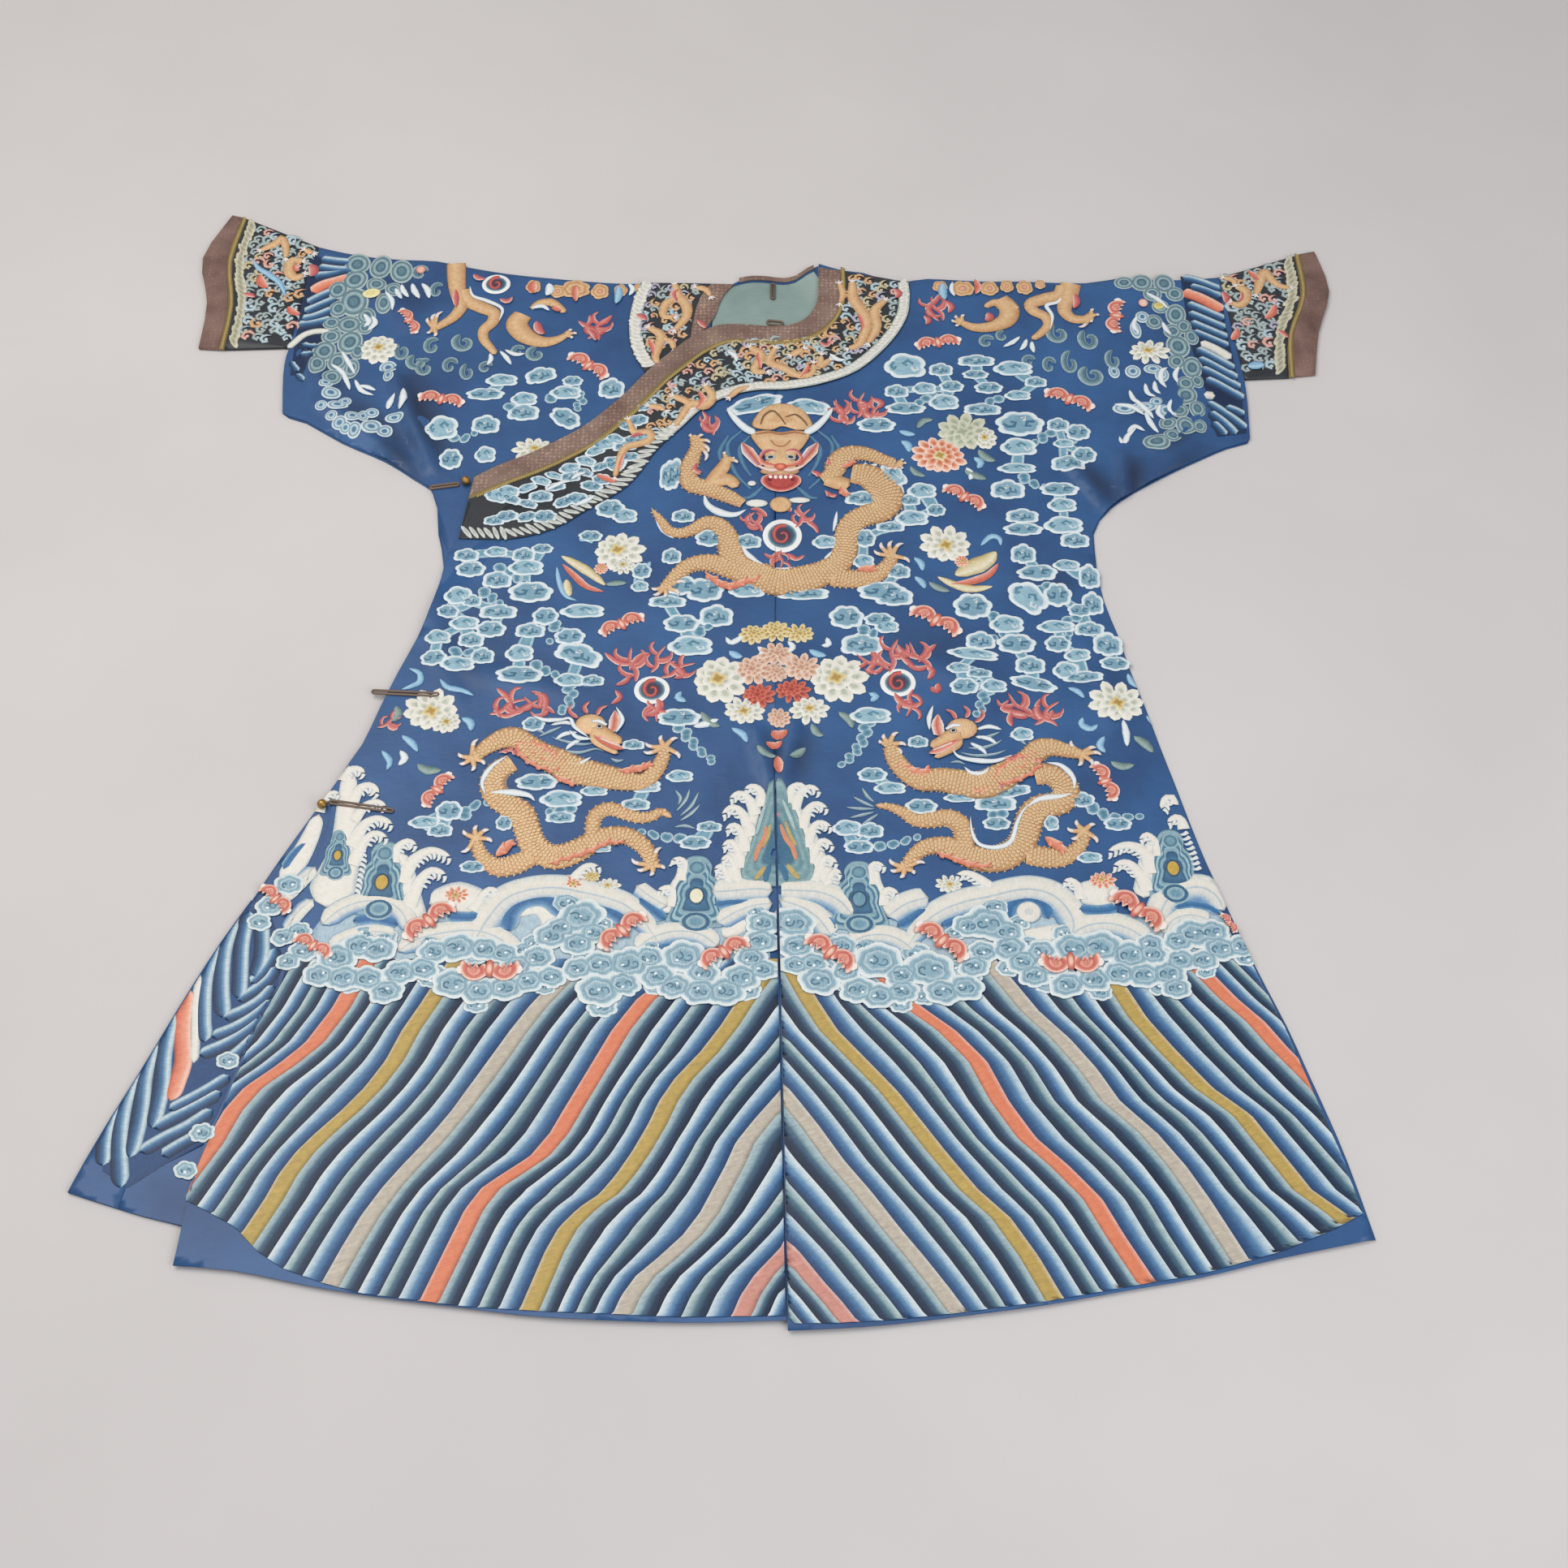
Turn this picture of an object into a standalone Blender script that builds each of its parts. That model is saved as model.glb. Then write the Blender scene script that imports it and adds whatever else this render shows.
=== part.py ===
"""A Chinese dragon robe laid flat on its back, as thin closed solids.

The robe is cut like the real garment: each half is one length of silk that runs from the
back hem over the shoulder fold to the front hem, with its sleeve, and the wearer's right
half runs on under an outer front that laps over it to the right side. A curved collar
band, its brocade binding and its corded piping cross from the neck to the right armpit.

Frame: x to the wearer's left, y towards the neck, z up; the origin is on the surface under
the middle of the laid robe. The tables are in millimetres and the meshes in metres.
"""
import math
from collections import namedtuple

import bpy
from mathutils.geometry import delaunay_2d_cdt

MM = 0.001

# Cloth and layers (mm)
CLOTH = 1.5                  # silk, interlining and lining quilted together as one wall
PLY_GAP = 0.3                # air between two layers that lie on each other
PLY = CLOTH + PLY_GAP        # height that one more layer adds
SEAM_GAP = 0.3               # air between two pieces that are sewn edge to edge
EDGE_INSET = 2.0             # how far an upper layer's edge lies inside the lower one's
FOLD_ROUND = 0.9             # how far a folded edge bulges past its fold line
LINING = 0.9                 # celadon silk lining at the neck
PIPING = 2.3                 # thickness of the corded piping

# Trim (mm)
BINDING_WIDTH = 28.0         # brocade binding along the collar
PIPING_WIDTH = 6.0           # gold and olive piping beside it
BINDING_LAP = 3.0            # how far the binding reaches past the edge that it covers
BACK_BINDING_WIDTH = 7.0     # the back neck's binding, seen edge on
BACK_BINDING_OUT = 2.5       # how far it rolls past the neck's cut edge
BACK_FACING_WIDTH = 6.5      # the blue strip inside the back neck
FACING_INSET = 1.0           # how far the strip stays inside the neck's cut edge
FACING_ENDS = (-36, 67)      # x where the facing and binding of the back neck end
LINING_LAP = 2.0             # how far the lining runs on under the front's neck edge
LINING_SHOWS = 1.5           # how far it stays inside the inner front's neck edge
CORD_RADIUS = 1.5            # the cord of the closing loops
LOOP_GAP = 1.0               # air between the two runs of a closing loop
NECK_LOOP_GAP = 3.5          # the neck's loop is rounder
BALL_RADIUS = 5.5            # gilt brass ball button

# Mesh steps (mm)
EDGE_STEP = 30.0             # longest straight piece of a cut edge
NECK_STEP = 12.0             # and of the tighter back neck
LATTICE = 44.0               # spacing of the points inside a panel
CREASE_STEP = 14.0           # spacing of the extra points on a crease
RIBS_BETWEEN = 3             # ribs worked out between two rows of the collar table
CORD_SIDES = 8

# Centre front and back
SEAM_X = 16.5                # the centre seam, a little to the wearer's left of the middle
SLIT_LEAN = 13.0             # how far the slit has swung to the wearer's left at the hem
SLIT_TOP_Y = -128.0          # the seam is sewn from the neck to here and open below
SLIT_GAP = 1.2               # the two sides of the slit lie this far apart at the hem
TURN_TOP_Y = -278.0          # below this the right side's back shows, turned over to the front
CENTRE_TOP_Y = 637.0         # where the centre back meets the neck
NECK_CLEAR = 3.0             # neck points closer than this to the centre seam are left out
FRONT_SETTLES = 380.0        # the left front comes down to the back this far from the seam
HALF_WIDTH_OF_ARM = 40.0     # folds of the sleeve run this far into the inner front
UNDERARM_INSET = (0.7, 1.0)  # the front's underarm lies this far inside the back's

Point = namedtuple("Point", "x y")
BodySection = namedtuple("BodySection", "y right_side turned_seam lap_edge left_side")
CollarRib = namedtuple("CollarRib", "x y edge_x edge_y")
CuffRib = namedtuple("CuffRib", "top_y bottom_y x_top x_upper x_lower x_bottom")
Crease = namedtuple("Crease", "x0 y0 x1 y1 width height")

# The body, one row for each section: the outline on the wearer's right, the line where the
# turned-over back meets the inner front, the outer front's free edge, and the left outline.
BODY = (
    BodySection(222, -376.5, None, None, 387.5),
    BodySection(172, -366.5, None, -364.5, 387.5),
    BodySection(122, -375.5, None, -373.5, 392.5),
    BodySection(72, -388.0, None, -386.0, 405.0),
    BodySection(22, -406.0, None, -404.0, 415.0),
    BodySection(-28, -422.0, None, -420.0, 427.5),
    BodySection(-78, -437.0, None, -435.0, 438.5),
    BodySection(-128, -460.5, None, -458.0, 450.5),
    BodySection(-178, -485.5, None, -461.0, 462.0),
    BodySection(-228, -510.5, None, -470.0, 474.5),
    BodySection(-278, -533.5, -529.0, -484.0, 489.5),
    BodySection(-328, -558.5, -528.0, -489.0, 504.5),
    BodySection(-378, -580.5, -529.5, -492.0, 521.0),
    BodySection(-428, -600.5, -549.0, -511.0, 538.5),
    BodySection(-478, -620.5, -567.0, -523.5, 553.0),
    BodySection(-528, -641.5, -590.0, -536.0, 567.5),
    BodySection(-578, -660.5, -609.0, -549.0, 580.5),
)

# Hems, from the wearer's right to the left
BACK_RIGHT_HEM = (
    Point(-671.5, -610),
    Point(-623.5, -626),
    Point(-563.5, -643),
    Point(-358, -690),
    Point(-196, -718),
    Point(SEAM_X + SLIT_LEAN - 2, -738),
)
TURN_END = Point(-620, -627)
LAP_CORNER = Point(-360, 193)        # where the lap's free edge turns under the collar's end
LAP_END_OUT = 1.3                    # how far the lap shows past the collar's end
LAP_HEM = (
    Point(-558, -687),
    Point(-500, -692),
    Point(-423, -708),
    Point(-358, -719),
    Point(-273, -730),
    Point(-196, -739),
    Point(-73, -744),
    Point(SEAM_X + SLIT_LEAN - 2, -742),
)
LEFT_HEM = (
    Point(SEAM_X + SLIT_LEAN + 1, -752),
    Point(76, -750),
    Point(126, -746),
    Point(198, -737),
    Point(276, -726),
    Point(350, -712),
    Point(426, -698),
    Point(502, -679),
    Point(597, -659),
)

# The inner front's cut edge, hidden under the outer front, and where its hem starts and ends
INNER_EDGE_TOP = (Point(-66, 545), Point(-60, 500))
INNER_EDGE = (Point(-40, 440), Point(-14, -728))
INNER_HEM_START = TURN_END.x + 5
INNER_HEM_END = -20

# Shoulder folds, from the neck out to the cuff seam
RIGHT_SHOULDER = (
    Point(-40, 629),
    Point(-73, 627),
    Point(-123, 630),
    Point(-173, 629),
    Point(-223, 633),
    Point(-273, 639),
    Point(-323, 646),
    Point(-373, 658),
    Point(-413, 669),
    Point(-453, 671),
    Point(-493, 675),
    Point(-533, 684),
    Point(-565.5, 694),
)
LEFT_SHOULDER = (
    Point(70.5, 663),
    Point(101, 651),
    Point(126, 647),
    Point(151, 636),
    Point(177, 631),
    Point(207, 637),
    Point(276, 632),
    Point(326, 632),
    Point(406, 630),
    Point(451, 639),
    Point(482, 635),
    Point(526, 635),
    Point(575, 640),
)
BACK_NECK = (
    Point(-40, 629),
    Point(-30, 636),
    Point(-13, 640),
    Point(6, 639),
    Point(SEAM_X, 637),
    Point(26, 636),
    Point(41, 640),
    Point(56, 654),
    Point(70.5, 663),
)

# Sleeve ends below the cuffs, then the underarms, from the cuff seam in to the side
RIGHT_SLEEVE_END = (Point(-583.7, 518), Point(-586, 504), Point(-586, 472), Point(-580, 412))
RIGHT_UNDERARM = (
    Point(-572, 405),
    Point(-549, 396),
    Point(-503, 364),
    Point(-448, 334),
    Point(-414, 308),
    Point(-390, 290),
    Point(-381, 262),
)
LEFT_SLEEVE_END = (Point(588.65, 465), Point(588.5, 432), Point(586.5, 392), Point(585.5, 371))
LEFT_UNDERARM = (
    Point(582, 364),
    Point(556, 355),
    Point(526, 339),
    Point(486, 316),
    Point(440, 286),
    Point(411, 262),
    Point(396, 243),
)

# The collar, one rib for each row from the left shoulder down to the right armpit: a point on
# the middle of the binding, and the point on the band's outer edge that it runs to.
COLLAR = (
    CollarRib(83.5, 652, 183.5, 629),
    CollarRib(83.5, 617, 184.5, 602),
    CollarRib(80.5, 587, 179.0, 566),
    CollarRib(68.5, 562, 156.5, 522),
    CollarRib(48.5, 546, 118.0, 478),
    CollarRib(21.5, 540, 75.0, 456),
    CollarRib(-13.5, 542, 32.0, 446),
    CollarRib(-48.5, 541, -8.0, 444),
    CollarRib(-81.0, 522, -45.0, 432),
    CollarRib(-106.0, 497, -75.0, 411),
    CollarRib(-129.0, 472, -97.0, 383),
    CollarRib(-147.0, 447, -115.0, 362),
    CollarRib(-165.0, 422, -131.0, 338),
    CollarRib(-186.0, 397, -146.0, 309),
    CollarRib(-210.0, 372, -168.0, 282),
    CollarRib(-243.0, 348, -203.0, 256),
    CollarRib(-275.0, 328, -242.0, 226),
    CollarRib(-308.0, 311, -290.0, 211),
    CollarRib(-342.0, 291, -351.5, 212),
)

# The inner front's collar, from the right shoulder down to where it goes under the outer one
INNER_COLLAR = (
    CollarRib(-51.0, 627, -153.5, 629),
    CollarRib(-62.0, 610, -161.0, 606),
    CollarRib(-69.0, 588, -166.0, 573),
    CollarRib(-73.0, 568, -165.5, 538),
    CollarRib(-76.0, 555, -158.0, 505),
    CollarRib(-78.5, 542, -143.5, 476.5),
)

# Cuffs, one rib for each row from the sleeve outwards: where the cuff starts, where the piping
# starts and ends, and the binding's outer edge.
RIGHT_CUFF = (
    CuffRib(694, 520, -565.5, -571.5, -577.5, -583.5),
    CuffRib(745, 517, -663.5, -672.5, -661.5, -663.5),
    CuffRib(748, 517, -670.0, -680.0, -669.0, -670.5),
    CuffRib(752, 519, -683.0, -711.0, -695.5, -695.5),
)
LEFT_CUFF = (
    CuffRib(640, 467, 575.0, 579.5, 584.0, 588.5),
    CuffRib(678, 470, 674.5, 673.5, 650.5, 643.5),
    CuffRib(682, 472, 682.0, 681.5, 658.0, 651.5),
    CuffRib(687, 475, 701.0, 711.0, 689.5, 676.5),
)

# The largest folds of the top layer, as soft ridges
CREASES = (
    Crease(-452, 470, -392, 322, 26, 5.0),
    Crease(-532, 430, -425, 330, 30, 3.5),
    Crease(-560, 510, -520, 420, 22, 3.0),
    Crease(-500, 640, -440, 560, 34, 2.5),
    Crease(428, 270, 430, 345, 18, 4.5),
    Crease(404, 262, 366, 330, 20, 3.5),
    Crease(452, 300, 520, 372, 26, 3.0),
    Crease(360, 180, 300, 150, 30, 2.5),
    Crease(-6, -58, 10, -128, 20, 3.0),
    Crease(38, -50, 24, -132, 20, 3.0),
    Crease(-330, 20, -210, -10, 34, 2.5),
    Crease(140, 40, 250, 10, 34, 2.5),
    Crease(-300, -420, -250, -640, 44, 2.5),
    Crease(330, -400, 380, -620, 44, 2.5),
)

# Closures
ARMPIT_LOOP = (Point(-389, 291), Point(-360, 296))
ARMPIT_BALL = Point(-349.5, 298)
UPPER_LOOP = (Point(-429, -9), Point(-359, -13))
LOWER_LOOP = (Point(-461, -156), Point(-396, -167))
LOWER_BALL = Point(-470.5, -160)
NECK_LOOP = (Point(9, 561), Point(22, 559))
HANGING_LOOP = (Point(12.5, 626), Point(12.5, 604))


# --- plane geometry -------------------------------------------------------------------------

def distance(a, b):
    return math.hypot(a[0] - b[0], a[1] - b[1])


def between(a, b, share):
    return Point(a[0] + (b[0] - a[0]) * share, a[1] + (b[1] - a[1]) * share)


def spline_point(p0, p1, p2, p3, t):
    """A Catmull-Rom point between p1 and p2."""
    def axis(k):
        return 0.5 * (2 * p1[k] + (p2[k] - p0[k]) * t
                      + (2 * p0[k] - 5 * p1[k] + 4 * p2[k] - p3[k]) * t * t
                      + (3 * p1[k] - p0[k] - 3 * p2[k] + p3[k]) * t ** 3)
    return Point(axis(0), axis(1))


def curve(points, step=EDGE_STEP):
    """A smooth line through the points, with a point at least every `step`."""
    points = [Point(*p) for p in points]
    padded = [points[0]] + points + [points[-1]]
    line = [points[0]]
    for i in range(1, len(padded) - 2):
        pieces = max(1, math.ceil(distance(padded[i], padded[i + 1]) / step))
        for k in range(1, pieces + 1):
            line.append(spline_point(*padded[i - 1:i + 3], k / pieces))
    return line


def straight(a, b, step=EDGE_STEP):
    pieces = max(1, math.ceil(distance(a, b) / step))
    return [between(a, b, k / pieces) for k in range(pieces + 1)]


def outline(*lines):
    """One closed anticlockwise outline from lines that run on from each other."""
    loop = []
    for line in lines:
        for point in line:
            if not loop or distance(loop[-1], point) > 0.05:
                loop.append(Point(*point))
    if distance(loop[0], loop[-1]) < 0.05:
        loop.pop()
    return loop


def shifted(line, dx=0.0, dy=0.0):
    return [Point(p[0] + dx, p[1] + dy) for p in line]


def inside(point, loop):
    x, y = point
    odd = False
    for a, b in zip(loop, loop[1:] + loop[:1]):
        if (a[1] > y) != (b[1] > y) and x < (b[0] - a[0]) * (y - a[1]) / (b[1] - a[1]) + a[0]:
            odd = not odd
    return odd


def to_segment(point, a, b):
    """(distance to the segment, share of the way along it)."""
    length = max(distance(a, b), 1e-9)
    share = ((point[0] - a[0]) * (b[0] - a[0]) + (point[1] - a[1]) * (b[1] - a[1])) / length ** 2
    share = min(1.0, max(0.0, share))
    return distance(point, between(a, b, share)), share


def edge_distance(point, loop):
    return min(to_segment(point, a, b)[0] for a, b in zip(loop, loop[1:] + loop[:1]))


# --- heights --------------------------------------------------------------------------------

def seam_x(y):
    """The centre line, which leans to the wearer's left below the slit's top."""
    share = min(1.0, max(0.0, (SLIT_TOP_Y - y) / (SLIT_TOP_Y - LAP_HEM[-1].y)))
    return SEAM_X + SLIT_LEAN * share


def relief(x, y):
    """Height of the top layer's folds at a point."""
    height = 0.0
    for c in CREASES:
        away, share = to_segment((x, y), (c.x0, c.y0), (c.x1, c.y1))
        if away < c.width:
            across = 0.5 + 0.5 * math.cos(math.pi * away / c.width)
            along = 0.55 + 0.45 * math.sin(math.pi * min(1.0, 0.15 + 0.7 * share))
            height = max(height, c.height * across * along)
    return height


def on_floor(x, y):
    return 0.0


def on_back(x, y):
    return PLY


def lap_height(x, y):
    """The outer front lies on the inner front, two layers up."""
    return 2 * PLY + relief(x, y)


def left_front_height(x, y):
    """The left front comes down from the outer front's height to the back at its side."""
    share = min(1.0, max(0.0, (x - seam_x(y)) / FRONT_SETTLES))
    return PLY * (2.0 - share) + relief(x, y)


def on_front(x, y):
    return (lap_height(x, y) if x < seam_x(y) else left_front_height(x, y)) + PLY


def on_inner_front(x, y):
    return 2 * PLY


def on_lining(x, y):
    return PLY + LINING + PLY_GAP


def inner_front_height(x, y):
    """The inner front has folds only on its sleeve, where no other layer lies on it."""
    armpit = RIGHT_UNDERARM[-1]
    on_sleeve = x < armpit.x + HALF_WIDTH_OF_ARM and y > armpit.y
    return PLY + (relief(x, y) if on_sleeve else 0.0)


# --- panels of cloth ------------------------------------------------------------------------

def inner_points(loop, spacing, folded):
    """A staggered lattice inside the outline, finer along the folds."""
    xs = [p.x for p in loop]
    ys = [p.y for p in loop]
    found = []

    def add(x, y, clear):
        if inside((x, y), loop) and edge_distance((x, y), loop) > clear:
            found.append((x, y))

    if folded:
        for c in CREASES:
            length = distance((c.x0, c.y0), (c.x1, c.y1))
            ux, uy = (c.x1 - c.x0) / length, (c.y1 - c.y0) / length
            rows = max(2, round(length / (1.6 * CREASE_STEP)))
            for i in range(rows + 1):
                for k in (-1.0, -0.5, 0.0, 0.5, 1.0):
                    add(c.x0 + ux * length * i / rows - uy * c.width * k,
                        c.y0 + uy * length * i / rows + ux * c.width * k, 5.0)
    near_folds = list(found)
    row_height = spacing * math.sqrt(3) / 2
    for j in range(math.ceil((max(ys) - min(ys)) / row_height) + 1):
        y = min(ys) + j * row_height
        for i in range(math.ceil((max(xs) - min(xs)) / spacing) + 1):
            x = min(xs) + (i + 0.5 * (j % 2)) * spacing
            if all(distance((x, y), p) > 0.45 * spacing for p in near_folds):
                add(x, y, 0.45 * spacing)
    return found


class Panel:
    """A flat triangulated piece of cloth with a height for each point."""

    def __init__(self, loop, height, thickness=CLOTH, spacing=LATTICE, folded=False):
        points = [tuple(p) for p in loop] + inner_points(loop, spacing, folded)
        count = len(loop)
        edges = [(i, (i + 1) % count) for i in range(count)]
        verts, _, faces, origins, _, _ = delaunay_2d_cdt(points, edges, [], 1, 1e-4)
        place = {}
        for new, olds in enumerate(origins):
            for old in olds:
                place[old] = new
        self.points = [Point(v[0], v[1]) for v in verts]
        self.loop = [place[i] for i in range(count)]
        self.faces = []
        for a, b, c in faces:
            pa, pb, pc = self.points[a], self.points[b], self.points[c]
            turn = (pb.x - pa.x) * (pc.y - pa.y) - (pb.y - pa.y) * (pc.x - pa.x)
            self.faces.append((a, b, c) if turn > 0 else (a, c, b))
        self.low = [height(p.x, p.y) for p in self.points]
        self.high = [z + thickness for z in self.low]


Fold = namedtuple("Fold", "lower upper line")


def cloth(name, panels, colour, roughness=0.6, folds=()):
    """One closed solid from panels, joined where an upper one is folded over from a lower one."""
    verts, faces, low, high = [], [], [], []
    for panel in panels:
        low.append([len(verts) + i for i in range(len(panel.points))])
        verts += [(p.x, p.y, z) for p, z in zip(panel.points, panel.low)]
        high.append([len(verts) + i for i in range(len(panel.points))])
        verts += [(p.x, p.y, z) for p, z in zip(panel.points, panel.high)]
        faces += [tuple(high[-1][i] for i in face) for face in panel.faces]
        faces += [tuple(low[-1][i] for i in reversed(face)) for face in panel.faces]

    folded_edges = set()
    for fold in folds:
        rows = []
        for which in (fold.lower, fold.upper):
            panel = panels[which]
            rows.append([min(panel.loop, key=lambda v: distance(panel.points[v], p))
                         for p in fold.line])
        bulge = fold_bulge(panels, fold, rows, verts)
        lows, highs = low[fold.lower], high[fold.upper]
        tops, bottoms = high[fold.lower], low[fold.upper]
        for k in range(len(fold.line) - 1):
            (i, j), (m, n) = rows[0][k:k + 2], rows[1][k:k + 2]
            folded_edges |= {(fold.lower, i, j), (fold.upper, m, n)}
            faces += [(lows[i], lows[j], bulge[k + 1], bulge[k]),
                      (bulge[k], bulge[k + 1], highs[n], highs[m]),
                      (tops[j], tops[i], bottoms[m], bottoms[n])]
        for k, first in ((0, True), (len(fold.line) - 1, False)):
            i, m = rows[0][k], rows[1][k]
            stack = [highs[m], bottoms[m], tops[i], lows[i]]
            for a, b in zip(stack, stack[1:]):
                faces.append((bulge[k], a, b) if first else (bulge[k], b, a))

    for which, panel in enumerate(panels):
        for i, j in zip(panel.loop, panel.loop[1:] + panel.loop[:1]):
            if (which, i, j) not in folded_edges:
                faces.append((low[which][i], low[which][j], high[which][j], high[which][i]))
    return add_object(name, verts, faces, colour, roughness)


def fold_bulge(panels, fold, rows, verts):
    """The round outer edge of a fold: a point outside each point of its line."""
    lower, upper = panels[fold.lower], panels[fold.upper]
    made = []
    last = len(fold.line) - 1
    for k, point in enumerate(fold.line):
        before, after = fold.line[max(0, k - 1)], fold.line[min(last, k + 1)]
        length = distance(before, after)
        out_x, out_y = (after[1] - before[1]) / length, -(after[0] - before[0]) / length
        middle = 0.5 * (lower.low[rows[0][k]] + upper.high[rows[1][k]])
        made.append(len(verts))
        verts.append((point[0] + out_x * FOLD_ROUND, point[1] + out_y * FOLD_ROUND, middle))
    return made


def strip(name, left, right, height, colour, roughness=0.6, thickness=CLOTH, columns=1):
    """A band of cloth between two lines with the same number of points."""
    verts, faces = [], []
    rows = len(left)
    across = columns + 1
    for a, b in zip(left, right):
        for k in range(across):
            p = between(a, b, k / columns)
            z = height(p.x, p.y)
            verts += [(p.x, p.y, z), (p.x, p.y, z + thickness)]

    def low(i, k):
        return 2 * (i * across + k)

    def high(i, k):
        return low(i, k) + 1

    for i in range(rows - 1):
        for k in range(columns):
            faces += [(high(i, k), high(i + 1, k), high(i + 1, k + 1), high(i, k + 1)),
                      (low(i, k), low(i, k + 1), low(i + 1, k + 1), low(i + 1, k))]
        faces += [(low(i, 0), low(i + 1, 0), high(i + 1, 0), high(i, 0)),
                  (low(i + 1, columns), low(i, columns), high(i, columns), high(i + 1, columns))]
    for k in range(columns):
        faces += [(low(0, k), high(0, k), high(0, k + 1), low(0, k + 1)),
                  (high(rows - 1, k), low(rows - 1, k), low(rows - 1, k + 1),
                   high(rows - 1, k + 1))]
    return add_object(name, verts, faces, colour, roughness)


def add_object(name, verts, faces, colour, roughness, metallic=0.0):
    """An object in metres with its faces turned outwards and its own material."""
    mesh = bpy.data.meshes.new(name)
    mesh.from_pydata([(x * MM, y * MM, z * MM) for x, y, z in verts], [], faces)
    mesh.validate()
    if signed_volume(mesh) < 0:
        mesh.flip_normals()
    obj = bpy.data.objects.new(name, mesh)
    bpy.context.scene.collection.objects.link(obj)
    material = bpy.data.materials.new(name)
    material.use_nodes = True
    shader = material.node_tree.nodes["Principled BSDF"]
    shader.inputs["Base Color"].default_value = (*colour, 1.0)
    shader.inputs["Roughness"].default_value = roughness
    shader.inputs["Metallic"].default_value = metallic
    mesh.materials.append(material)
    return obj


def signed_volume(mesh):
    mesh.calc_loop_triangles()
    total = 0.0
    for triangle in mesh.loop_triangles:
        a, b, c = (mesh.vertices[i].co for i in triangle.vertices)
        total += a.dot(b.cross(c)) / 6
    return total


# --- lines shared by several pieces ----------------------------------------------------------

def body_line(column, *ends):
    """The curve down one column of the body table, and on to the given points."""
    rows = [Point(getattr(s, column), s.y) for s in BODY if getattr(s, column) is not None]
    return curve(rows + list(ends))


def centre_line(top_y, bottom_y, side):
    """The centre seam and slit from the top down: side -1 is the right half's edge, 1 the left's."""
    line = []
    for y in (top_y, 0.5 * (top_y + SLIT_TOP_Y), SLIT_TOP_Y, 0.5 * (SLIT_TOP_Y + bottom_y), bottom_y):
        open_share = min(1.0, max(0.0, (SLIT_TOP_Y - y) / (SLIT_TOP_Y - bottom_y)))
        gap = SEAM_GAP + (SLIT_GAP - SEAM_GAP) * open_share
        line.append(Point(seam_x(y) + 0.5 * side * gap, y))
    return [p for a, b in zip(line, line[1:]) for p in straight(a, b)]


def ribs(table):
    """(binding middle, band edge) for each row of a collar table, with smooth ribs between."""
    lines = []
    for points in ([(r.x, r.y) for r in table], [(r.edge_x, r.edge_y) for r in table]):
        padded = [points[0]] + points + [points[-1]]
        line = [Point(*points[0])]
        for i in range(1, len(padded) - 2):
            line += [spline_point(*padded[i - 1:i + 3], k / RIBS_BETWEEN)
                     for k in range(1, RIBS_BETWEEN + 1)]
        lines.append(line)
    return list(zip(*lines))


def along_ribs(made, out):
    """The line that runs `out` mm from the binding's middle, towards the band's outer edge."""
    return [between(middle, edge, out / distance(middle, edge)) for middle, edge in made]


FRONT_RIBS = ribs(COLLAR)
INNER_RIBS = ribs(INNER_COLLAR)
HALF_BINDING = BINDING_WIDTH / 2
UNDER_BINDING = BINDING_LAP - HALF_BINDING
NECK_EDGE = along_ribs(FRONT_RIBS, UNDER_BINDING)


# --- the pieces -------------------------------------------------------------------------------

BLUE = (0.035, 0.095, 0.25)
CELADON = (0.35, 0.46, 0.42)
BROCADE = (0.30, 0.19, 0.15)
DARK = (0.04, 0.04, 0.04)
OLIVE_GOLD = (0.33, 0.28, 0.12)
BRASS = (0.72, 0.52, 0.22)


def right_half():
    """Wearer's right: back, shoulder fold, sleeve and inner front; its side is turned over."""
    shoulder = curve(RIGHT_SHOULDER)
    cuff_seam = straight(RIGHT_SHOULDER[-1], RIGHT_SLEEVE_END[0])
    sleeve_end = curve(RIGHT_SLEEVE_END)
    underarm = curve(RIGHT_UNDERARM)
    upper_side = curve([Point(s.right_side, s.y) for s in BODY if s.y >= TURN_TOP_Y])
    lower_side = curve([Point(s.right_side, s.y) for s in BODY if s.y <= TURN_TOP_Y]
                       + [BACK_RIGHT_HEM[0]])
    hem = curve(BACK_RIGHT_HEM)
    neck = [p for p in curve(BACK_NECK, NECK_STEP) if p.x < SEAM_X - NECK_CLEAR]
    centre = centre_line(CENTRE_TOP_Y, BACK_RIGHT_HEM[-1].y, -1)
    back = outline(centre[::-1], neck[::-1], shoulder, cuff_seam, sleeve_end, underarm,
                   upper_side, lower_side, hem)

    turn_seam = body_line("turned_seam", TURN_END)
    turned = outline(lower_side, [between(*BACK_RIGHT_HEM[:2], 0.5)], turn_seam[::-1])

    inner_neck = along_ribs(INNER_RIBS[1:-6], UNDER_BINDING)
    inner_edge = list(INNER_EDGE_TOP) + straight(*INNER_EDGE, 2 * EDGE_STEP)
    under_hem = [p for p in hem if INNER_HEM_START < p.x < INNER_HEM_END]
    front = outline(shoulder, cuff_seam, sleeve_end, shifted(underarm, *UNDERARM_INSET),
                    shifted(upper_side[:-1], EDGE_INSET), shifted(turn_seam, SEAM_GAP),
                    under_hem, inner_edge[::-1], inner_neck[::-1])
    panels = [Panel(back, on_floor), Panel(front, inner_front_height, folded=True),
              Panel(turned, on_back)]
    cloth("right_half", panels, BLUE,
          folds=[Fold(0, 1, shoulder), Fold(0, 2, lower_side)])


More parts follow.
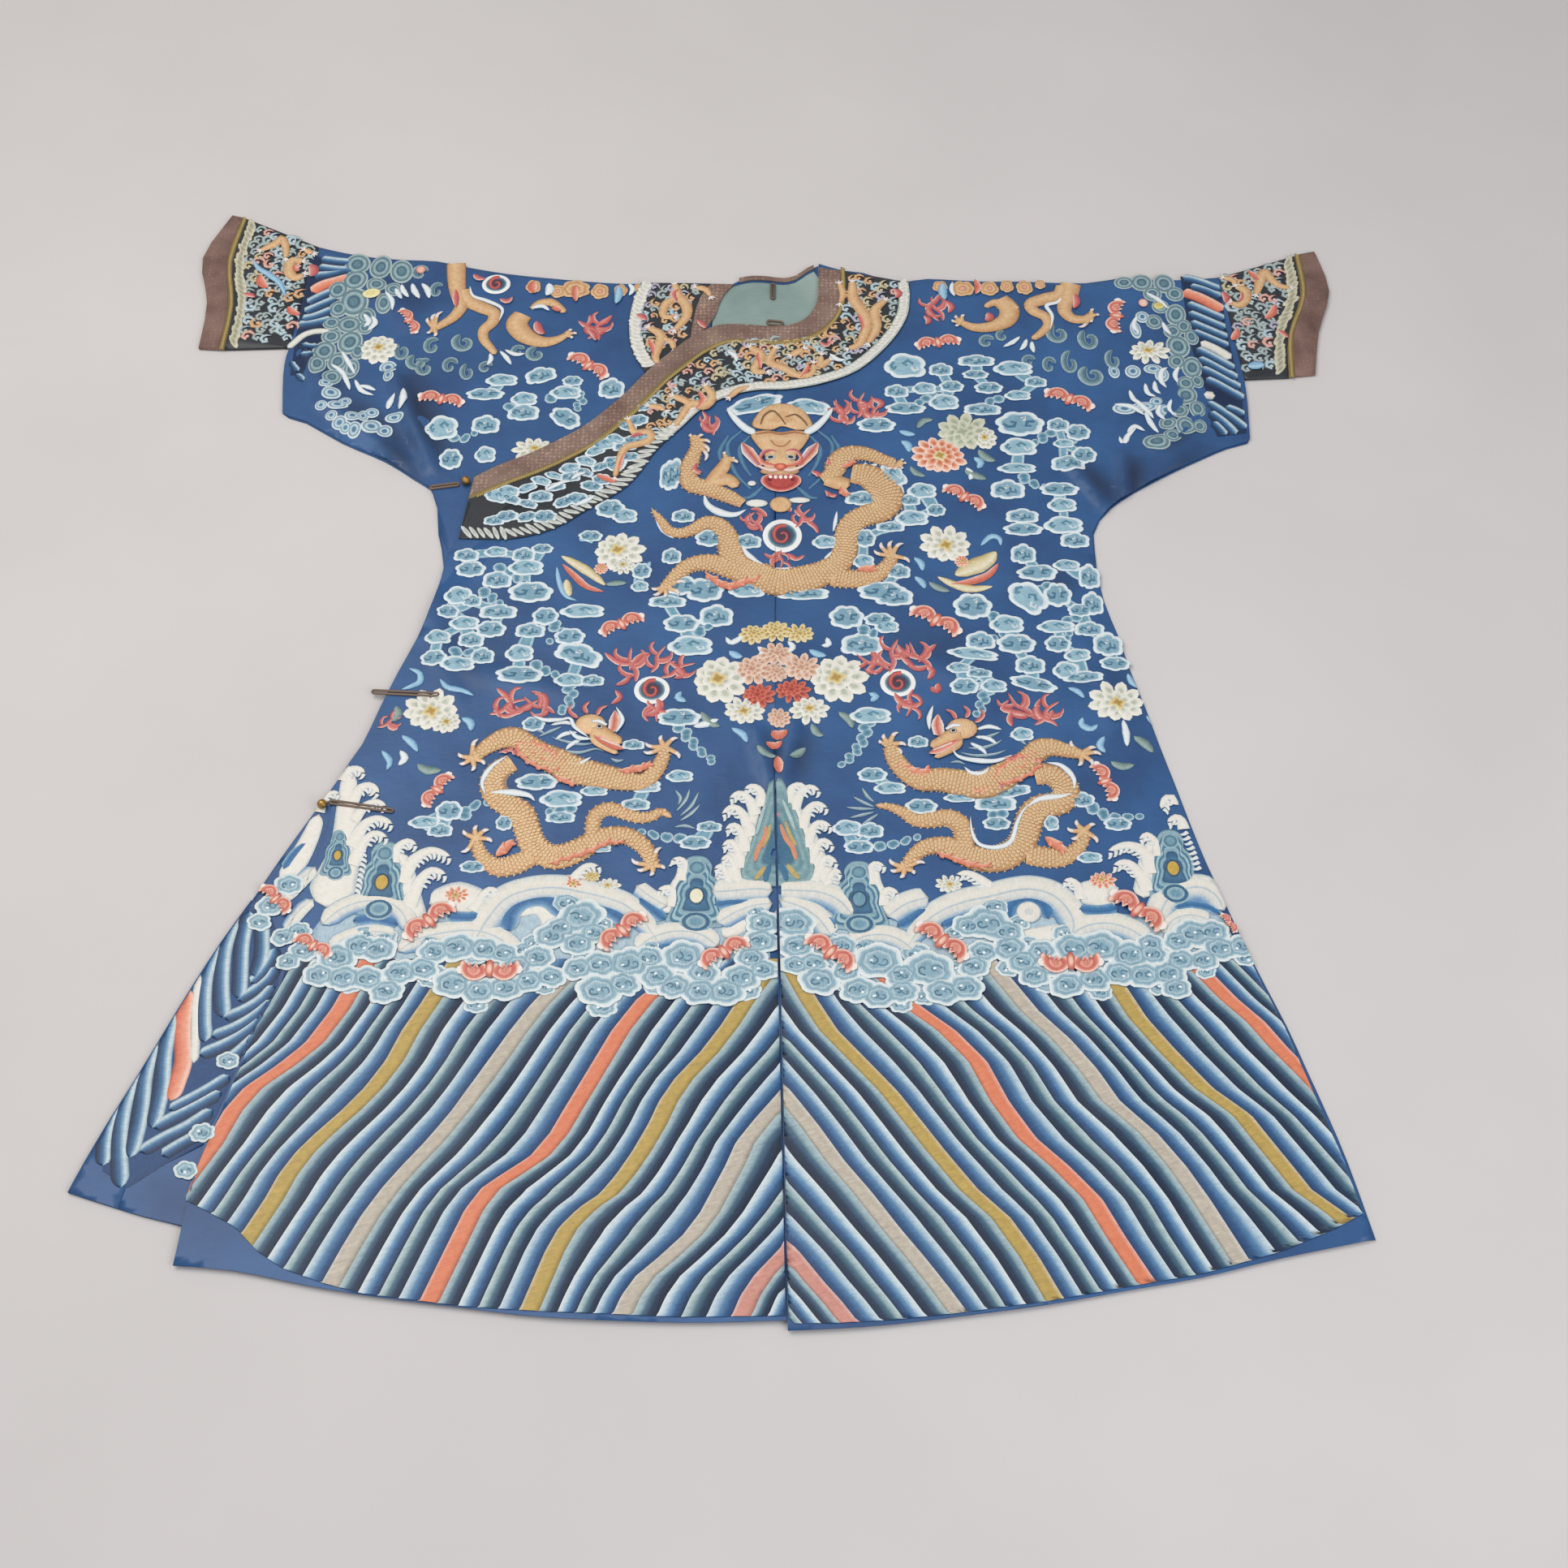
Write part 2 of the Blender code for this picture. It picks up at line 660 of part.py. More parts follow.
def left_half():
    """Wearer's left: back, shoulder fold, sleeve and front, sewn to the outer front."""
    shoulder = curve(LEFT_SHOULDER)[::-1]
    cuff_seam = straight(LEFT_SLEEVE_END[0], LEFT_SHOULDER[-1])
    sleeve_end = curve(LEFT_SLEEVE_END)[::-1]
    underarm = curve(LEFT_UNDERARM)[::-1]
    side = body_line("left_side", LEFT_HEM[-1])[::-1]
    hem = curve(LEFT_HEM)
    neck = [p for p in curve(BACK_NECK, NECK_STEP) if p.x > SEAM_X + NECK_CLEAR]
    back = outline(centre_line(CENTRE_TOP_Y, LEFT_HEM[0].y + EDGE_INSET, 1),
                   shifted(hem[1:-1], 0, EDGE_INSET),
                   side, underarm, sleeve_end, cuff_seam, shoulder, neck[::-1])
    neck_edge = [p for p in NECK_EDGE if p.x > SEAM_X + NECK_CLEAR]
    front = outline(centre_line(neck_y(), LEFT_HEM[0].y, 1), hem[1:-1], shifted(side, -EDGE_INSET),
                    shifted(underarm, -UNDERARM_INSET[0], UNDERARM_INSET[1]),
                    sleeve_end, cuff_seam, shoulder, neck_edge)
    cloth("left_half", [Panel(back, on_floor), Panel(front, left_front_height, folded=True)],
          BLUE, folds=[Fold(0, 1, shoulder)])


def neck_y():
    """Height of the front's neck edge on the centre seam."""
    for a, b in zip(NECK_EDGE, NECK_EDGE[1:]):
        if a.x > SEAM_X >= b.x:
            return between(a, b, (a.x - SEAM_X) / (a.x - b.x)).y


def outer_front():
    """The front that laps over the inner one, from the centre seam to the right side."""
    neck_edge = [p for p in NECK_EDGE if p.x < SEAM_X - NECK_CLEAR]
    end = [Point(COLLAR[-1].edge_x - LAP_END_OUT, COLLAR[-1].edge_y), LAP_CORNER]
    free_edge = body_line("lap_edge", LAP_HEM[0])
    loop = outline(neck_edge, end, free_edge, curve(LAP_HEM)[1:-1],
                   centre_line(neck_y(), LAP_HEM[-1].y, -1)[::-1])
    cloth("outer_front", [Panel(loop, lap_height, folded=True)], BLUE)


def neck_lining():
    """The celadon lining and the blue facing of the back that show inside the neck."""
    neck = curve(BACK_NECK, NECK_STEP)
    line = [p for p in neck if FACING_ENDS[0] < p.x < FACING_ENDS[1]]
    top = shifted(line, 0, -BACK_FACING_WIDTH - FACING_INSET - 2 * SEAM_GAP)
    left = along_ribs(INNER_RIBS[1:-5], UNDER_BINDING - LINING_SHOWS)
    bottom = along_ribs(FRONT_RIBS[2:23], UNDER_BINDING + LINING_LAP)
    loop = outline(top[::-1], left, bottom[::-1])
    cloth("neck_lining", [Panel(loop, on_back, LINING, LATTICE / 2)], CELADON)
    strip("back_neck_facing", shifted(line, 0, -BACK_FACING_WIDTH - FACING_INSET),
          shifted(line, 0, -FACING_INSET),
          on_back, BLUE, thickness=LINING)
    strip("back_neck_binding", shifted(line, 0, BACK_BINDING_OUT - BACK_BINDING_WIDTH),
          shifted(line, 0, BACK_BINDING_OUT), on_lining, BROCADE)


def collar():
    """The outer and inner collar bands with their bindings, and the outer one's piping."""
    piping_start = HALF_BINDING + SEAM_GAP
    piping_end = piping_start + PIPING_WIDTH
    strip("collar_binding", along_ribs(FRONT_RIBS, -HALF_BINDING),
          along_ribs(FRONT_RIBS, HALF_BINDING), on_front, BROCADE)
    strip("collar_piping", along_ribs(FRONT_RIBS, piping_start),
          along_ribs(FRONT_RIBS, piping_end), on_front, OLIVE_GOLD, thickness=PIPING)
    strip("collar_band", along_ribs(FRONT_RIBS, piping_end + SEAM_GAP),
          [edge for _, edge in FRONT_RIBS], on_front, DARK, columns=3)
    strip("inner_collar_binding", along_ribs(INNER_RIBS, -HALF_BINDING),
          along_ribs(INNER_RIBS, HALF_BINDING), on_inner_front, BROCADE)
    strip("inner_collar_band", along_ribs(INNER_RIBS, HALF_BINDING + SEAM_GAP),
          [edge for _, edge in INNER_RIBS], on_inner_front, DARK, columns=3)


def cuff_line(rib, dx=0.0):
    """The curve down one rib of a cuff, from its top fold to its bottom one."""
    step = (rib.bottom_y - rib.top_y) / 3
    xs = (rib.x_top, rib.x_upper, rib.x_lower, rib.x_bottom)
    return curve([Point(x + dx, rib.top_y + step * k) for k, x in enumerate(xs)])


def cuff(side, table, outwards):
    """A flattened cuff, its piping and its binding, each a tube folded at top and bottom."""
    pieces = (("cuff", DARK), ("cuff_piping", OLIVE_GOLD), ("cuff_binding", BROCADE))
    for (name, colour), start, end in zip(pieces, table, table[1:]):
        inner = cuff_line(start, outwards * SEAM_GAP)
        outer = cuff_line(end)
        top = straight(inner[0], outer[0])
        bottom = straight(outer[-1], inner[-1])
        loop = outline(top, outer, bottom, inner[::-1])
        if outwards > 0:
            top, bottom = top[::-1], bottom[::-1]
            loop.reverse()
        cloth(f"{side}_{name}", [Panel(loop, on_floor), Panel(loop, on_back)], colour,
              folds=[Fold(0, 1, top), Fold(0, 1, bottom)])


# --- closures ---------------------------------------------------------------------------------

def cord_loop(name, ends, surface, colour, gap=LOOP_GAP):
    """A flat loop of cord lying on a surface height, its two runs `gap` apart."""
    (ax, ay), (bx, by) = ends
    length = distance(*ends)
    ux, uy = (bx - ax) / length, (by - ay) / length
    reach = gap / 2 + CORD_RADIUS
    z = surface + PLY_GAP + CORD_RADIUS
    turns = 6
    path = []
    for cx, cy, start in ((bx, by, -math.pi / 2), (ax, ay, math.pi / 2)):
        for k in range(turns + 1):
            angle = start + math.pi * k / turns
            out_x, out_y = math.cos(angle), math.sin(angle)
            path.append(((cx + reach * (out_x * ux - out_y * uy),
                          cy + reach * (out_x * uy + out_y * ux)),
                         (out_x * ux - out_y * uy, out_x * uy + out_y * ux)))
    verts = []
    for (x, y), (out_x, out_y) in path:
        for k in range(CORD_SIDES):
            angle = 2 * math.pi * k / CORD_SIDES
            across = CORD_RADIUS * math.cos(angle)
            verts.append((x + out_x * across, y + out_y * across, z + CORD_RADIUS * math.sin(angle)))
    faces = []
    for i in range(len(path)):
        j = (i + 1) % len(path)
        for k in range(CORD_SIDES):
            m = (k + 1) % CORD_SIDES
            faces.append((i * CORD_SIDES + k, j * CORD_SIDES + k,
                          j * CORD_SIDES + m, i * CORD_SIDES + m))
    add_object(name, verts, faces, colour, 0.7).data.shade_smooth()


def ball_button(name, place, surface):
    """A gilt brass ball resting on a surface height."""
    around, up = 12, 8
    z0 = surface + PLY_GAP + BALL_RADIUS
    verts = [(place.x, place.y, z0 - BALL_RADIUS)]
    for i in range(1, up):
        angle = math.pi * i / up
        for k in range(around):
            turn = 2 * math.pi * k / around
            verts.append((place.x + BALL_RADIUS * math.sin(angle) * math.cos(turn),
                          place.y + BALL_RADIUS * math.sin(angle) * math.sin(turn),
                          z0 - BALL_RADIUS * math.cos(angle)))
    verts.append((place.x, place.y, z0 + BALL_RADIUS))
    faces = []
    for k in range(around):
        m = (k + 1) % around
        faces.append((0, 1 + m, 1 + k))
        for i in range(up - 2):
            a, b = 1 + i * around, 1 + (i + 1) * around
            faces.append((a + k, a + m, b + m, b + k))
        top = 1 + (up - 2) * around
        faces.append((top + k, top + m, len(verts) - 1))
    add_object(name, verts, faces, BRASS, 0.3, 1.0).data.shade_smooth()


def closures():
    inner_top = PLY + CLOTH
    outer_top = 2 * PLY + CLOTH
    lining_top = PLY + LINING
    cord_loop("armpit_loop", ARMPIT_LOOP, inner_top, BROCADE)
    ball_button("armpit_button", ARMPIT_BALL, inner_top)
    cord_loop("upper_side_loop", UPPER_LOOP, outer_top, BROCADE)
    cord_loop("lower_side_loop", LOWER_LOOP, outer_top, BROCADE)
    ball_button("lower_side_button", LOWER_BALL, inner_top)
    cord_loop("neck_loop", NECK_LOOP, lining_top, BROCADE, NECK_LOOP_GAP)
    cord_loop("hanging_loop", HANGING_LOOP, lining_top, DARK)


def clear_scene():
    for obj in list(bpy.data.objects):
        bpy.data.objects.remove(obj, do_unlink=True)


clear_scene()
right_half()
left_half()
outer_front()
neck_lining()
collar()
cuff("right", RIGHT_CUFF, -1)
cuff("left", LEFT_CUFF, 1)
closures()
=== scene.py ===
# %% [markdown]
# # A Chinese dragon robe, laid flat
# The solids come from the CAD frame. This script turns them into silk: fine cloth shells,
# shaded embroidery in satin stitch, couched gold dragons, brocade bindings and twisted cord.
# Everything is measured in millimetres in the tables and turned into metres when it is built.

# %% Load the frame
import math

import bmesh
import bpy
import numpy as np
from mathutils.geometry import delaunay_2d_cdt
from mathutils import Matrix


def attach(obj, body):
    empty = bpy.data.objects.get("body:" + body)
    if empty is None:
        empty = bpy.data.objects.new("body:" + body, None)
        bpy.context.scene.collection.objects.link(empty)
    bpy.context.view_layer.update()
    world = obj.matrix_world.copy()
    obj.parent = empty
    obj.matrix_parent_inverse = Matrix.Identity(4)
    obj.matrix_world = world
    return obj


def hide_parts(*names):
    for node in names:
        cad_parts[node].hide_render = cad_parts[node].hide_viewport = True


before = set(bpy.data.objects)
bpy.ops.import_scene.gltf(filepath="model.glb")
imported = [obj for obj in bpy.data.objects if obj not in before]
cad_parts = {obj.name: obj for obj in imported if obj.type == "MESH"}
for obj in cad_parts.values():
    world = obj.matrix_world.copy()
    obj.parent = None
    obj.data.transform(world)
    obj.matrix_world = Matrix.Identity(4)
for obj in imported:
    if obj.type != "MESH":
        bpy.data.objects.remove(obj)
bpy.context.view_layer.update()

MM = 0.001

# %% [markdown]
# ## The camera and the light
# The camera stands off the robe's hem and looks down at it at a steep angle, with a short
# telephoto lens. One large soft box overhead and a pale room give light with hardly any shadow.

# %% Camera, lights and floor
CAMERA_FROM = (0.0265, -1.6099, 2.1969)
CAMERA_TO = (0.0265, -0.128, 0.0)
LENS = 56.0


def linear(hex_colour):
    """An sRGB colour such as #34588C as the linear numbers that Blender works with."""
    parts = [int(hex_colour[i:i + 2], 16) / 255 for i in (1, 3, 5)]
    return tuple(c / 12.92 if c <= 0.04045 else ((c + 0.055) / 1.055) ** 2.4 for c in parts)


def link(obj):
    bpy.context.scene.collection.objects.link(obj)
    return obj


def aim(obj, place, target):
    """Puts a camera or a light at place, pointing at target."""
    forward = np.array(target) - np.array(place)
    obj.location = place
    obj.rotation_euler = (math.atan2(math.hypot(forward[0], forward[1]), -forward[2]), 0.0,
                          math.atan2(-forward[0], forward[1]))
    return obj


camera = bpy.data.cameras.new("camera")
camera.lens = LENS
camera.sensor_width = 36.0
bpy.context.scene.camera = link(aim(bpy.data.objects.new("camera", camera), CAMERA_FROM, CAMERA_TO))


def soft_box(name, place, size, watts, colour="#FFFFFF"):
    light = bpy.data.lights.new(name, "AREA")
    light.shape = "SQUARE"
    light.size = size
    light.energy = watts
    light.color = linear(colour)
    return link(aim(bpy.data.objects.new(name, light), place, (0.0, 0.0, 0.0)))


soft_box("key_soft_box", (-1.15, 0.35, 2.75), 2.2, 50.0, "#FFF9F2")
soft_box("fill_soft_box", (1.8, -1.9, 2.3), 2.4, 44.0, "#F8F9FF")
world = bpy.data.worlds.new("pale_room")
world.use_nodes = True
world.node_tree.nodes["Background"].inputs["Color"].default_value = (*linear("#E6E6EA"), 1.0)
world.node_tree.nodes["Background"].inputs["Strength"].default_value = 0.52
bpy.context.scene.world = world
bpy.context.scene.view_settings.view_transform = "Standard"

# %% [markdown]
# ## Materials
# Silk is a satin weave: long floats that reflect along the thread, so it gets a soft sheen and
# a fine bump of threads. Stitches take their colour from an attribute, so one material serves
# every shade of embroidery floss, and its threads run across each stitched band.

# %% Adding a node, and starting a material
def node(tree, kind, inputs=None, stops=(), **settings):
    """Adds one node with its settings and links; stops are a ramp's (position, hex) pairs."""
    made = tree.nodes.new(kind)
    for name, value in settings.items():
        setattr(made, name, value)
    for socket, value in (inputs or {}).items():
        target = made.inputs[socket]
        if isinstance(value, bpy.types.NodeSocket):
            tree.links.new(value, target)
        else:
            target.default_value = value
    if stops:
        elements = made.color_ramp.elements
        while len(elements) < len(stops):
            elements.new(0.5)
        for element, (position, colour) in zip(elements, stops):
            element.position = position
            element.color = (*linear(colour), 1.0)
    return made


def material(name, **constants):
    """(material, tree, shader, place) with constants set on the shader's own sockets."""
    made = bpy.data.materials.new(name)
    made.use_nodes = True
    shader = made.node_tree.nodes["Principled BSDF"]
    for socket, value in constants.items():
        shader.inputs[socket.replace("_", " ")].default_value = value
    place = node(made.node_tree, "ShaderNodeTexCoord").outputs["Object"]
    return made, made.node_tree, shader, place


def noise(tree, place, scale, detail):
    """A cloudy value from 0 to 1; the scale is in cells for each metre."""
    made = node(tree, "ShaderNodeTexNoise", {"Vector": place, "Scale": scale, "Detail": detail})
    return made.outputs["Fac"]


def stretched_noise(tree, place, scale, detail):
    """Noise drawn out along one way, as threads are; the scale has a number for each axis."""
    drawn = node(tree, "ShaderNodeMapping", {"Vector": place, "Scale": scale})
    return noise(tree, drawn.outputs[0], 1.0, detail)


def ramp(tree, value, *stops):
    """A colour for each value; stops are (position, hex) pairs."""
    return node(tree, "ShaderNodeValToRGB", {"Fac": value}, stops=stops).outputs["Color"]


def overlay(tree, share, colour, pattern):
    """The colour made lighter and darker by a grey pattern."""
    return node(tree, "ShaderNodeMix", {0: share, 6: colour, 7: pattern},
                data_type="RGBA", blend_type="OVERLAY").outputs[2]


def bump(tree, height, strength, depth_mm, **under):
    """A normal for a relief of so many millimetres, laid over another one when it is given."""
    return node(tree, "ShaderNodeBump", {"Height": height, "Strength": strength,
                                         "Distance": depth_mm * MM, **under}).outputs["Normal"]


def finish_with(tree, shader, **outputs):
    """Links finished values to the shader's own sockets."""
    for socket, value in outputs.items():
        tree.links.new(value, shader.inputs[socket.replace("_", " ")])


# %% Satin, stitches, brocade and brass
GREY_LOW, GREY_HIGH = "#9E9E9E", "#D8D8D8"       # round the grey that an overlay leaves unchanged
SATIN_THREAD_MM = 1.1            # ten times too coarse, so that the threads show


def satin_ground(name, dark, light, fold_shade_colour):
    """Satin-weave silk: dyed unevenly, rubbed a little paler, with threads that catch light.

    An attribute turns the colour towards a dark shade in the valley beside each crease: this is painted
    shade, standing in for the shadow inside a fold."""
    made, tree, shader, place = material(name, Roughness=0.46, Sheen_Weight=0.06,
                                         Sheen_Roughness=0.4, IOR=1.55)
    dye = ramp(tree, noise(tree, place, 9.0, 5.0), (0.30, dark), (0.72, light))
    slubs = stretched_noise(tree, place, (60.0, 900.0, 1.0), 2.0)
    cloth = overlay(tree, 0.22, dye, ramp(tree, slubs, (0.3, GREY_LOW), (0.7, GREY_HIGH)))
    # painted shade: the attribute's share pulls the cloth's colour towards the dark fold colour
    painted_shade_share = node(tree, "ShaderNodeAttribute", attribute_name="painted_fold_shade").outputs["Fac"]
    shaded = node(tree, "ShaderNodeMix", {0: painted_shade_share, 6: cloth, 7: (*linear(fold_shade_colour), 1.0)},
                  data_type="RGBA").outputs[2]
    threads = stretched_noise(tree, place, (120.0, 1.0 / (SATIN_THREAD_MM * MM), 1.0), 1.0)
    soft = bump(tree, noise(tree, place, 38.0, 2.0), 0.35, 2.0)
    finish_with(tree, shader, Base_Color=shaded, Normal=bump(tree, threads, 0.5, 0.25, Normal=soft))
    return made


def stitched_silk(name, roughness, thread_mm, depth_mm, metal=0.0, mottle=0.5):
    """Embroidery: colour from the silk attribute, threads across each band, wear in patches."""
    made, tree, shader, place = material(name, Roughness=roughness, Metallic=metal, IOR=1.42,
                                         Sheen_Weight=0.03, Sheen_Roughness=0.35)
    silk = node(tree, "ShaderNodeAttribute", attribute_name="silk").outputs["Color"]
    along = node(tree, "ShaderNodeUVMap", uv_map="stitch").outputs["UV"]
    threads = stretched_noise(tree, along, (1.0 / thread_mm, 0.12, 1.0), 1.5)
    dyed = overlay(tree, mottle, silk, ramp(tree, threads, (0.28, GREY_LOW), (0.72, GREY_HIGH)))
    rubbed = ramp(tree, noise(tree, place, 160.0, 3.0), (0.3, "#A4A4A4"), (0.7, "#D2D2D2"))
    finish_with(tree, shader, Base_Color=overlay(tree, 0.35, dyed, rubbed),
                Normal=bump(tree, threads, 0.6, depth_mm))
    return made


def brocade(name, dark, light, thread):
    """Brown brocade: a small woven fret in a paler thread on a warp-faced ground."""
    made, tree, shader, place = material(name, Roughness=0.62, Sheen_Weight=0.08,
                                         Sheen_Roughness=0.5, IOR=1.5)
    ground = ramp(tree, noise(tree, place, 26.0, 4.0), (0.32, dark), (0.70, light))
    fret = node(tree, "ShaderNodeTexVoronoi", {"Vector": place, "Scale": 190.0, "Randomness": 0.35},
                feature="F1", distance="MANHATTAN").outputs["Distance"]
    woven = ramp(tree, fret, (0.16, thread), (0.30, GREY_HIGH), (0.62, "#8E8E8E"))
    finish_with(tree, shader, Base_Color=overlay(tree, 0.62, ground, woven),
                Normal=bump(tree, fret, 0.45, 0.5))
    return made


def gilt_brass(name):
    """Gilt brass, rubbed dull where fingers and loops touch it."""
    made, tree, shader, place = material(name, Metallic=1.0, IOR=1.5)
    worn = noise(tree, place, 420.0, 3.0)
    polish = node(tree, "ShaderNodeMapRange", {"Value": worn, "To Min": 0.28, "To Max": 0.55})
    finish_with(tree, shader, Base_Color=ramp(tree, worn, (0.3, "#8E6A36"), (0.7, "#C9A462")),
                Roughness=polish.outputs[0])
    return made


# The last colour of each is the painted shade laid into the valley beside each crease
BLUE_SATIN = satin_ground("blue_silk_satin", "#1C4474", "#2D5E93", "#0A1B38")
CELADON_SILK = satin_ground("celadon_silk_lining", "#788F8A", "#9DB0AA", "#4E6266")
DARK_SATIN = satin_ground("dark_silk_satin", "#1A1F26", "#2B3036", "#101318")
BROWN_BROCADE = brocade("brown_silk_brocade", "#72534A", "#9E7D70", "#F4E8DC")
COLLAR_BROCADE = brocade("faded_brown_brocade", "#7D6054", "#A58A7B", "#E6DACD")
CORD = satin_ground("plaited_silk_cord", "#5B4A3E", "#7A6655", "#3A2F28")
GILT_BRASS = gilt_brass("gilt_brass")
SILK_STITCH = stitched_silk("satin_stitch_silk", 0.45, 0.9, 0.18)
GOLD_STITCH = stitched_silk("couched_gold_thread", 0.42, 0.8, 0.22, metal=0.10, mottle=0.6)
print("materials:", len(bpy.data.materials))

# %% Floor
FLOOR_REACH, FLOOR_Z = 12.0, -0.0005


def floor():
    """The pale floor that the robe is laid on."""
    mesh = bpy.data.meshes.new("floor")
    corners = [(FLOOR_REACH * x, FLOOR_REACH * y, FLOOR_Z) for x, y in ((-1, -1), (1, -1), (1, 1), (-1, 1))]
    mesh.from_pydata(corners, [], [(0, 1, 2, 3)])
    made, tree, shader, place = material("pale_matt_floor", Roughness=0.9)
    paint = ramp(tree, noise(tree, place, 3.0, 5.0), (0.3, "#CDCAC8"), (0.7, "#D2CFCD"))
    finish_with(tree, shader, Base_Color=paint)
    mesh.materials.append(made)
    link(bpy.data.objects.new("floor", mesh))


floor()
print("lights:", len(bpy.data.lights))

# %% [markdown]
# ## The cloth
# Each solid of the frame is a thin closed wall. A copy of it is cut finer and its upper layers
# are laid over soft creases, so that the edge stays just where the cutter put it. The wall is
# closed, so it keeps its thickness from every side.

# %% Layers and creases
CLOTH, PLY = 1.5, 1.8            # one wall of cloth, and the height that one more layer adds
SEAM_X, SLIT_TOP_Y = 16.5, -128.0  # the centre seam, and where it opens into the slit
SLIT_LEAN = 13.0                 # how far the slit has moved to the left when it meets the hem
HEM_Y = -742.0
FRONT_SETTLES = 380.0            # the left front comes down to the back this far from the seam
UPPER = 1.65                     # anything above this height is not the back layer
RIPPLE = 0.45                    # height of the shallow waves all over the cloth
# The valley beside each crease is painted darker, as shade that the fold would cast
FOLD_SHADE_DEPTH = 0.13              # how dark the painted shade in the valley beside a crease is, for each mm of crease
FOLD_SHADE_DARKEST = 0.85

# x0, y0, x1, y1, width, height: the largest folds first, then small ones
CREASES = np.array([
    (-452, 470, -392, 322, 17, 7.5), (-532, 430, -425, 330, 20, 5.5),
    (-560, 510, -520, 420, 16, 4.5), (-500, 640, -440, 560, 24, 3.5),
    (-476, 380, -420, 296, 14, 5.0), (428, 270, 430, 345, 13, 6.5), (404, 262, 366, 330, 14, 5.5),
    (452, 300, 520, 372, 18, 4.5), (360, 180, 300, 150, 22, 3.5), (520, 420, 470, 352, 15, 4.0),
    (-6, -58, 10, -128, 14, 4.5), (38, -50, 24, -132, 14, 4.5), (18, 60, 15, -40, 12, 3.0),
    (-330, 20, -210, -10, 26, 3.0), (140, 40, 250, 10, 26, 3.0), (-380, 120, -340, -20, 24, 3.0),
    (370, 60, 392, -60, 22, 3.0), (-300, -420, -250, -640, 44, 2.5), (330, -400, 380, -620, 44, 2.5),
], float)


def seam_x(y):
    """The centre line, which leans to the wearer's left below the slit's top."""
    return SEAM_X + SLIT_LEAN * np.clip((SLIT_TOP_Y - y) / (SLIT_TOP_Y - HEM_Y), 0.0, 1.0)


def along_crease(x, y, x0, y0, x1, y1):
    """Share of the crease's length beside each point, held between 0 and 1."""
    dx, dy = x1 - x0, y1 - y0
    return np.clip(((x - x0) * dx + (y - y0) * dy) / (dx * dx + dy * dy), 0.0, 1.0)


def relief(x, y):
    """Height of the creases at points given as arrays."""
    height = np.zeros_like(x)
    for x0, y0, x1, y1, width, tall in CREASES:
        share = along_crease(x, y, x0, y0, x1, y1)
        away = np.hypot(x - x0 - (x1 - x0) * share, y - y0 - (y1 - y0) * share)
        across = 0.5 + 0.5 * np.cos(math.pi * np.clip(away / width, 0.0, 1.0))
        along = 0.55 + 0.45 * np.sin(math.pi * np.minimum(1.0, 0.15 + 0.7 * share))
        height = np.maximum(height, tall * across * along)
    wave = np.sin(x * 0.031 + 1.7 * np.sin(y * 0.017)) * np.sin(y * 0.023 + 0.9 * np.sin(x * 0.019))
    return height + RIPPLE * (1.0 + wave)


def painted_fold_shade(x, y):
    """How dark the painted shade is at each point, 0 to 1: it lies in the valley along the lower right of a
    crease, the side turned from the light.
    """
    depth = np.zeros_like(x)
    for x0, y0, x1, y1, width, tall in CREASES:
        dx, dy = x1 - x0, y1 - y0
        share = along_crease(x, y, x0, y0, x1, y1)
        side = ((x - x0) * dy - (y - y0) * dx) / math.hypot(dx, dy) * (1.0 if dy < 0 else -1.0)
        before = np.hypot(x - x0, y - y0) * (share <= 0.0)
        beyond = np.hypot(x - x1, y - y1) * (share >= 1.0)
        off = np.hypot(side + width, before + beyond) / (0.95 * width)
        ends = np.sin(math.pi * (0.12 + 0.76 * share))
        depth = np.maximum(depth, FOLD_SHADE_DEPTH * tall * np.exp(-off ** 2) * ends)
    return np.minimum(depth, FOLD_SHADE_DARKEST)


def front_low(x, y):
    """Under side of the outer front, and of the left front as it comes down to its side."""
    share = np.clip((x - seam_x(y)) / FRONT_SETTLES, 0.0, 1.0)
    return PLY * (2.0 - share) + relief(x, y)


def inner_low(x, y):
    """Under side of the inner front, the right half and the cuffs."""
    return PLY + relief(x, y)


def raised(surface, height):
    """A surface that lies a height above another one."""
    return lambda x, y: surface(x, y) + height


def level(height):
    """A flat surface at a height."""
    return lambda x, y: height + 0.0 * x


front_top, inner_top = raised(front_low, CLOTH), raised(inner_low, CLOTH)
collar_top, inner_collar_top = raised(front_top, PLY), raised(inner_top, PLY)


# The outer front's free edge and, above it, the collar's line: x at rising y
LAP_LINE = np.array([
    (-744, -559), (-687, -558), (-578, -549), (-528, -536), (-478, -523.5), (-428, -511), (-378, -492),
    (-328, -489), (-278, -484), (-228, -470), (-178, -461), (-128, -458), (-78, -435), (-28, -420),
    (22, -404), (72, -386), (122, -373.5), (172, -364.5), (193, -360), (212, -353), (291, -342),
    (311, -308), (328, -275), (348, -243), (372, -210), (397, -186), (422, -165), (447, -147),
    (472, -129), (497, -106), (522, -81), (541, -48.5), (542, 10),
], float)


def robe_top(x, y):
    """The uppermost cloth of the body: the outer front, or the inner one beyond its edge."""
    on_front = x > np.interp(y, LAP_LINE[:, 0], LAP_LINE[:, 1])
    return np.where(on_front | (x > SEAM_X), front_top(x, y), inner_top(x, y))


# %% Cloth shells
CUTS_IN_HALF = 4                 # how often an edge may be halved
MERGE = 1e-6
LEVEL_FACE = 0.5                 # the upward part of a normal beyond which a face lies flat
SHARP_EDGE = 40.0


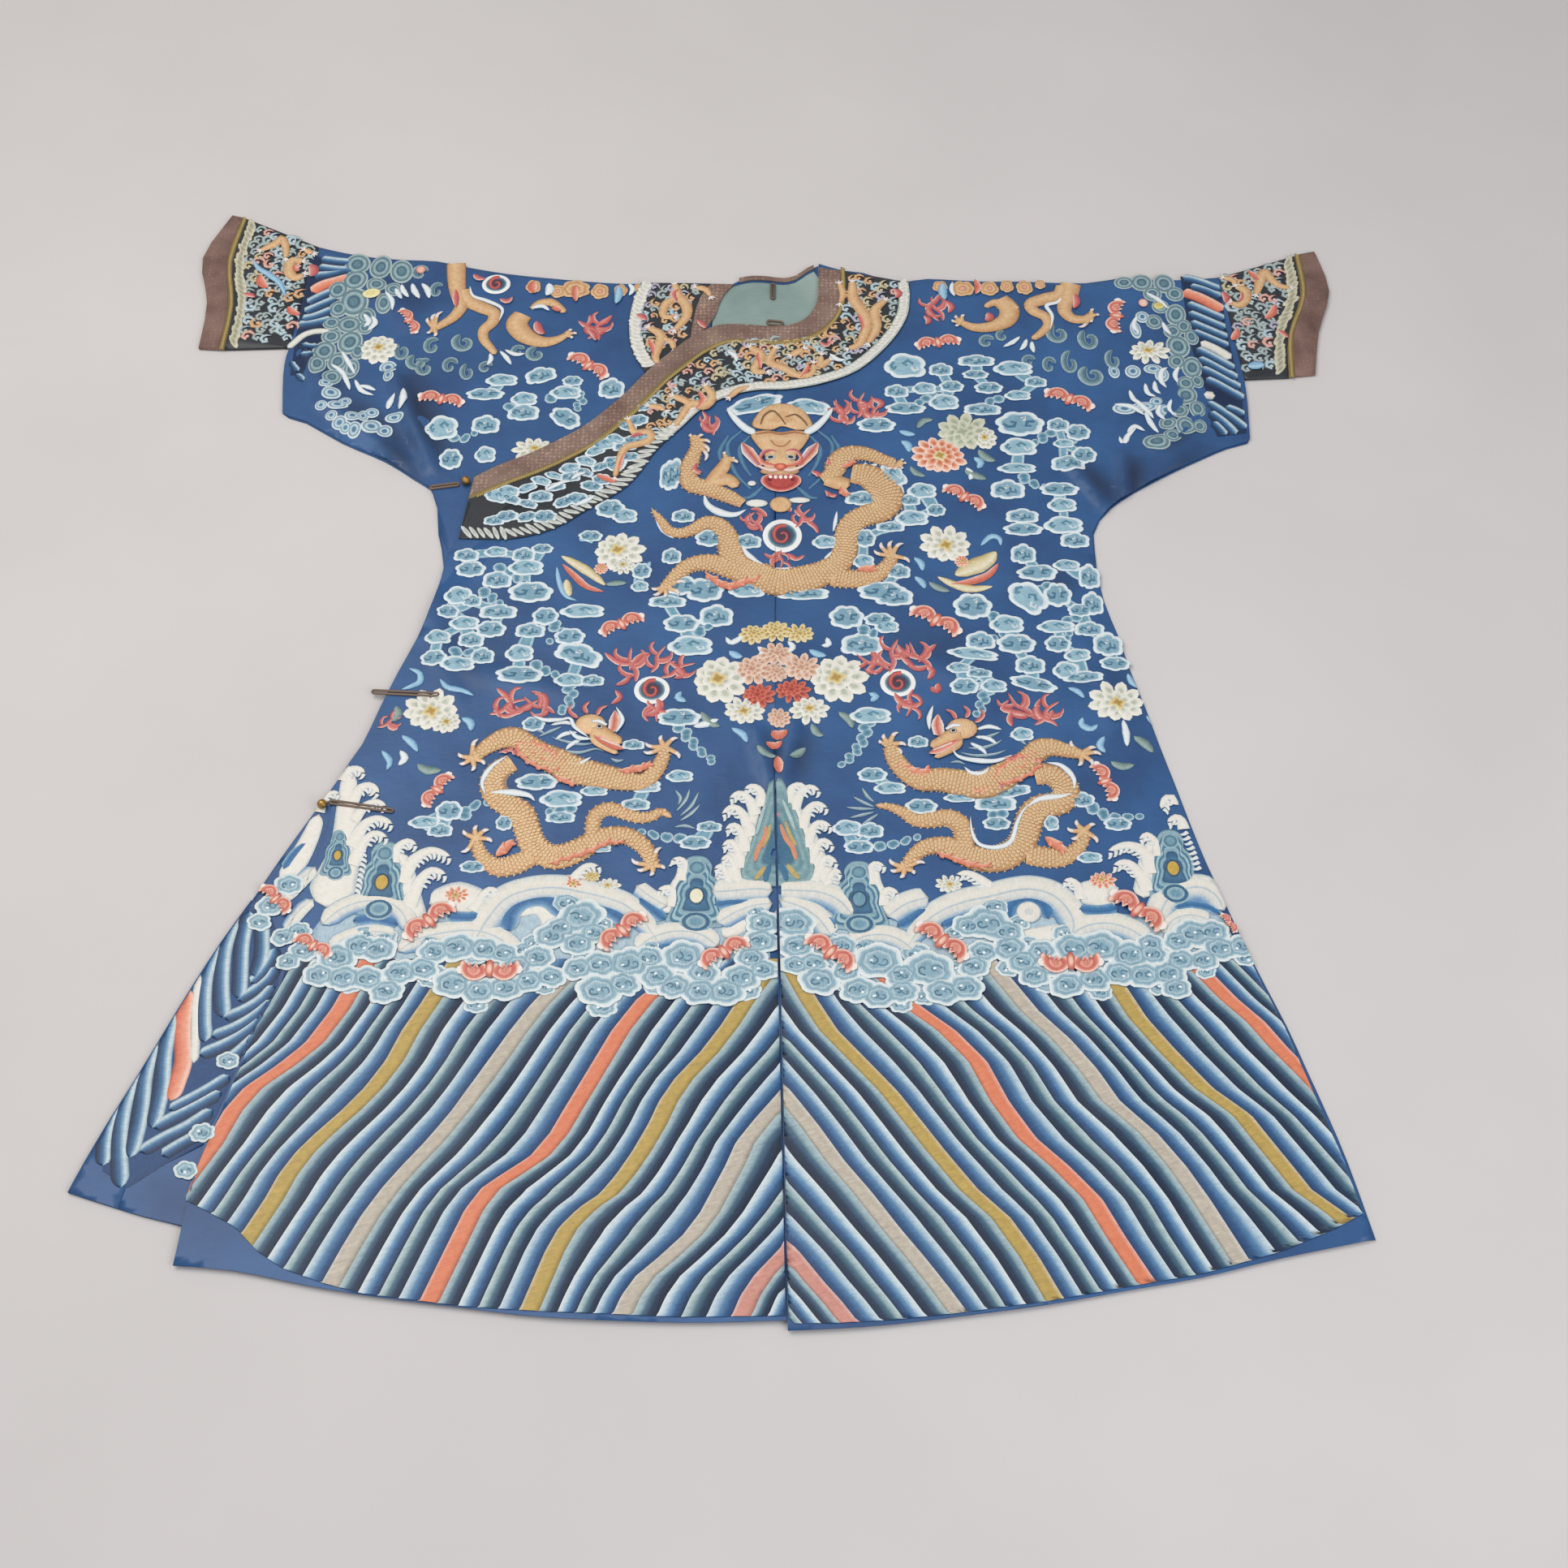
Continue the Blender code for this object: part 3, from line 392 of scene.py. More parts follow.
def shell(node_name, low, finish, slot, cell=7.0, thickness=CLOTH):
    """A fine copy of a cloth node whose layers above the back lie at the given height."""
    bm = bmesh.new()
    bm.from_mesh(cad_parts[node_name].data)
    bmesh.ops.remove_doubles(bm, verts=bm.verts, dist=MERGE)
    for _ in range(CUTS_IN_HALF):
        bm.normal_update()
        upper = [f for f in bm.faces
                 if f.normal.z > LEVEL_FACE and f.calc_center_median().z > UPPER * MM]
        long_edges = {e for f in upper for e in f.edges if e.calc_length() > 1.5 * cell * MM}
        if not long_edges:
            break
        bmesh.ops.subdivide_edges(bm, edges=list(long_edges), cuts=1)
    bmesh.ops.triangulate(bm, faces=[f for f in bm.faces if len(f.verts) > 3])
    bm.normal_update()
    bm.verts.index_update()
    points = np.array([v.co for v in bm.verts]) / MM
    is_top = np.array([any(f.normal.z > LEVEL_FACE for f in v.link_faces) for v in bm.verts])
    is_flat = np.array([any(abs(f.normal.z) > LEVEL_FACE for f in v.link_faces) for v in bm.verts])
    lifted = is_flat & (points[:, 2] > UPPER)
    x, y = points[lifted, 0], points[lifted, 1]
    points[lifted, 2] = low(x, y) + np.where(is_top[lifted], thickness, 0.0)
    for vert, place in zip(bm.verts, points):
        vert.co = place * MM
    mesh = bpy.data.meshes.new(node_name + "_silk")
    bm.to_mesh(mesh)
    bm.free()
    mesh.shade_smooth()
    mesh.set_sharp_from_angle(angle=math.radians(SHARP_EDGE))
    # painted shade: a darkening share in the valley beside each crease, on the top faces only
    shade = mesh.attributes.new("painted_fold_shade", "FLOAT", "POINT")
    shade.data.foreach_set("value", painted_fold_shade(points[:, 0], points[:, 1]) * is_top * lifted)
    mesh.materials.append(finish)
    obj = link(bpy.data.objects.new(node_name + "_silk", mesh))
    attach(obj, "root")
    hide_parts(node_name)
    return obj


robe = {}
for name, low in (("right_half", inner_low), ("left_half", front_low), ("outer_front", front_low)):
    robe[name] = shell(name, low, BLUE_SATIN, "blue_silk")
for name, piece in robe.items():
    print(name, len(piece.data.polygons), "faces")

# %% [markdown]
# ## An embroidery kit
# Satin stitch is a raised, close-laid band of thread, so a motif is made of two things: bands
# that follow a path, with a width and a row of colours across, and patches that fill an
# outline. Both are drawn flat and then laid on the cloth, a little above it.

# %% Lines, and cloth that stitches have to stay on
def smooth(points, step=4.0, closed=False):
    """A Catmull-Rom curve through the points, resampled evenly."""
    p = np.asarray(points, float)
    if closed:
        ends = np.vstack([p[-1:], p, p[:2]])
    else:
        ends = np.vstack([2 * p[:1] - p[1:2], p, 2 * p[-1:] - p[-2:-1]])
    made = []
    t = np.linspace(0.0, 1.0, 9)[:-1, None]
    for i in range(1, len(ends) - 2):
        a, b, c, d = ends[i - 1:i + 3]
        made.append(0.5 * (2 * b + (c - a) * t + (2 * a - 5 * b + 4 * c - d) * t ** 2
                           + (3 * b - a - 3 * c + d) * t ** 3))
    line = np.vstack(made + [ends[-2:-1]])
    length = np.r_[0.0, np.cumsum(np.hypot(*np.diff(line, axis=0).T))]
    count = max(3, int(round(length[-1] / step)) + 1)
    at = np.linspace(0.0, length[-1], count)
    return np.stack([np.interp(at, length, line[:, k]) for k in (0, 1)], 1)


def headings(line):
    """Unit vectors along a line, and those to the left of it."""
    ahead = np.gradient(line, axis=0)
    ahead /= np.maximum(np.hypot(*ahead.T), 1e-6)[:, None]
    return ahead, np.column_stack([-ahead[:, 1], ahead[:, 0]])


def degrees_of(ahead):
    """The direction of each vector in degrees."""
    return np.degrees(np.arctan2(ahead[:, 1], ahead[:, 0]))


def spread(numbers, count):
    """Numbers given along a line, drawn out evenly to count of them."""
    return np.interp(np.linspace(0.0, 1.0, count), np.linspace(0.0, 1.0, np.size(numbers)),
                     np.atleast_1d(numbers))


def tints(colours):
    """Offsets across a band and their linear colours; colours is a hex or (offset, hex) pairs."""
    if isinstance(colours, str):
        colours = ((-1.0, colours), (0.0, colours), (1.0, colours))
    places = np.array([c[0] for c in colours])
    values = np.array([linear(c[1]) for c in colours])
    offsets = places
    if 0.0 not in places and len(places) < 4:
        offsets = np.sort(np.r_[places, 0.0])
    return offsets, np.stack([np.interp(offsets, places, values[:, k]) for k in range(3)], 1)


SIDES = np.array([          # y, then the outline on the wearer's right and left, below the arms
    (-659, -672, 597), (-610, -671, 586), (-578, -660.5, 580.5), (-528, -641.5, 567.5),
    (-478, -620.5, 553), (-428, -600.5, 538.5), (-378, -580.5, 521), (-328, -558.5, 504.5),
    (-278, -533.5, 489.5), (-228, -510.5, 474.5), (-178, -485.5, 462), (-128, -460.5, 450.5),
    (-78, -437, 438.5), (-28, -422, 427.5), (22, -406, 415), (72, -388, 405), (122, -375.5, 392.5),
    (172, -366.5, 387.5), (222, -376.5, 387.5),
], float)


ARM_Y = SIDES[-1, 0]             # above this the sleeves begin and nothing is pulled in
SIDE_MARGIN, SLIT_MARGIN = 1.5, 1.4
NEAR_SLIT = 4.0                  # stitches this near to the slit are moved to its margin


def stay_on_cloth(place, faces):
    """Pulls stitches in from the sides of the body and cuts them where they cross the slit."""
    x, y = place[:, 0], place[:, 1]
    low, high = (np.interp(y, SIDES[:, 0], SIDES[:, k]) for k in (1, 2))
    x = np.where(y < ARM_Y, np.clip(x, low + SIDE_MARGIN, high - SIDE_MARGIN), x)
    away = x - seam_x(y)
    below = y < SLIT_TOP_Y
    margin = seam_x(y) + np.where(away > 0, SLIT_MARGIN, -SLIT_MARGIN)
    x = np.where(below & (np.abs(away) < NEAR_SLIT), margin, x)
    left = away > 0
    crosses = (left[faces].any(1) != left[faces].all(1)) & below[faces].any(1)
    return np.column_stack([x, y]), faces[~crosses]


# %% Bands and patches
PATCH_DEPTH = 6.0                # how far in a patch reaches its middle colour


class Embroidery:
    """Stitches gathered into one mesh and laid on a surface, a height in terms of x and y.

    Patterns have their zero at the slit's top, with x to the wearer's left side."""

    ZERO = (26.5, -128.0)

    def __init__(self, name, surface=robe_top, zero=ZERO):
        self.name, self.surface, self.zero = name, surface, np.array(zero)
        self.points, self.faces, self.colours, self.threads = [], [], [], []
        self.count = 0

    def add(self, flat, lift, faces, colours, threads):
        """flat: n x 2 points in pattern millimetres; lift: their height above the cloth."""
        place, faces = flat + self.zero, np.asarray(faces)
        if self.surface is robe_top:
            place, faces = stay_on_cloth(place, faces)
        z = self.surface(place[:, 0], place[:, 1]) + lift
        self.points.append(np.column_stack([place, z]))
        self.faces.append(faces + self.count)
        self.colours.append(np.broadcast_to(colours, (len(flat), 3)))
        self.threads.append(threads)
        self.count += len(flat)

    def band(self, path, width, colours, lift=0.4, puff=0.5, step=4.0, taper=(0, 0)):
        """A band of stitches along a path. width is a number, or numbers along the path."""
        line = smooth(path, step)
        rows = len(line)
        _, side = headings(line)
        share = np.linspace(0.0, 1.0, rows)
        half = 0.5 * spread(width, rows)
        if taper[0]:
            half = half * np.sqrt(np.clip(share / taper[0], 0.0, 1.0))
        if taper[1]:
            half = half * np.sqrt(np.clip((1.0 - share) / taper[1], 0.0, 1.0))
        offsets, tint = tints(colours)
        reach = half[:, None] * offsets
        flat = line[:, None] + side[:, None] * reach[..., None]
        height = lift + puff * (1.0 - offsets ** 2)
        threads = np.stack([np.repeat(np.arange(rows) * step, len(offsets)), reach.ravel()], 1)
        self.add(flat.reshape(-1, 2), np.tile(height, rows), grid_faces(rows, len(offsets)),
                 np.tile(tint, (rows, 1)), threads)

    def patch(self, loop, edge, middle, lift=0.2, puff=0.2, step=7.0):
        """A filled shape, shaded from its edge to its middle."""
        low, high = loop.min(0), loop.max(0)
        xs, ys = np.meshgrid(np.arange(low[0], high[0], step), np.arange(low[1], high[1], step))
        xs = xs + 0.5 * step * (np.arange(xs.shape[0]) % 2)[:, None]
        grid = np.column_stack([xs.ravel(), ys.ravel()])
        grid = grid[in_loop(grid, loop)]
        grid = grid[loop_distance(grid, loop) > 0.5 * step]
        count = len(loop)
        points = [tuple(p) for p in loop] + [tuple(p) for p in grid]
        edges = [(i, (i + 1) % count) for i in range(count)]
        verts, _, faces, _, _, _ = delaunay_2d_cdt(points, edges, [], 1, 1e-4)
        flat = np.array([(v[0], v[1]) for v in verts])
        share = np.clip(loop_distance(flat, loop) / PATCH_DEPTH, 0.0, 1.0)
        one, two = np.array(linear(edge)), np.array(linear(middle))
        colours = one + (two - one) * (share ** 0.8)[:, None]
        tri = np.array(list(faces))
        u, v = flat[tri[:, 1]] - flat[tri[:, 0]], flat[tri[:, 2]] - flat[tri[:, 0]]
        upside_down = u[:, 0] * v[:, 1] - u[:, 1] * v[:, 0] < 0
        tri[upside_down] = tri[upside_down][:, ::-1]
        self.add(flat, lift + puff * np.sqrt(share), tri, colours, flat)

    def mesh(self):
        """The stitches as one mesh, with their colour and the direction of their thread."""
        points = np.vstack(self.points) * MM
        faces = np.vstack(self.faces)
        mesh = bpy.data.meshes.new(self.name)
        mesh.from_pydata(points.tolist(), [], faces.tolist())
        silk = mesh.color_attributes.new("silk", "FLOAT_COLOR", "POINT")
        colours = np.vstack(self.colours)
        silk.data.foreach_set("color", np.column_stack([colours, np.ones(len(colours))]).ravel())
        layer = mesh.uv_layers.new(name="stitch")
        corner = np.empty(len(mesh.loops), np.int32)
        mesh.loops.foreach_get("vertex_index", corner)
        layer.data.foreach_set("uv", np.vstack(self.threads)[corner].ravel())
        mesh.shade_smooth()
        return mesh

    def build(self, finish):
        """Puts the gathered stitches on the robe."""
        mesh = self.mesh()
        mesh.materials.append(finish)
        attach(link(bpy.data.objects.new(self.name, mesh)), "root")
        print(self.name, len(mesh.polygons), "triangles")


def grid_faces(rows, across):
    """Triangles of a grid of points, row by row."""
    i = np.arange(rows - 1)[:, None] * across
    k = np.arange(across - 1)[None]
    a = (i + k).ravel()
    return np.vstack([np.column_stack([a, a + across, a + across + 1]),
                      np.column_stack([a, a + across + 1, a + 1])])[:, ::-1]


def in_loop(points, loop):
    """Which points lie inside a closed outline."""
    x, y = points[:, :1], points[:, 1:]
    ax, ay = loop[:, 0], loop[:, 1]
    bx, by = np.roll(ax, -1), np.roll(ay, -1)
    rise = np.where(by == ay, 1e-9, by - ay)
    crosses = ((ay > y) != (by > y)) & (x < (bx - ax) * (y - ay) / rise + ax)
    return crosses.sum(1) % 2 == 1


def loop_distance(points, loop):
    """How far each point is from a closed outline."""
    a, b = loop, np.roll(loop, -1, axis=0)
    d = b - a
    share = ((points[:, None] - a) * d).sum(2) / np.maximum((d * d).sum(1), 1e-9)
    near = a + np.clip(share, 0, 1)[..., None] * d
    return np.sqrt(((points[:, None] - near) ** 2).sum(2)).min(1)

# %% Nested outlines and small shapes
def pairs(numbers):
    """A row of x and y numbers as points."""
    return np.reshape(np.array(numbers, float), (-1, 2))


def onion(work, outline, centre, layers, lift=0.45, puff=0.8, angle=0.0):
    """A shape built as nested copies of its outline; layers are (scale, hex) from the edge in."""
    loop, centre = np.asarray(outline, float), np.asarray(centre, float)
    count = len(loop)
    scales = [scale for scale, _ in layers]
    flat = np.vstack([centre + (loop - centre) * scale for scale in scales] + [centre[None]])
    shades = np.array([linear(shade) for _, shade in layers])
    shades = np.vstack([np.repeat(shades, count, axis=0), shades[-1:]])
    around = np.arange(count)
    nxt = (around + 1) % count
    faces = []
    for k in range(len(layers) - 1):
        a, b = k * count, (k + 1) * count
        faces += [np.column_stack([a + around, a + nxt, b + nxt]),
                  np.column_stack([a + around, b + nxt, b + around])]
    last = (len(layers) - 1) * count
    faces.append(np.column_stack([last + around, last + nxt, np.full(count, len(flat) - 1)]))
    faces = np.vstack(faces)
    p, q, r = flat[faces[0]]
    if (q[0] - p[0]) * (r[1] - p[1]) - (q[1] - p[1]) * (r[0] - p[0]) < 0:
        faces = faces[:, ::-1]
    height = lift + puff * np.sqrt(np.clip(1.0 - np.r_[np.repeat(scales, count), 0.0] ** 2, 0.0, 1.0))
    turn = math.radians(angle)
    threads = np.column_stack([flat @ (math.cos(turn), math.sin(turn)),
                               flat @ (-math.sin(turn), math.cos(turn))])
    work.add(flat, height, faces, shades, threads)


def strokes(work, table, shares, lift, puff, taper=(0.2, 0.2), step=3.0):
    """Lays a table of bands: silk, width and x y pairs; shares are of the width, along a band."""
    for silk, width, numbers in table:
        work.band(pairs(numbers), np.array(shares) * width, silk, lift=lift, puff=puff, step=step,
                  taper=taper)


def turned(points, degrees=0.0, scale=1.0, at=(0.0, 0.0), flip=False):
    """Points flipped left to right, scaled, turned and moved."""
    p = np.asarray(points, float).reshape(-1, 2) * scale
    if flip:
        p = p * (-1.0, 1.0)
    c, s = math.cos(math.radians(degrees)), math.sin(math.radians(degrees))
    return p @ np.array([[c, s], [-s, c]]) + at


def oval(wide, high, count):
    """An oval outline of count points round the origin."""
    t = np.linspace(0, 2 * math.pi, count, endpoint=False)
    return np.column_stack([np.cos(t) * wide / 2, np.sin(t) * high / 2])


def bead(work, x, y, wide, high, count, layers, lift, puff=0.8, lean=0.0):
    """An oval of floss in its place."""
    onion(work, turned(oval(wide, high, count), lean, 1.0, (x, y)), (x, y), layers, lift=lift, puff=puff)


def spiral(radius, turns, count, start=0.0):
    """A path that winds in to a small ring round the origin."""
    t = np.linspace(0.0, 1.0, count)
    angle = start + t * turns * 2 * math.pi
    r = radius * (1.0 - 0.85 * t)
    return np.column_stack([np.cos(angle) * r, np.sin(angle) * r])


def offset(path, away):
    """A smooth path moved sideways; a positive distance is to the left as one goes along."""
    line = smooth(path)
    return line + headings(line)[1] * away


def cloud_outline(wide, high, bumps, dent, lean=0.0, count=30):
    """An outline with rounded bumps on its top and a flatter foot."""
    t = np.linspace(0.0, 2 * math.pi, count, endpoint=False)
    swell = 0.82 + 0.18 * np.abs(np.sin(0.5 * bumps * t + lean)) ** 0.6
    x = 0.5 * wide * np.cos(t) * swell
    y = 0.5 * high * np.sin(t) * swell
    y = np.where(y < 0, y * (1.0 - dent * np.cos(0.5 * math.pi * np.clip(x / (0.5 * wide), -1, 1))), y)
    return np.column_stack([x, y])

# %% [markdown]
# ## Motifs that repeat
# Petals, lobes, scales, teeth of foam and twists of cord come again and again at different
# sizes. Geometry Nodes sets one small motif on every point of a table, turned and stretched
# by the point's own numbers, and the stitches are then laid on the cloth.

# %% Motifs set on points by Geometry Nodes
def motif(name, draw, *details):
    """A small flat mesh round its own zero, drawn by draw(work, ...), for the nodes to repeat."""
    work = Embroidery(name, level(0.0), (0.0, 0.0))
    draw(work, *details)
    return bpy.data.objects.new(name, work.mesh())


def scatter_tree():
    """Sets a motif on each point, turned and stretched by the point's own numbers."""
    tree = bpy.data.node_groups.new("set_motifs", "GeometryNodeTree")
    sockets = {}
    for name, kind in (("Points", "NodeSocketGeometry"), ("Motif", "NodeSocketObject"),
                       ("Size", "NodeSocketFloat"), ("Silk", "NodeSocketMaterial")):
        sockets[name] = tree.interface.new_socket(name, in_out="INPUT", socket_type=kind).identifier
    tree.interface.new_socket("Stitches", in_out="OUTPUT", socket_type="NodeSocketGeometry")
    given = node(tree, "NodeGroupInput").outputs
    turn = node(tree, "GeometryNodeInputNamedAttribute", {"Name": "turn"}, data_type="FLOAT_VECTOR")
    stretch = node(tree, "GeometryNodeInputNamedAttribute", {"Name": "stretch"},
                   data_type="FLOAT_VECTOR")
    sized = node(tree, "ShaderNodeVectorMath", {0: stretch.outputs[0], "Scale": given["Size"]},
                 operation="SCALE")
    picked = node(tree, "GeometryNodeObjectInfo", {"Object": given["Motif"]})
    placed = node(tree, "GeometryNodeInstanceOnPoints",
                  {"Points": given["Points"], "Instance": picked.outputs["Geometry"],
                   "Rotation": turn.outputs[0], "Scale": sized.outputs["Vector"]})
    real = node(tree, "GeometryNodeRealizeInstances", {"Geometry": placed.outputs["Instances"]})
    painted = node(tree, "GeometryNodeSetMaterial", {"Geometry": real.outputs["Geometry"],
                                                     "Material": given["Silk"]})
    node(tree, "NodeGroupOutput", {"Stitches": painted.outputs["Geometry"]})
    return tree, sockets


SCATTER, SOCKETS = scatter_tree()


def scatter(name, rows, shape, nominal, finish, lift=0.6, surface=robe_top, size=1.0, step=0.0):
    """rows: x, y, width, height, turn in degrees, in pattern millimetres, laid in their order."""
    rows = np.array(rows, float)
    mesh = bpy.data.meshes.new(name)
    height = lift + step * np.arange(len(rows))
    mesh.from_pydata((np.column_stack([rows[:, :2] + Embroidery.ZERO, height]) * MM).tolist(), [], [])
    stretch = np.column_stack([rows[:, 2:4] / nominal, np.ones(len(rows))])
    turn = np.column_stack([np.zeros((len(rows), 2)), np.radians(rows[:, 4])])
    for label, values in (("stretch", stretch), ("turn", turn)):
        layer = mesh.attributes.new(label, "FLOAT_VECTOR", "POINT")
        layer.data.foreach_set("vector", values.ravel())
    obj = link(bpy.data.objects.new(name, mesh))
    made = obj.modifiers.new("set_motifs", "NODES")
    made.node_group = SCATTER
    made[SOCKETS["Motif"]] = shape
    made[SOCKETS["Size"]] = size
    made[SOCKETS["Silk"]] = finish
    done = bpy.data.meshes.new_from_object(obj.evaluated_get(bpy.context.evaluated_depsgraph_get()))
    obj.modifiers.remove(made)
    obj.data = done
    done.name = name
    points = np.empty(len(done.vertices) * 3)
    done.vertices.foreach_get("co", points)
    points = points.reshape(-1, 3)
    points[:, 2] += surface(points[:, 0] / MM, points[:, 1] / MM) * MM
    done.vertices.foreach_set("co", points.ravel())
    done.update()
    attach(obj, "root")
    print(name, len(rows), "motifs,", len(done.polygons), "faces")


# %% [markdown]
# ## Standing water: the striped hem
# The lowest third of such a robe shows deep water as slanting stripes of many colours. Each
# broad stripe is a guide line down the cloth. Four narrow ribs lie between two guides, each
# shaded from a pale upper edge to navy, as real floss is. Rows of points run across from
# guide to guide, so the ribs swell and narrow together as the guides sway.

# %% Hem stripes
SALMON, KHAKI, PEARL = "#D9805F", "#B59B55", "#B9B1A2"
RIBS = (
    ((0.0, "#A9BCC0"), (0.22, "#8FA8AE"), (0.40, "#44657C"), (0.66, "#1C344E"), (1.0, "#0F1B2F")),
    ((0.0, "#D6E0E2"), (0.22, "#B6CAD4"), (0.42, "#648FB2"), (0.66, "#2C5682"), (1.0, "#13243F")),
    ((0.0, "#BCCDCD"), (0.24, "#93ABAE"), (0.42, "#486D80"), (0.70, "#1B3650"), (1.0, "#10203A")),
    ((0.0, "#CAD7DC"), (0.24, "#A2BCCB"), (0.46, "#5580A6"), (0.74, "#2A527E"), (1.0, "#1B385E")),
)
NAVY, ROSE, SKY = "#1F3C63", "#C98D80", "#6F95B8"
# Guide lines from the top of the hem down: colour, then x y pairs in pattern millimetres
LEFT_GUIDES = (
    (NAVY, (-525, -250, -537, -280, -560, -320, -585, -345, -615, -370, -632, -395, -647, -432,
            -685, -500)),
    (SALMON, (-440, -250, -452, -280, -475, -320, -500, -345, -530, -370, -547, -395, -562, -432,
              -600, -500)),
    (KHAKI, (-350, -250, -362, -275, -378, -305, -392, -340, -410, -370, -430, -395, -455, -422,
             -470, -440, -485, -465, -495, -490, -510, -520, -530, -560)),
    (PEARL, (-225, -245, -250, -277, -270, -308, -285, -335, -300, -362, -320, -395, -345, -430,
             -365, -455, -382, -478, -400, -508, -415, -540, -432, -580, -445, -620)),
    (SALMON, (-118, -250, -140, -268, -165, -305, -180, -335, -195, -365, -210, -395, -222, -420,
              -240, -445, -262, -462, -285, -480, -300, -502, -313, -535, -335, -592, -345, -620)),
    (KHAKI, (-25, -250, -38, -270, -55, -300, -75, -330, -100, -360, -115, -385, -125, -410, -140, -440,
             -155, -465, -170, -485, -190, -500, -208, -520, -220, -545, -240, -602)),
    (PEARL, (100, -250, 40, -330, 0, -380, -20, -405, -38, -430, -48, -455, -60, -480, -72, -505,
             -88, -528, -110, -550, -132, -570, -145, -590, -155, -615)),
    (ROSE, (200, -300, 100, -430, 0, -548, -18, -568, -32, -590, -42, -615)),
    (SKY, (300, -300, 200, -430, 90, -548, 70, -568, 50, -590, 40, -615)),
)
RIGHT_GUIDES = (
    (SKY, (-300, -300, -200, -430, -90, -548, -70, -568, -50, -590, -30, -615)),
    (ROSE, (-200, -300, -100, -430, 5, -545, 28, -575, 45, -595, 62, -618)),
    (PEARL, (-100, -250, -40, -325, 2, -380, 25, -412, 50, -450, 75, -482, 102, -520, 125, -550,
             148, -582, 170, -615)),
    (KHAKI, (8, -235, 25, -270, 45, -305, 75, -340, 105, -375, 128, -408, 150, -440, 180, -480,
             210, -510, 235, -550, 255, -590, 265, -615)),
    (SALMON, (105, -245, 130, -277, 165, -305, 195, -340, 215, -385, 240, -425, 270, -455,
             300, -490, 320, -530, 345, -575, 360, -600)),
    (PEARL, (225, -245, 250, -282, 280, -315, 305, -350, 325, -385, 360, -420, 385, -455,
             405, -490, 430, -540, 450, -580)),
    (KHAKI, (335, -240, 360, -290, 385, -325, 420, -370, 455, -400, 480, -440, 505, -480,
             535, -505, 560, -530)),
    (SALMON, (430, -235, 455, -268, 480, -295, 500, -325, 520, -350, 550, -390, 580, -430)),
    (NAVY, (518, -235, 543, -268, 568, -295, 588, -325, 608, -350, 638, -390, 668, -430)),
)
STRIPE_TOP, STRIPE_FOOT, ROW = -222.0, -622.0, 6.0
BROAD = 19.0                     # width of a broad stripe
BROAD_COLUMNS = (-1.0, -0.62, 0.45, 1.0)    # where its shades lie across it, in half widths
BROAD_LIFTS = (0.25, 0.8, 0.9, 0.25)
RIB_LIFT = 0.3


def guide_x(numbers, y):
    """x of a guide line at heights y, run on straight past its ends."""
    xs, ys = pairs(numbers)[::-1].T
    low = (xs[1] - xs[0]) / (ys[1] - ys[0])
    high = (xs[-1] - xs[-2]) / (ys[-1] - ys[-2])
    made = np.where(y < ys[0], xs[0] + low * (y - ys[0]), np.interp(y, ys, xs))
    return np.where(y > ys[-1], xs[-1] + high * (y - ys[-1]), made)


def water_stripes(work, guides, first, last, foot, mirrored=False):
    """Fills between guides. first and last give x limits at heights y; foot gives y limits at x."""
    y = np.arange(STRIPE_TOP, STRIPE_FOOT, -ROW)
    lines = [guide_x(numbers, y) for _, numbers in guides]
    for n, (colour, _) in enumerate(guides):
        base = np.array(linear(colour))
        shades = (base * 0.72 + 0.26, base, base, base * 0.55)
        columns = [(lines[n] + BROAD / 2 * s, c, h) for s, c, h in
                   zip(BROAD_COLUMNS, shades[::-1] if mirrored else shades, BROAD_LIFTS)]
        lay_columns(work, columns, y, first, last, foot)
        if n + 1 == len(guides):
            continue
        start, width = lines[n] + BROAD / 2, lines[n + 1] - lines[n] - BROAD
        for k, rib in enumerate(RIBS[::-1] if mirrored else RIBS):
            columns = []
            for s, c in rib:
                at = (k + 1 - s if mirrored else k + s) / len(RIBS)
                tall = 0.25 + 0.75 * math.sin(math.pi * min(1.0, 0.08 + 0.92 * s))
                columns.append((start + width * at, linear(c), tall))
            lay_columns(work, columns[::-1] if mirrored else columns, y, first, last, foot)


def lay_columns(work, columns, y, first, last, foot):
    """Lays one strip of stitches whose columns are x lines at the heights y."""
    rows, across = len(y), len(columns)
    x = np.stack([c[0] for c in columns], 1)
    yy = np.tile(y[:, None], (1, across))
    inside = (x > first(yy)) & (x < last(yy)) & (yy > foot(x))
    x = np.clip(x, first(yy), last(yy))
    yy = np.maximum(yy, foot(x))
    faces = grid_faces(rows, across)
    keep = inside.ravel()[faces].any(1)
    if not keep.any():
        return
    flat = np.column_stack([x.ravel(), yy.ravel()])
    colours = np.tile(np.array([c[1] for c in columns]), (rows, 1))
    lift = RIB_LIFT + np.tile([c[2] for c in columns], rows)
    down = np.repeat(np.arange(rows) * ROW * 1.3, across)
    threads = np.column_stack([down + 0.4 * flat[:, 0], np.tile(np.arange(across) * 4.0, rows)])
    work.add(flat, lift, faces[keep], colours, threads)


def edge_line(*points):
    """An edge as a function of one axis, straight between the given (at, value) points."""
    at, value = np.array(points, float).T
    return lambda where: np.interp(where, at, value)


def beside_slit(gap):
    """The slit's line in pattern millimetres, moved sideways."""
    zero_x, zero_y = Embroidery.ZERO
    return lambda y: seam_x(y + zero_y) - zero_x + gap


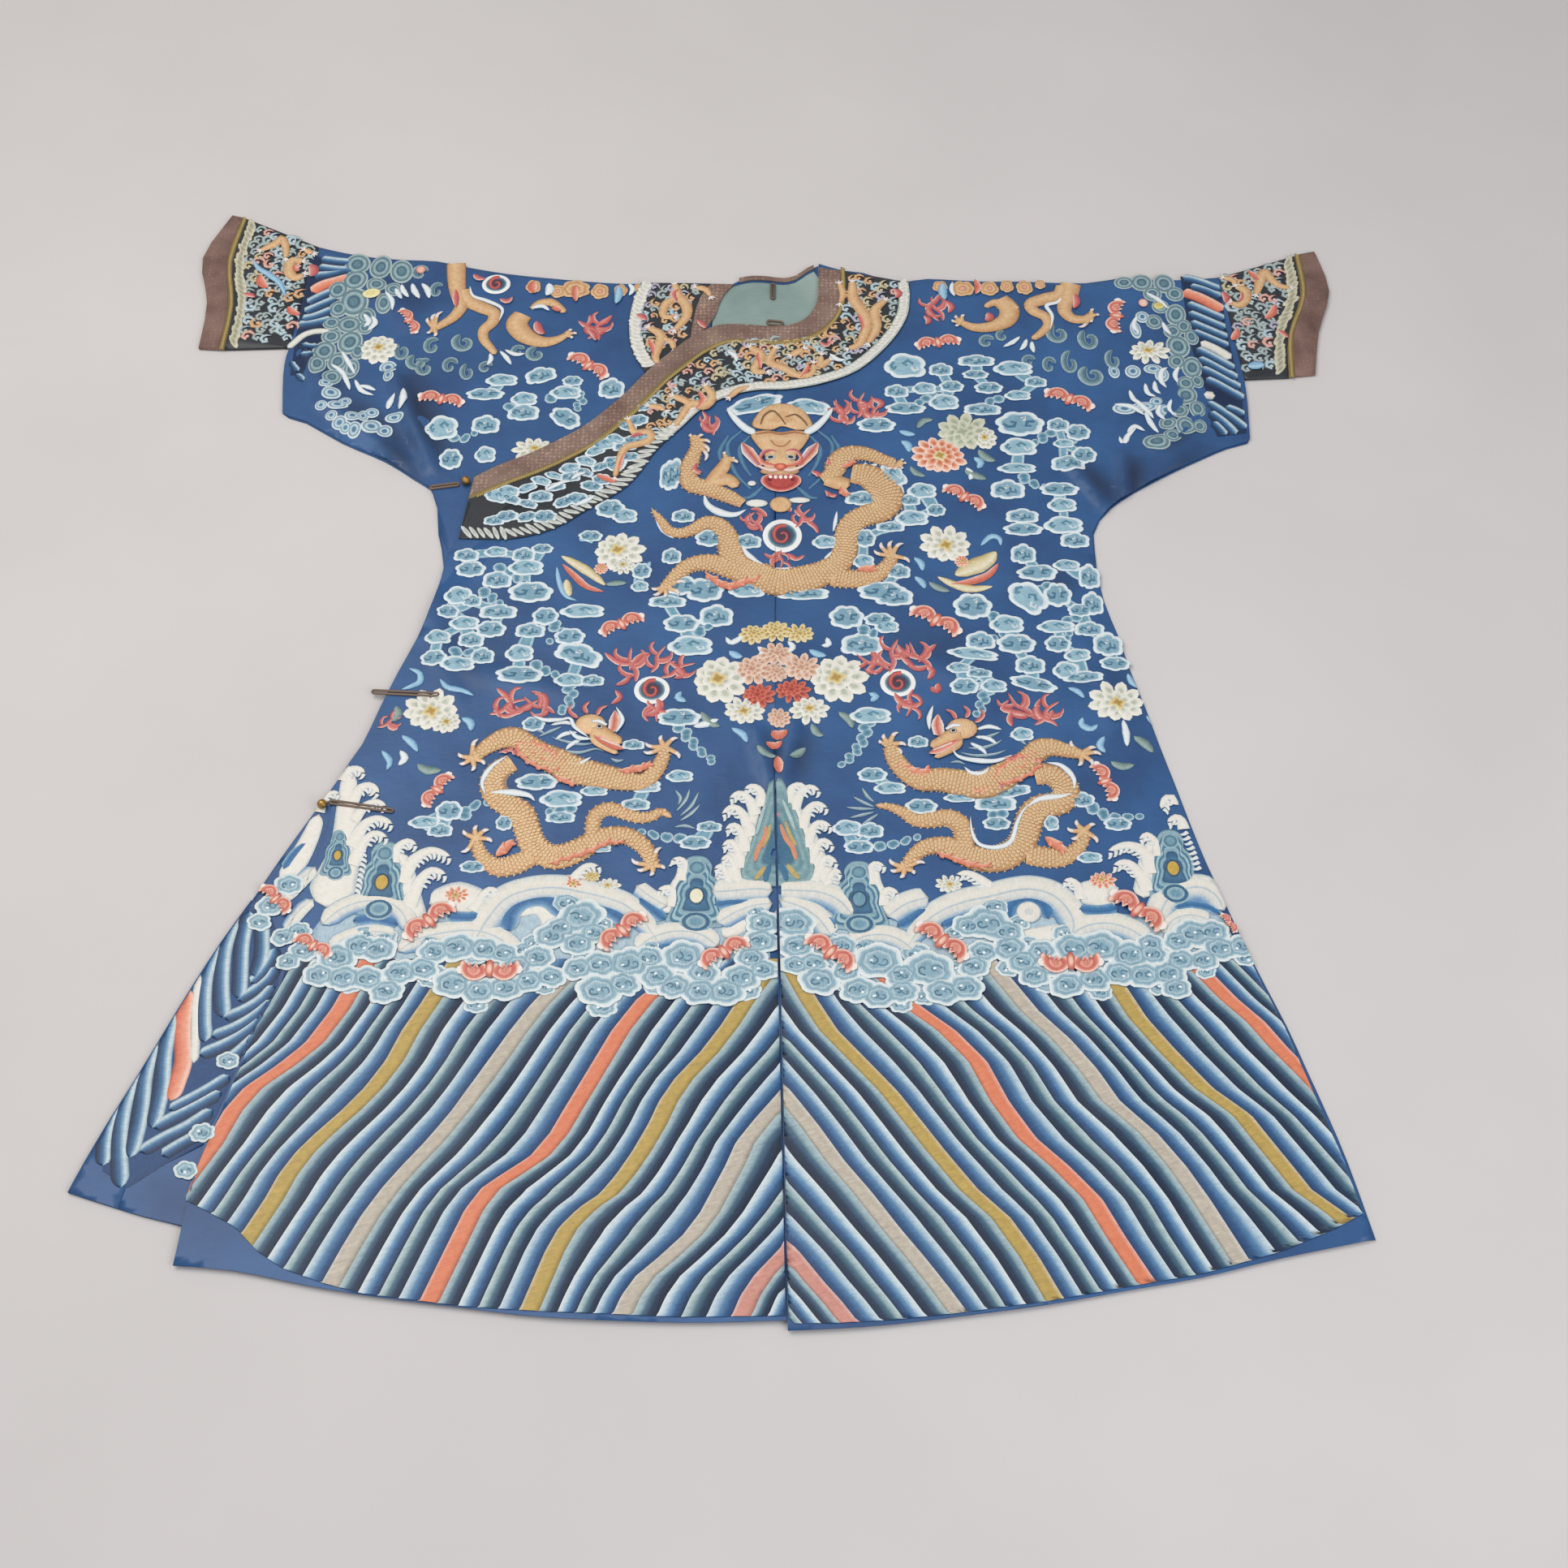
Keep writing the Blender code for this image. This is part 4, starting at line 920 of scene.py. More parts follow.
LAP_EDGE = edge_line((-650, -623), (-450, -573), (-400, -560), (-350, -547), (-300, -535), (-250, -516),
                     (-200, -508), (-150, -494))
LEFT_SIDE = edge_line((-531, 566), (-450, 550), (-400, 536), (-350, 522), (-300, 508.5), (-250, 491),
                 (-200, 474.5), (-150, 459.5))
LAP_FOOT = edge_line((-585, -490), (-560, -503), (-530, -520), (-505, -545), (-480, -562), (-440, -577),
                (-400, -588), (-300, -601), (-220, -606), (-100, -611), (0, -610))
LEFT_FOOT = edge_line((0, -618), (50, -617), (100, -614), (172, -606), (250, -595), (324, -581),
                 (400, -567), (476, -545), (530, -522), (571, -500))
water = Embroidery("standing_water")
water_stripes(water, LEFT_GUIDES, LAP_EDGE, beside_slit(-1.2), LAP_FOOT)
water_stripes(water, RIGHT_GUIDES, beside_slit(1.2), LEFT_SIDE, LEFT_FOOT, mirrored=True)
water.build(SILK_STITCH)


# %% [markdown]
# ## Rolling waves
# Above the stripes the sea breaks: long billows that are cream on their crest and blue in
# their hollow, mountains that rise from them in nested bands, columns of foam whose claws
# hook over, and a bank of ringed foam clouds whose scalloped edge hides where the stripes end.

# %% Billows, claws, mountains and foam
CREAM, GOLD_YELLOW = "#E2DED2", "#C2A24A"
BILLOW = ((-1.0, "#4C7EAD"), (-0.72, "#8FABC0"), (-0.45, "#CFD2CE"), (-0.12, "#D9D8CF"), (-0.02, "#A9BCC6"),
          (0.1, "#DDDBD1"), (0.4, CREAM), (0.86, "#D2D5CE"), (1.0, "#7D9CB4"))
HOLLOW = ((-1.0, "#9DB8C8"), (-0.6, "#5C8AB0"), (-0.2, "#346594"), (0.5, "#477AA6"), (1.0, "#7FA3BF"))
FOAM = ((-1.0, "#A9B9BF"), (-0.75, "#DFDDD3"), (0.0, "#E6E3D9"), (0.75, "#DFDDD3"), (1.0, "#A9B9BF"))
TOOTH = (9.0, 5.0)
TOOTH_LEAN = -25.0
teeth = []


def serrate(path, side, pitch=6.5, size=1.0, lift=1.3):
    """Adds foam teeth to the table along one side of a path; side 1 is the left."""
    line = smooth(path, pitch)
    ahead, left = headings(line)
    for (x, y), degrees in zip(line, degrees_of(left * side) + TOOTH_LEAN * side):
        teeth.append((x, y, TOOTH[0] * size, TOOTH[1] * size, degrees, lift))


def claw(work, numbers, width, side):
    """An arm of foam that rises, hooks over to its tip and carries teeth under the hook."""
    path = pairs(numbers)
    work.band(path, np.array([1.25, 1.0, 0.62, 0.38]) * width, FOAM, lift=1.2, puff=0.7,
              taper=(0.0, 0.12))
    serrate(offset(path[1:], side * 0.30 * width), side, 6.0, 0.95, lift=1.5)


DOME = np.array([(-0.5, 0), (-0.5, 0.22), (-0.44, 0.36), (-0.47, 0.48), (-0.40, 0.64), (-0.27, 0.73),
                 (-0.29, 0.85), (-0.18, 0.97), (0, 1.0), (0.18, 0.97), (0.29, 0.85), (0.27, 0.73),
                 (0.40, 0.64), (0.47, 0.48), (0.44, 0.36), (0.5, 0.22), (0.5, 0)])
ROCK = ((1.0, "#55798C"), (0.95, "#8FAEB8"), (0.86, "#7FA0AC"), (0.84, "#3B6480"), (0.78, "#54819A"),
        (0.76, "#A9C1C6"), (0.68, "#8FB0BA"), (0.66, "#3F6A84"), (0.58, "#5B8AA0"), (0.56, "#94B2BB"),
        (0.46, "#7A9DAA"), (0.44, "#34597A"), (0.3, "#45718F"))
SUMMIT = ((1.0, "#A5BDC3"), (0.8, "#7C9FAC"), (0.75, "#46708A"), (0.4, "#7399A8"))
FOOTHILL = ((1.0, "#A9C1C6"), (0.86, "#7C9FAC"), (0.82, "#33597A"), (0.62, "#46708A"), (0.58, "#9DB7BE"),
            (0.3, "#6E95A6"))


def mountain(work, x, y, wide, high, jewel):
    """A mountain of nested bands with a jewel on it and smaller domes at its top and foot."""
    outline = smooth(DOME * (wide, high) + (x, y), 4.0, True)[:-1]
    onion(work, outline, (x, y + 0.40 * high), ROCK, lift=0.9, puff=1.3, angle=90)
    bead(work, x, y + 0.82 * high, 0.36 * wide, 0.22 * high, 14, SUMMIT, lift=1.9, puff=0.6)
    bead(work, x, y + 0.06 * high, 0.62 * wide, 0.30 * high, 16, FOOTHILL, lift=1.9, puff=0.7)
    bead(work, x, y + 0.42 * high, 0.32 * wide, 0.26 * high, 14,
         ((1.0, "#34506A"), (0.82, "#34506A"), (0.72, jewel), (0.3, jewel)), lift=2.1, puff=0.9)


RING = ((1.0, "#7F98A5"), (0.95, "#E3E9E6"), (0.80, "#CBD9DC"), (0.73, "#94B1BC"), (0.58, "#7FA1B0"),
        (0.52, "#B4C8CF"), (0.42, "#93B0BC"), (0.30, "#86A6B4"))
KNOT = ((1.0, "#D3E0E6"), (0.5, "#EAF0F0"))


def foam_ring(work, x, y, radius, lift):
    """One scalloped cloud of the foam bank, wider than high, with curls and a white knot in it."""
    outline = cloud_outline(2.35 * radius, 2.0 * radius, 6 + int(x) % 2, 0.14, x, count=28)
    onion(work, turned(outline, 14.0 * math.sin(x), 1.0, (x, y)), (x, y), RING, lift=lift, puff=1.1)
    for side, colour in ((-1.0, "#4E7388"), (1.0, "#5B8296")):
        middle = (x + 0.24 * side * radius, y)
        coil = spiral(radius * 0.30, 0.8, 6, start=x + side) * (side, 0.9) + middle
        work.band(coil, 1.9, colour, lift=lift + 1.1, puff=0.2, step=3.0)
    bead(work, x + 0.3 * radius * math.cos(x), y + 0.2 * radius * math.sin(y), 4.0, 3.6, 7, KNOT,
         lift=lift + 1.1, puff=0.3)


WING = smooth(np.array([(0.0, 0.06), (0.10, 0.17), (0.24, 0.22), (0.38, 0.17), (0.48, 0.04),
                        (0.49, -0.10), (0.43, -0.17), (0.39, -0.06), (0.33, -0.14), (0.28, -0.03),
                        (0.22, -0.12), (0.17, -0.02), (0.10, -0.10), (0.03, -0.05)]), 0.045, True)[:-1]
WING_SILKS = ((1.0, "#B5605A"), (0.93, "#E8CFC4"), (0.80, "#E3B5A4"), (0.70, "#CF7B69"), (0.45, "#C0625A"),
              (0.40, "#E0A18E"), (0.15, "#D38A77"))


def bat(work, x, y, size, turn, lift):
    """A coral bat, a sign of good luck, with scalloped wings that are pale at their edge."""
    for flip in (False, True):
        centre = turned((0.25, 0.06), turn, size, (x, y), flip)[0]
        onion(work, turned(WING, turn, size, (x, y), flip), centre, WING_SILKS, lift=lift, puff=0.9,
              angle=turn)
        tip = np.array([(0.44, 0.10), (0.50, 0.02), (0.47, -0.08)]) * size
        work.band(turned(tip, turn, 1.0, (x, y), flip), [size * 0.05, size * 0.08, size * 0.05], "#EDE3DC",
                  lift=lift + 0.5, puff=0.4, step=3.0, taper=(0.2, 0.3))
    bead(work, x, y, size * 0.15, size * 0.34, 12, ((1.0, "#A9504C"), (0.7, "#CB7561"), (0.3, "#EBC1AE")),
         lift=lift + 0.4, lean=turn)


# %% Where the sea's parts lie, from the back to the front
SEA_BED = ((-470, -150, -440, -160, -380, -176, -330, -160, -310, -176, -262, -140, -200, -150,
            -150, -176, -110, -166, -60, -150, -16, -144, -14, -238, -60, -244, -150, -240, -260, -232,
            -330, -228, -400, -236, -484, -236, -492, -190),
           (-6, -144, 40, -150, 100, -178, 140, -160, 200, -160, 260, -140, 300, -160, 380, -170,
            410, -150, 455, -150, 472, -215, 420, -226, 330, -232, 260, -226, 190, -236, 100, -244,
            40, -240, -4, -236))
# silk, height above the cloth and how far it is puffed up
CREST, DEEP, FROTH = (BILLOW, 1.3, 1.0), (HOLLOW, 1.5, 0.4), (FOAM, 0.6, 1.0)
SEA = (
    (FROTH, (14, 20, 26, 30, 38, 48, 56), (-474, 20, -472, 0, -470, -28, -468, -60, -468, -95,
                                           -474, -130, -480, -160)),
    (FROTH, (12, 16, 22, 30, 36), (-412, -92, -402, -105, -396, -130, -392, -155, -386, -188)),
    (FROTH, (8, 10, 12, 16, 24), (-109, -103, -109, -120, -115, -135, -120, -152, -126, -168)),
    (FROTH, (8, 12, 18, 24, 30, 34), (-24, -12, -32, -40, -41, -70, -50, -100, -58, -125, -62, -146)),
    (FROTH, (8, 12, 18, 24, 30, 36), (2, -12, 14, -40, 25, -70, 33, -100, 42, -125, 50, -148)),
    (FROTH, (8, 10, 12, 16, 24), (97, -106, 97, -125, 102, -142, 110, -156, 114, -170)),
    (FROTH, (10, 16, 20, 26), (394, -74, 386, -95, 382, -120, 378, -148)),
    (FROTH, (26, 40, 30), (-372, -156, -344, -148, -314, -156)),
    (FROTH, (24, 36, 28), (308, -142, 330, -142, 352, -150)),
    (DEEP, (14,), (-352, -172, -332, -173, -314, -171)),
    (DEEP, (14,), (308, -162, 330, -164, 350, -160)),
    (CREST, (24,), (-482, -182, -464, -163, -440, -153, -414, -155, -397, -170, -391, -190)),
    (DEEP, (15,), (-450, -177, -426, -174, -402, -181)),
    (CREST, (20,), (-472, -210, -452, -196, -428, -190, -403, -193)),
    (CREST, (26, 28, 28, 26), (-400, -214, -380, -199, -350, -191, -322, -189, -298, -197, -282, -212,
                               -276, -230)),
    (CREST, (20,), (-156, -134, -140, -148, -122, -160)),
    (DEEP, (14,), (-152, -150, -138, -163, -124, -176)),
    (CREST, (40, 36, 34, 34, 30, 26), (-322, -204, -309, -174, -292, -150, -266, -139, -238, -137,
                                       -214, -142, -190, -148, -166, -158, -148, -176, -132, -200)),
    (DEEP, (24,), (-286, -190, -287, -168, -274, -153, -253, -149, -237, -159, -231, -174)),
    (FROTH, (12, 18, 24, 26, 24, 20), (-276, -172, -266, -161, -252, -162, -242, -178, -247, -197,
                                       -268, -207)),
    (DEEP, (20,), (-214, -162, -192, -160, -174, -170, -160, -184)),
    (CREST, (26,), (-154, -212, -136, -197, -112, -190, -88, -193, -68, -208)),
    (DEEP, (10,), (-142, -216, -128, -210, -114, -206)),
    (CREST, (32,), (-76, -142, -52, -140, -28, -138, -12, -140)),
    (DEEP, (12,), (-74, -158, -52, -154, -30, -156)),
    (CREST, (24,), (-70, -180, -50, -166, -30, -158, -12, -156)),
    (FROTH, (18,), (-64, -196, -46, -182, -30, -174)),
    (CREST, (32,), (-8, -140, 14, -140, 38, -142, 58, -152, 72, -170)),
    (DEEP, (12,), (22, -158, 40, -170, 54, -186)),
    (CREST, (28,), (-4, -152, 18, -160, 36, -174, 50, -196)),
    (CREST, (26,), (66, -206, 86, -195, 110, -195, 130, -208, 142, -226)),
    (DEEP, (10,), (108, -210, 122, -220, 130, -232)), (CREST, (30,), (108, -172, 128, -156, 152, -148)),
    (DEEP, (15,), (118, -184, 132, -175, 148, -162)),
    (CREST, (26, 30, 34, 34, 36, 36, 30), (128, -208, 144, -182, 165, -164, 190, -153, 215, -147,
                                           240, -140, 262, -138, 284, -146, 299, -166, 302, -186,
                                           290, -204)),
    (DEEP, (22,), (234, -176, 238, -157, 256, -148, 273, -157, 276, -174)),
    (DEEP, (18,), (164, -182, 178, -177, 194, -172)),
    (FROTH, (24,), (236, -203, 256, -197, 280, -192, 300, -188)),
    (CREST, (30,), (292, -200, 312, -184, 336, -179, 360, -186, 380, -202)),
    (CREST, (34,), (391, -176, 401, -152, 420, -138, 440, -135, 455, -146, 461, -164)),
    (DEEP, (11,), (408, -160, 426, -156, 446, -160, 456, -168)),
    (CREST, (22,), (396, -192, 406, -175, 426, -169, 446, -176)),
)
CLAWS = (
    (12, -1, (-480, 0, -474, 12, -464, 16, -455, 10)),
    (14, -1, (-468, -35, -460, -12, -448, -6, -437, -16)),
    (12, -1, (-462, -52, -452, -34, -440, -27, -428, -33)),
    (15, -1, (-462, -85, -450, -58, -436, -49, -419, -56)),
    (14, -1, (-458, -108, -448, -80, -438, -68, -423, -73)),
    (12, -1, (-414, -105, -412, -88, -402, -78, -391, -83)),
    (16, -1, (-404, -130, -394, -104, -376, -90, -354, -97)),
    (16, -1, (-394, -160, -386, -132, -374, -115, -357, -119)),
    (12, -1, (-326, -165, -318, -148, -310, -138, -299, -141)),
    (14, -1, (-232, -150, -222, -126, -210, -110, -196, -109)),
    (10, 1, (-106, -128, -104, -108, -110, -100, -119, -101)),
    (12, 1, (-118, -160, -116, -142, -122, -136, -133, -139)),
    (12, 1, (-24, -34, -26, -14, -34, -7, -43, -11)), (12, 1, (-30, -45, -38, -24, -48, -16, -59, -23)),
    (13, 1, (-34, -72, -44, -44, -55, -34, -67, -43)),
    (12, 1, (-40, -92, -46, -66, -54, -57, -63, -63)),
    (12, 1, (-44, -112, -50, -88, -57, -78, -66, -84)),
    (11, 1, (-48, -130, -54, -106, -60, -97, -67, -103)),
    (12, 1, (-54, -142, -60, -122, -66, -109, -74, -113)), (12, -1, (4, -34, 8, -12, 16, -5, 25, -10)),
    (12, -1, (10, -38, 18, -16, 28, -8, 39, -13)), (13, -1, (18, -62, 24, -42, 34, -30, 47, -35)),
    (12, -1, (24, -86, 30, -64, 38, -54, 51, -59)), (12, -1, (28, -106, 34, -86, 42, -77, 53, -83)),
    (12, -1, (32, -128, 40, -106, 46, -98, 57, -105)),
    (12, -1, (38, -146, 48, -124, 54, -114, 61, -119)),
    (10, -1, (92, -132, 92, -112, 97, -105, 107, -109)),
    (12, -1, (104, -158, 104, -146, 110, -138, 121, -143)),
    (14, 1, (226, -148, 212, -130, 196, -118, 182, -119)),
    (12, 1, (312, -150, 310, -135, 304, -126, 295, -127)),
    (16, 1, (390, -118, 384, -92, 366, -82, 345, -89)),
    (15, 1, (384, -140, 376, -118, 364, -104, 349, -107)),
    (10, 1, (398, -96, 396, -78, 388, -68, 379, -75)),
    (12, 1, (418, -30, 418, -22, 411, -24, 406, -36)),
    (11, 1, (428, -62, 426, -50, 420, -46, 411, -53)),
    (10, -1, (-500, -40, -496, -22, -488, -14, -480, -18)),
)
EDGES = ((-452, -82, -448, -105, -450, -140, 1), (430, -66, 436, -88, 440, -110, -1))
MOUNTAINS = ((-424, -168, 52, 90, GOLD_YELLOW), (-92, -184, 56, 88, "#E6E2C8"),
             (79, -186, 54, 84, "#6E97A8"), (412, -148, 50, 86, GOLD_YELLOW),
             (-474, -122, 30, 60, GOLD_YELLOW))
RINGS = (
    -478, -243, 16, -462, -222, 20, -440, -208, 18, -420, -212, 18, -452, -246, 18, -428, -247, 17,
    -407, -262, 17, -395, -240, 18, -372, -235, 16, -362, -215, 17, -338, -210, 20, -310, -212, 17,
    -290, -217, 15, -340, -253, 20, -312, -262, 18, -286, -258, 18, -262, -250, 16, -275, -232, 17,
    -255, -222, 17, -240, -245, 15, -242, -196, 18, -212, -173, 24, -232, -186, 16, -214, -205, 17,
    -198, -192, 15, -190, -230, 18, -212, -235, 16, -190, -261, 22, -165, -253, 17, -160, -229, 22,
    -140, -222, 16, -130, -244, 18, -112, -256, 17, -104, -221, 22, -86, -262, 18, -84, -240, 17,
    -60, -262, 20, -44, -246, 19, -34, -222, 16, -24, -202, 18, -22, -180, 17, -22, -236, 15,
    10, -180, 22, 14, -208, 18, 30, -228, 15, 36, -249, 20, 60, -208, 16, 64, -238, 15, 76, -260, 18,
    97, -226, 24, 97, -267, 17, 121, -262, 17, 121, -243, 17, 150, -236, 25, 162, -262, 18, 186, -257, 18,
    196, -232, 16, 206, -214, 15, 212, -180, 24, 192, -183, 16, 232, -190, 17, 234, -210, 18,
    247, -226, 17, 266, -214, 16, 258, -243, 16, 277, -232, 15, 291, -254, 18, 318, -247, 18,
    300, -210, 21, 328, -209, 23, 358, -218, 20, 345, -240, 17, 381, -216, 16, 371, -242, 18,
    396, -240, 18, 410, -224, 16, 402, -257, 15, 426, -192, 20, 446, -190, 17, 410, -201, 16,
    452, -210, 18, 474, -208, 16, 434, -224, 15, 380, -204, 14, 12, -230, 14,
)
SEA_BATS = ((-370, -178, 62, 40), (-303, -236, 64, 180), (-168, -190, 60, 42), (-62, -216, 58, 32),
            (48, -216, 62, -38), (164, -202, 64, -40), (296, -226, 64, 180),
            (370, -164, 66, -40), (464, -180, 26, -60))

sea = Embroidery("sea_and_foam")
for numbers in SEA_BED:
    sea.patch(pairs(numbers), "#8FABBE", "#A9C0CC", lift=0.25)
for x, y, wide, high, jewel in MOUNTAINS:
    mountain(sea, x, y, wide, high, jewel)
for (silk, lift, puff), widths, numbers in SEA:
    sea.band(pairs(numbers), widths, silk, lift=lift, puff=puff, step=5.0, taper=(0.12, 0.12))
for width, side, numbers in CLAWS:
    claw(sea, numbers, width, side)
for *numbers, side in EDGES:
    serrate(pairs(numbers), side)
bead(sea, 256, -166, 26, 26, 18, ((1.0, "#9FB3BD"), (0.85, "#DEDCD2"), (0.4, CREAM), (0.3, "#C9CFCD")),
     lift=2.0, puff=0.7)
# Each ring has a smaller one beside and under it, except where that would lie over the slit
SLIT_AT, SLIT_CLEAR = -8.0, 14.0
rings = np.reshape(RINGS, (-1, 3)).astype(float)
for x, y, radius in rings:
    lean = 5.0 * math.sin(0.7 * x + 0.31 * y)
    beside, under = x + 1.15 * radius * math.cos(lean), y + 0.85 * radius * math.sin(lean)
    if abs(beside - SLIT_AT) > SLIT_CLEAR:
        foam_ring(sea, beside, under, 0.66 * radius, 1.3)
for n, (x, y, radius) in enumerate(rings[np.argsort(rings[:, 1])[::-1]]):
    foam_ring(sea, x, y, radius, 1.8 + 0.008 * n)
for x, y, size, turn in SEA_BATS:
    bat(sea, x, y, size, turn, lift=3.9)

# %% The mountain in the middle, which the slit divides
CENTRAL = (-16, -4, -22, -30, -30, -60, -38, -90, -46, -116, -40, -130, -8, -135, 26, -130, 33, -114,
           26, -85, 18, -55, 8, -25, 0, -4, -8, 2)
onion(sea, smooth(pairs(CENTRAL), 4.0, True)[:-1], (-6, -90),
      ((1.0, "#54777F"), (0.93, "#8FABAD"), (0.84, "#6F9398"), (0.72, "#87A5A9"), (0.62, "#628A92"),
       (0.50, "#7D9FA5"), (0.40, "#456F84"), (0.2, "#3E6A88")), lift=1.4, puff=1.0, angle=90)
strokes(sea, (
    ("#CE8E6E", 6, (-19, -58, -21, -75, -28, -90, -31, -106)),
    ("#CE8E6E", 6, (-4, -56, 1, -73, 9, -87, 13, -104)), ("#B9A468", 4, (-15, -56, -17, -72, -23, -88)),
    ("#B9A468", 4, (1, -52, 6, -70, 14, -86)), ("#B9A468", 6, (-19, -110, -25, -119, -31, -128)),
    ("#B9A468", 6, (3, -107, 9, -117, 17, -127)), ("#A9C0C2", 4, (-20, -30, -25, -50, -30, -72)),
    ("#A9C0C2", 4, (-2, -24, 5, -44, 12, -66)), ("#3F7090", 7, (-14, -108, -18, -118, -20, -130)),
    ("#3F7090", 7, (-4, -106, 0, -116, 3, -129)), ("#C9848A", 5, (-8, -38, -7, -46, -8, -52)),
), (0.6, 1.0, 0.7), lift=2.5, puff=0.4, taper=(0.15, 0.15), step=3.5)

# %% The sea on the turned strip
STRIP_SEA = (
    (FROTH, (14, 20, 24, 20), (-500, -42, -506, -70, -516, -100, -530, -128)),
    (CREST, (18, 22, 18), (-496, -110, -512, -128, -528, -150)),
    (DEEP, (12,), (-508, -78, -520, -92, -530, -112)),
    (CREST, (14, 18, 14), (-494, -150, -508, -166, -520, -188)),
)
STRIP_RINGS = (-522, -132, 15, -538, -158, 15, -548, -178, 12, -505, -190, 13, -520, -196, 13,
               -498, -214, 14, -512, -226, 12, -560, -340, 11, -575, -420, 12, -586, -460, 11)
STRIP_BATS = ((-534, -150, 46, -45), (-488, -208, 46, -30))
for (silk, _, _), widths, numbers in STRIP_SEA:
    sea.band(pairs(numbers), widths, silk, lift=0.8, puff=0.8, step=5.0, taper=(0.12, 0.12))
for x, y, radius in np.reshape(STRIP_RINGS, (-1, 3)):
    foam_ring(sea, x, y, radius, 1.4)
for x, y, size, turn in STRIP_BATS:
    bat(sea, x, y, size, turn, lift=3.0)
sea.build(SILK_STITCH)


def draw_tooth(work):
    """A tooth of foam that curls over at its tip, of a few dozen faces."""
    work.band(np.array([(-1.5, 0.6), (2.5, 0.4), (5.5, -0.8), (7.2, -3.0)]), [5.0, 4.4, 3.4, 2.0],
              ((-1.0, "#B4C2C8"), (0.0, "#ECEAE2"), (1.0, "#B4C2C8")), lift=0.0, puff=0.6, step=2.6,
              taper=(0, 0.3))


rows = np.array(teeth)
tooth = motif("foam_tooth", draw_tooth)
scatter("foam_teeth", rows[:, :5], tooth, TOOTH, SILK_STITCH, lift=rows[:, 5])

# %% [markdown]
# ## Clouds
# The sky is full of small clouds, embroidered in pale blue floss with a white edge and a
# darker curl inside. The same few lobes come again and again at different sizes, and stems
# join the lobes that lie close to each other.

# %% Cloud lobes
LOBE = (30.0, 24.0)
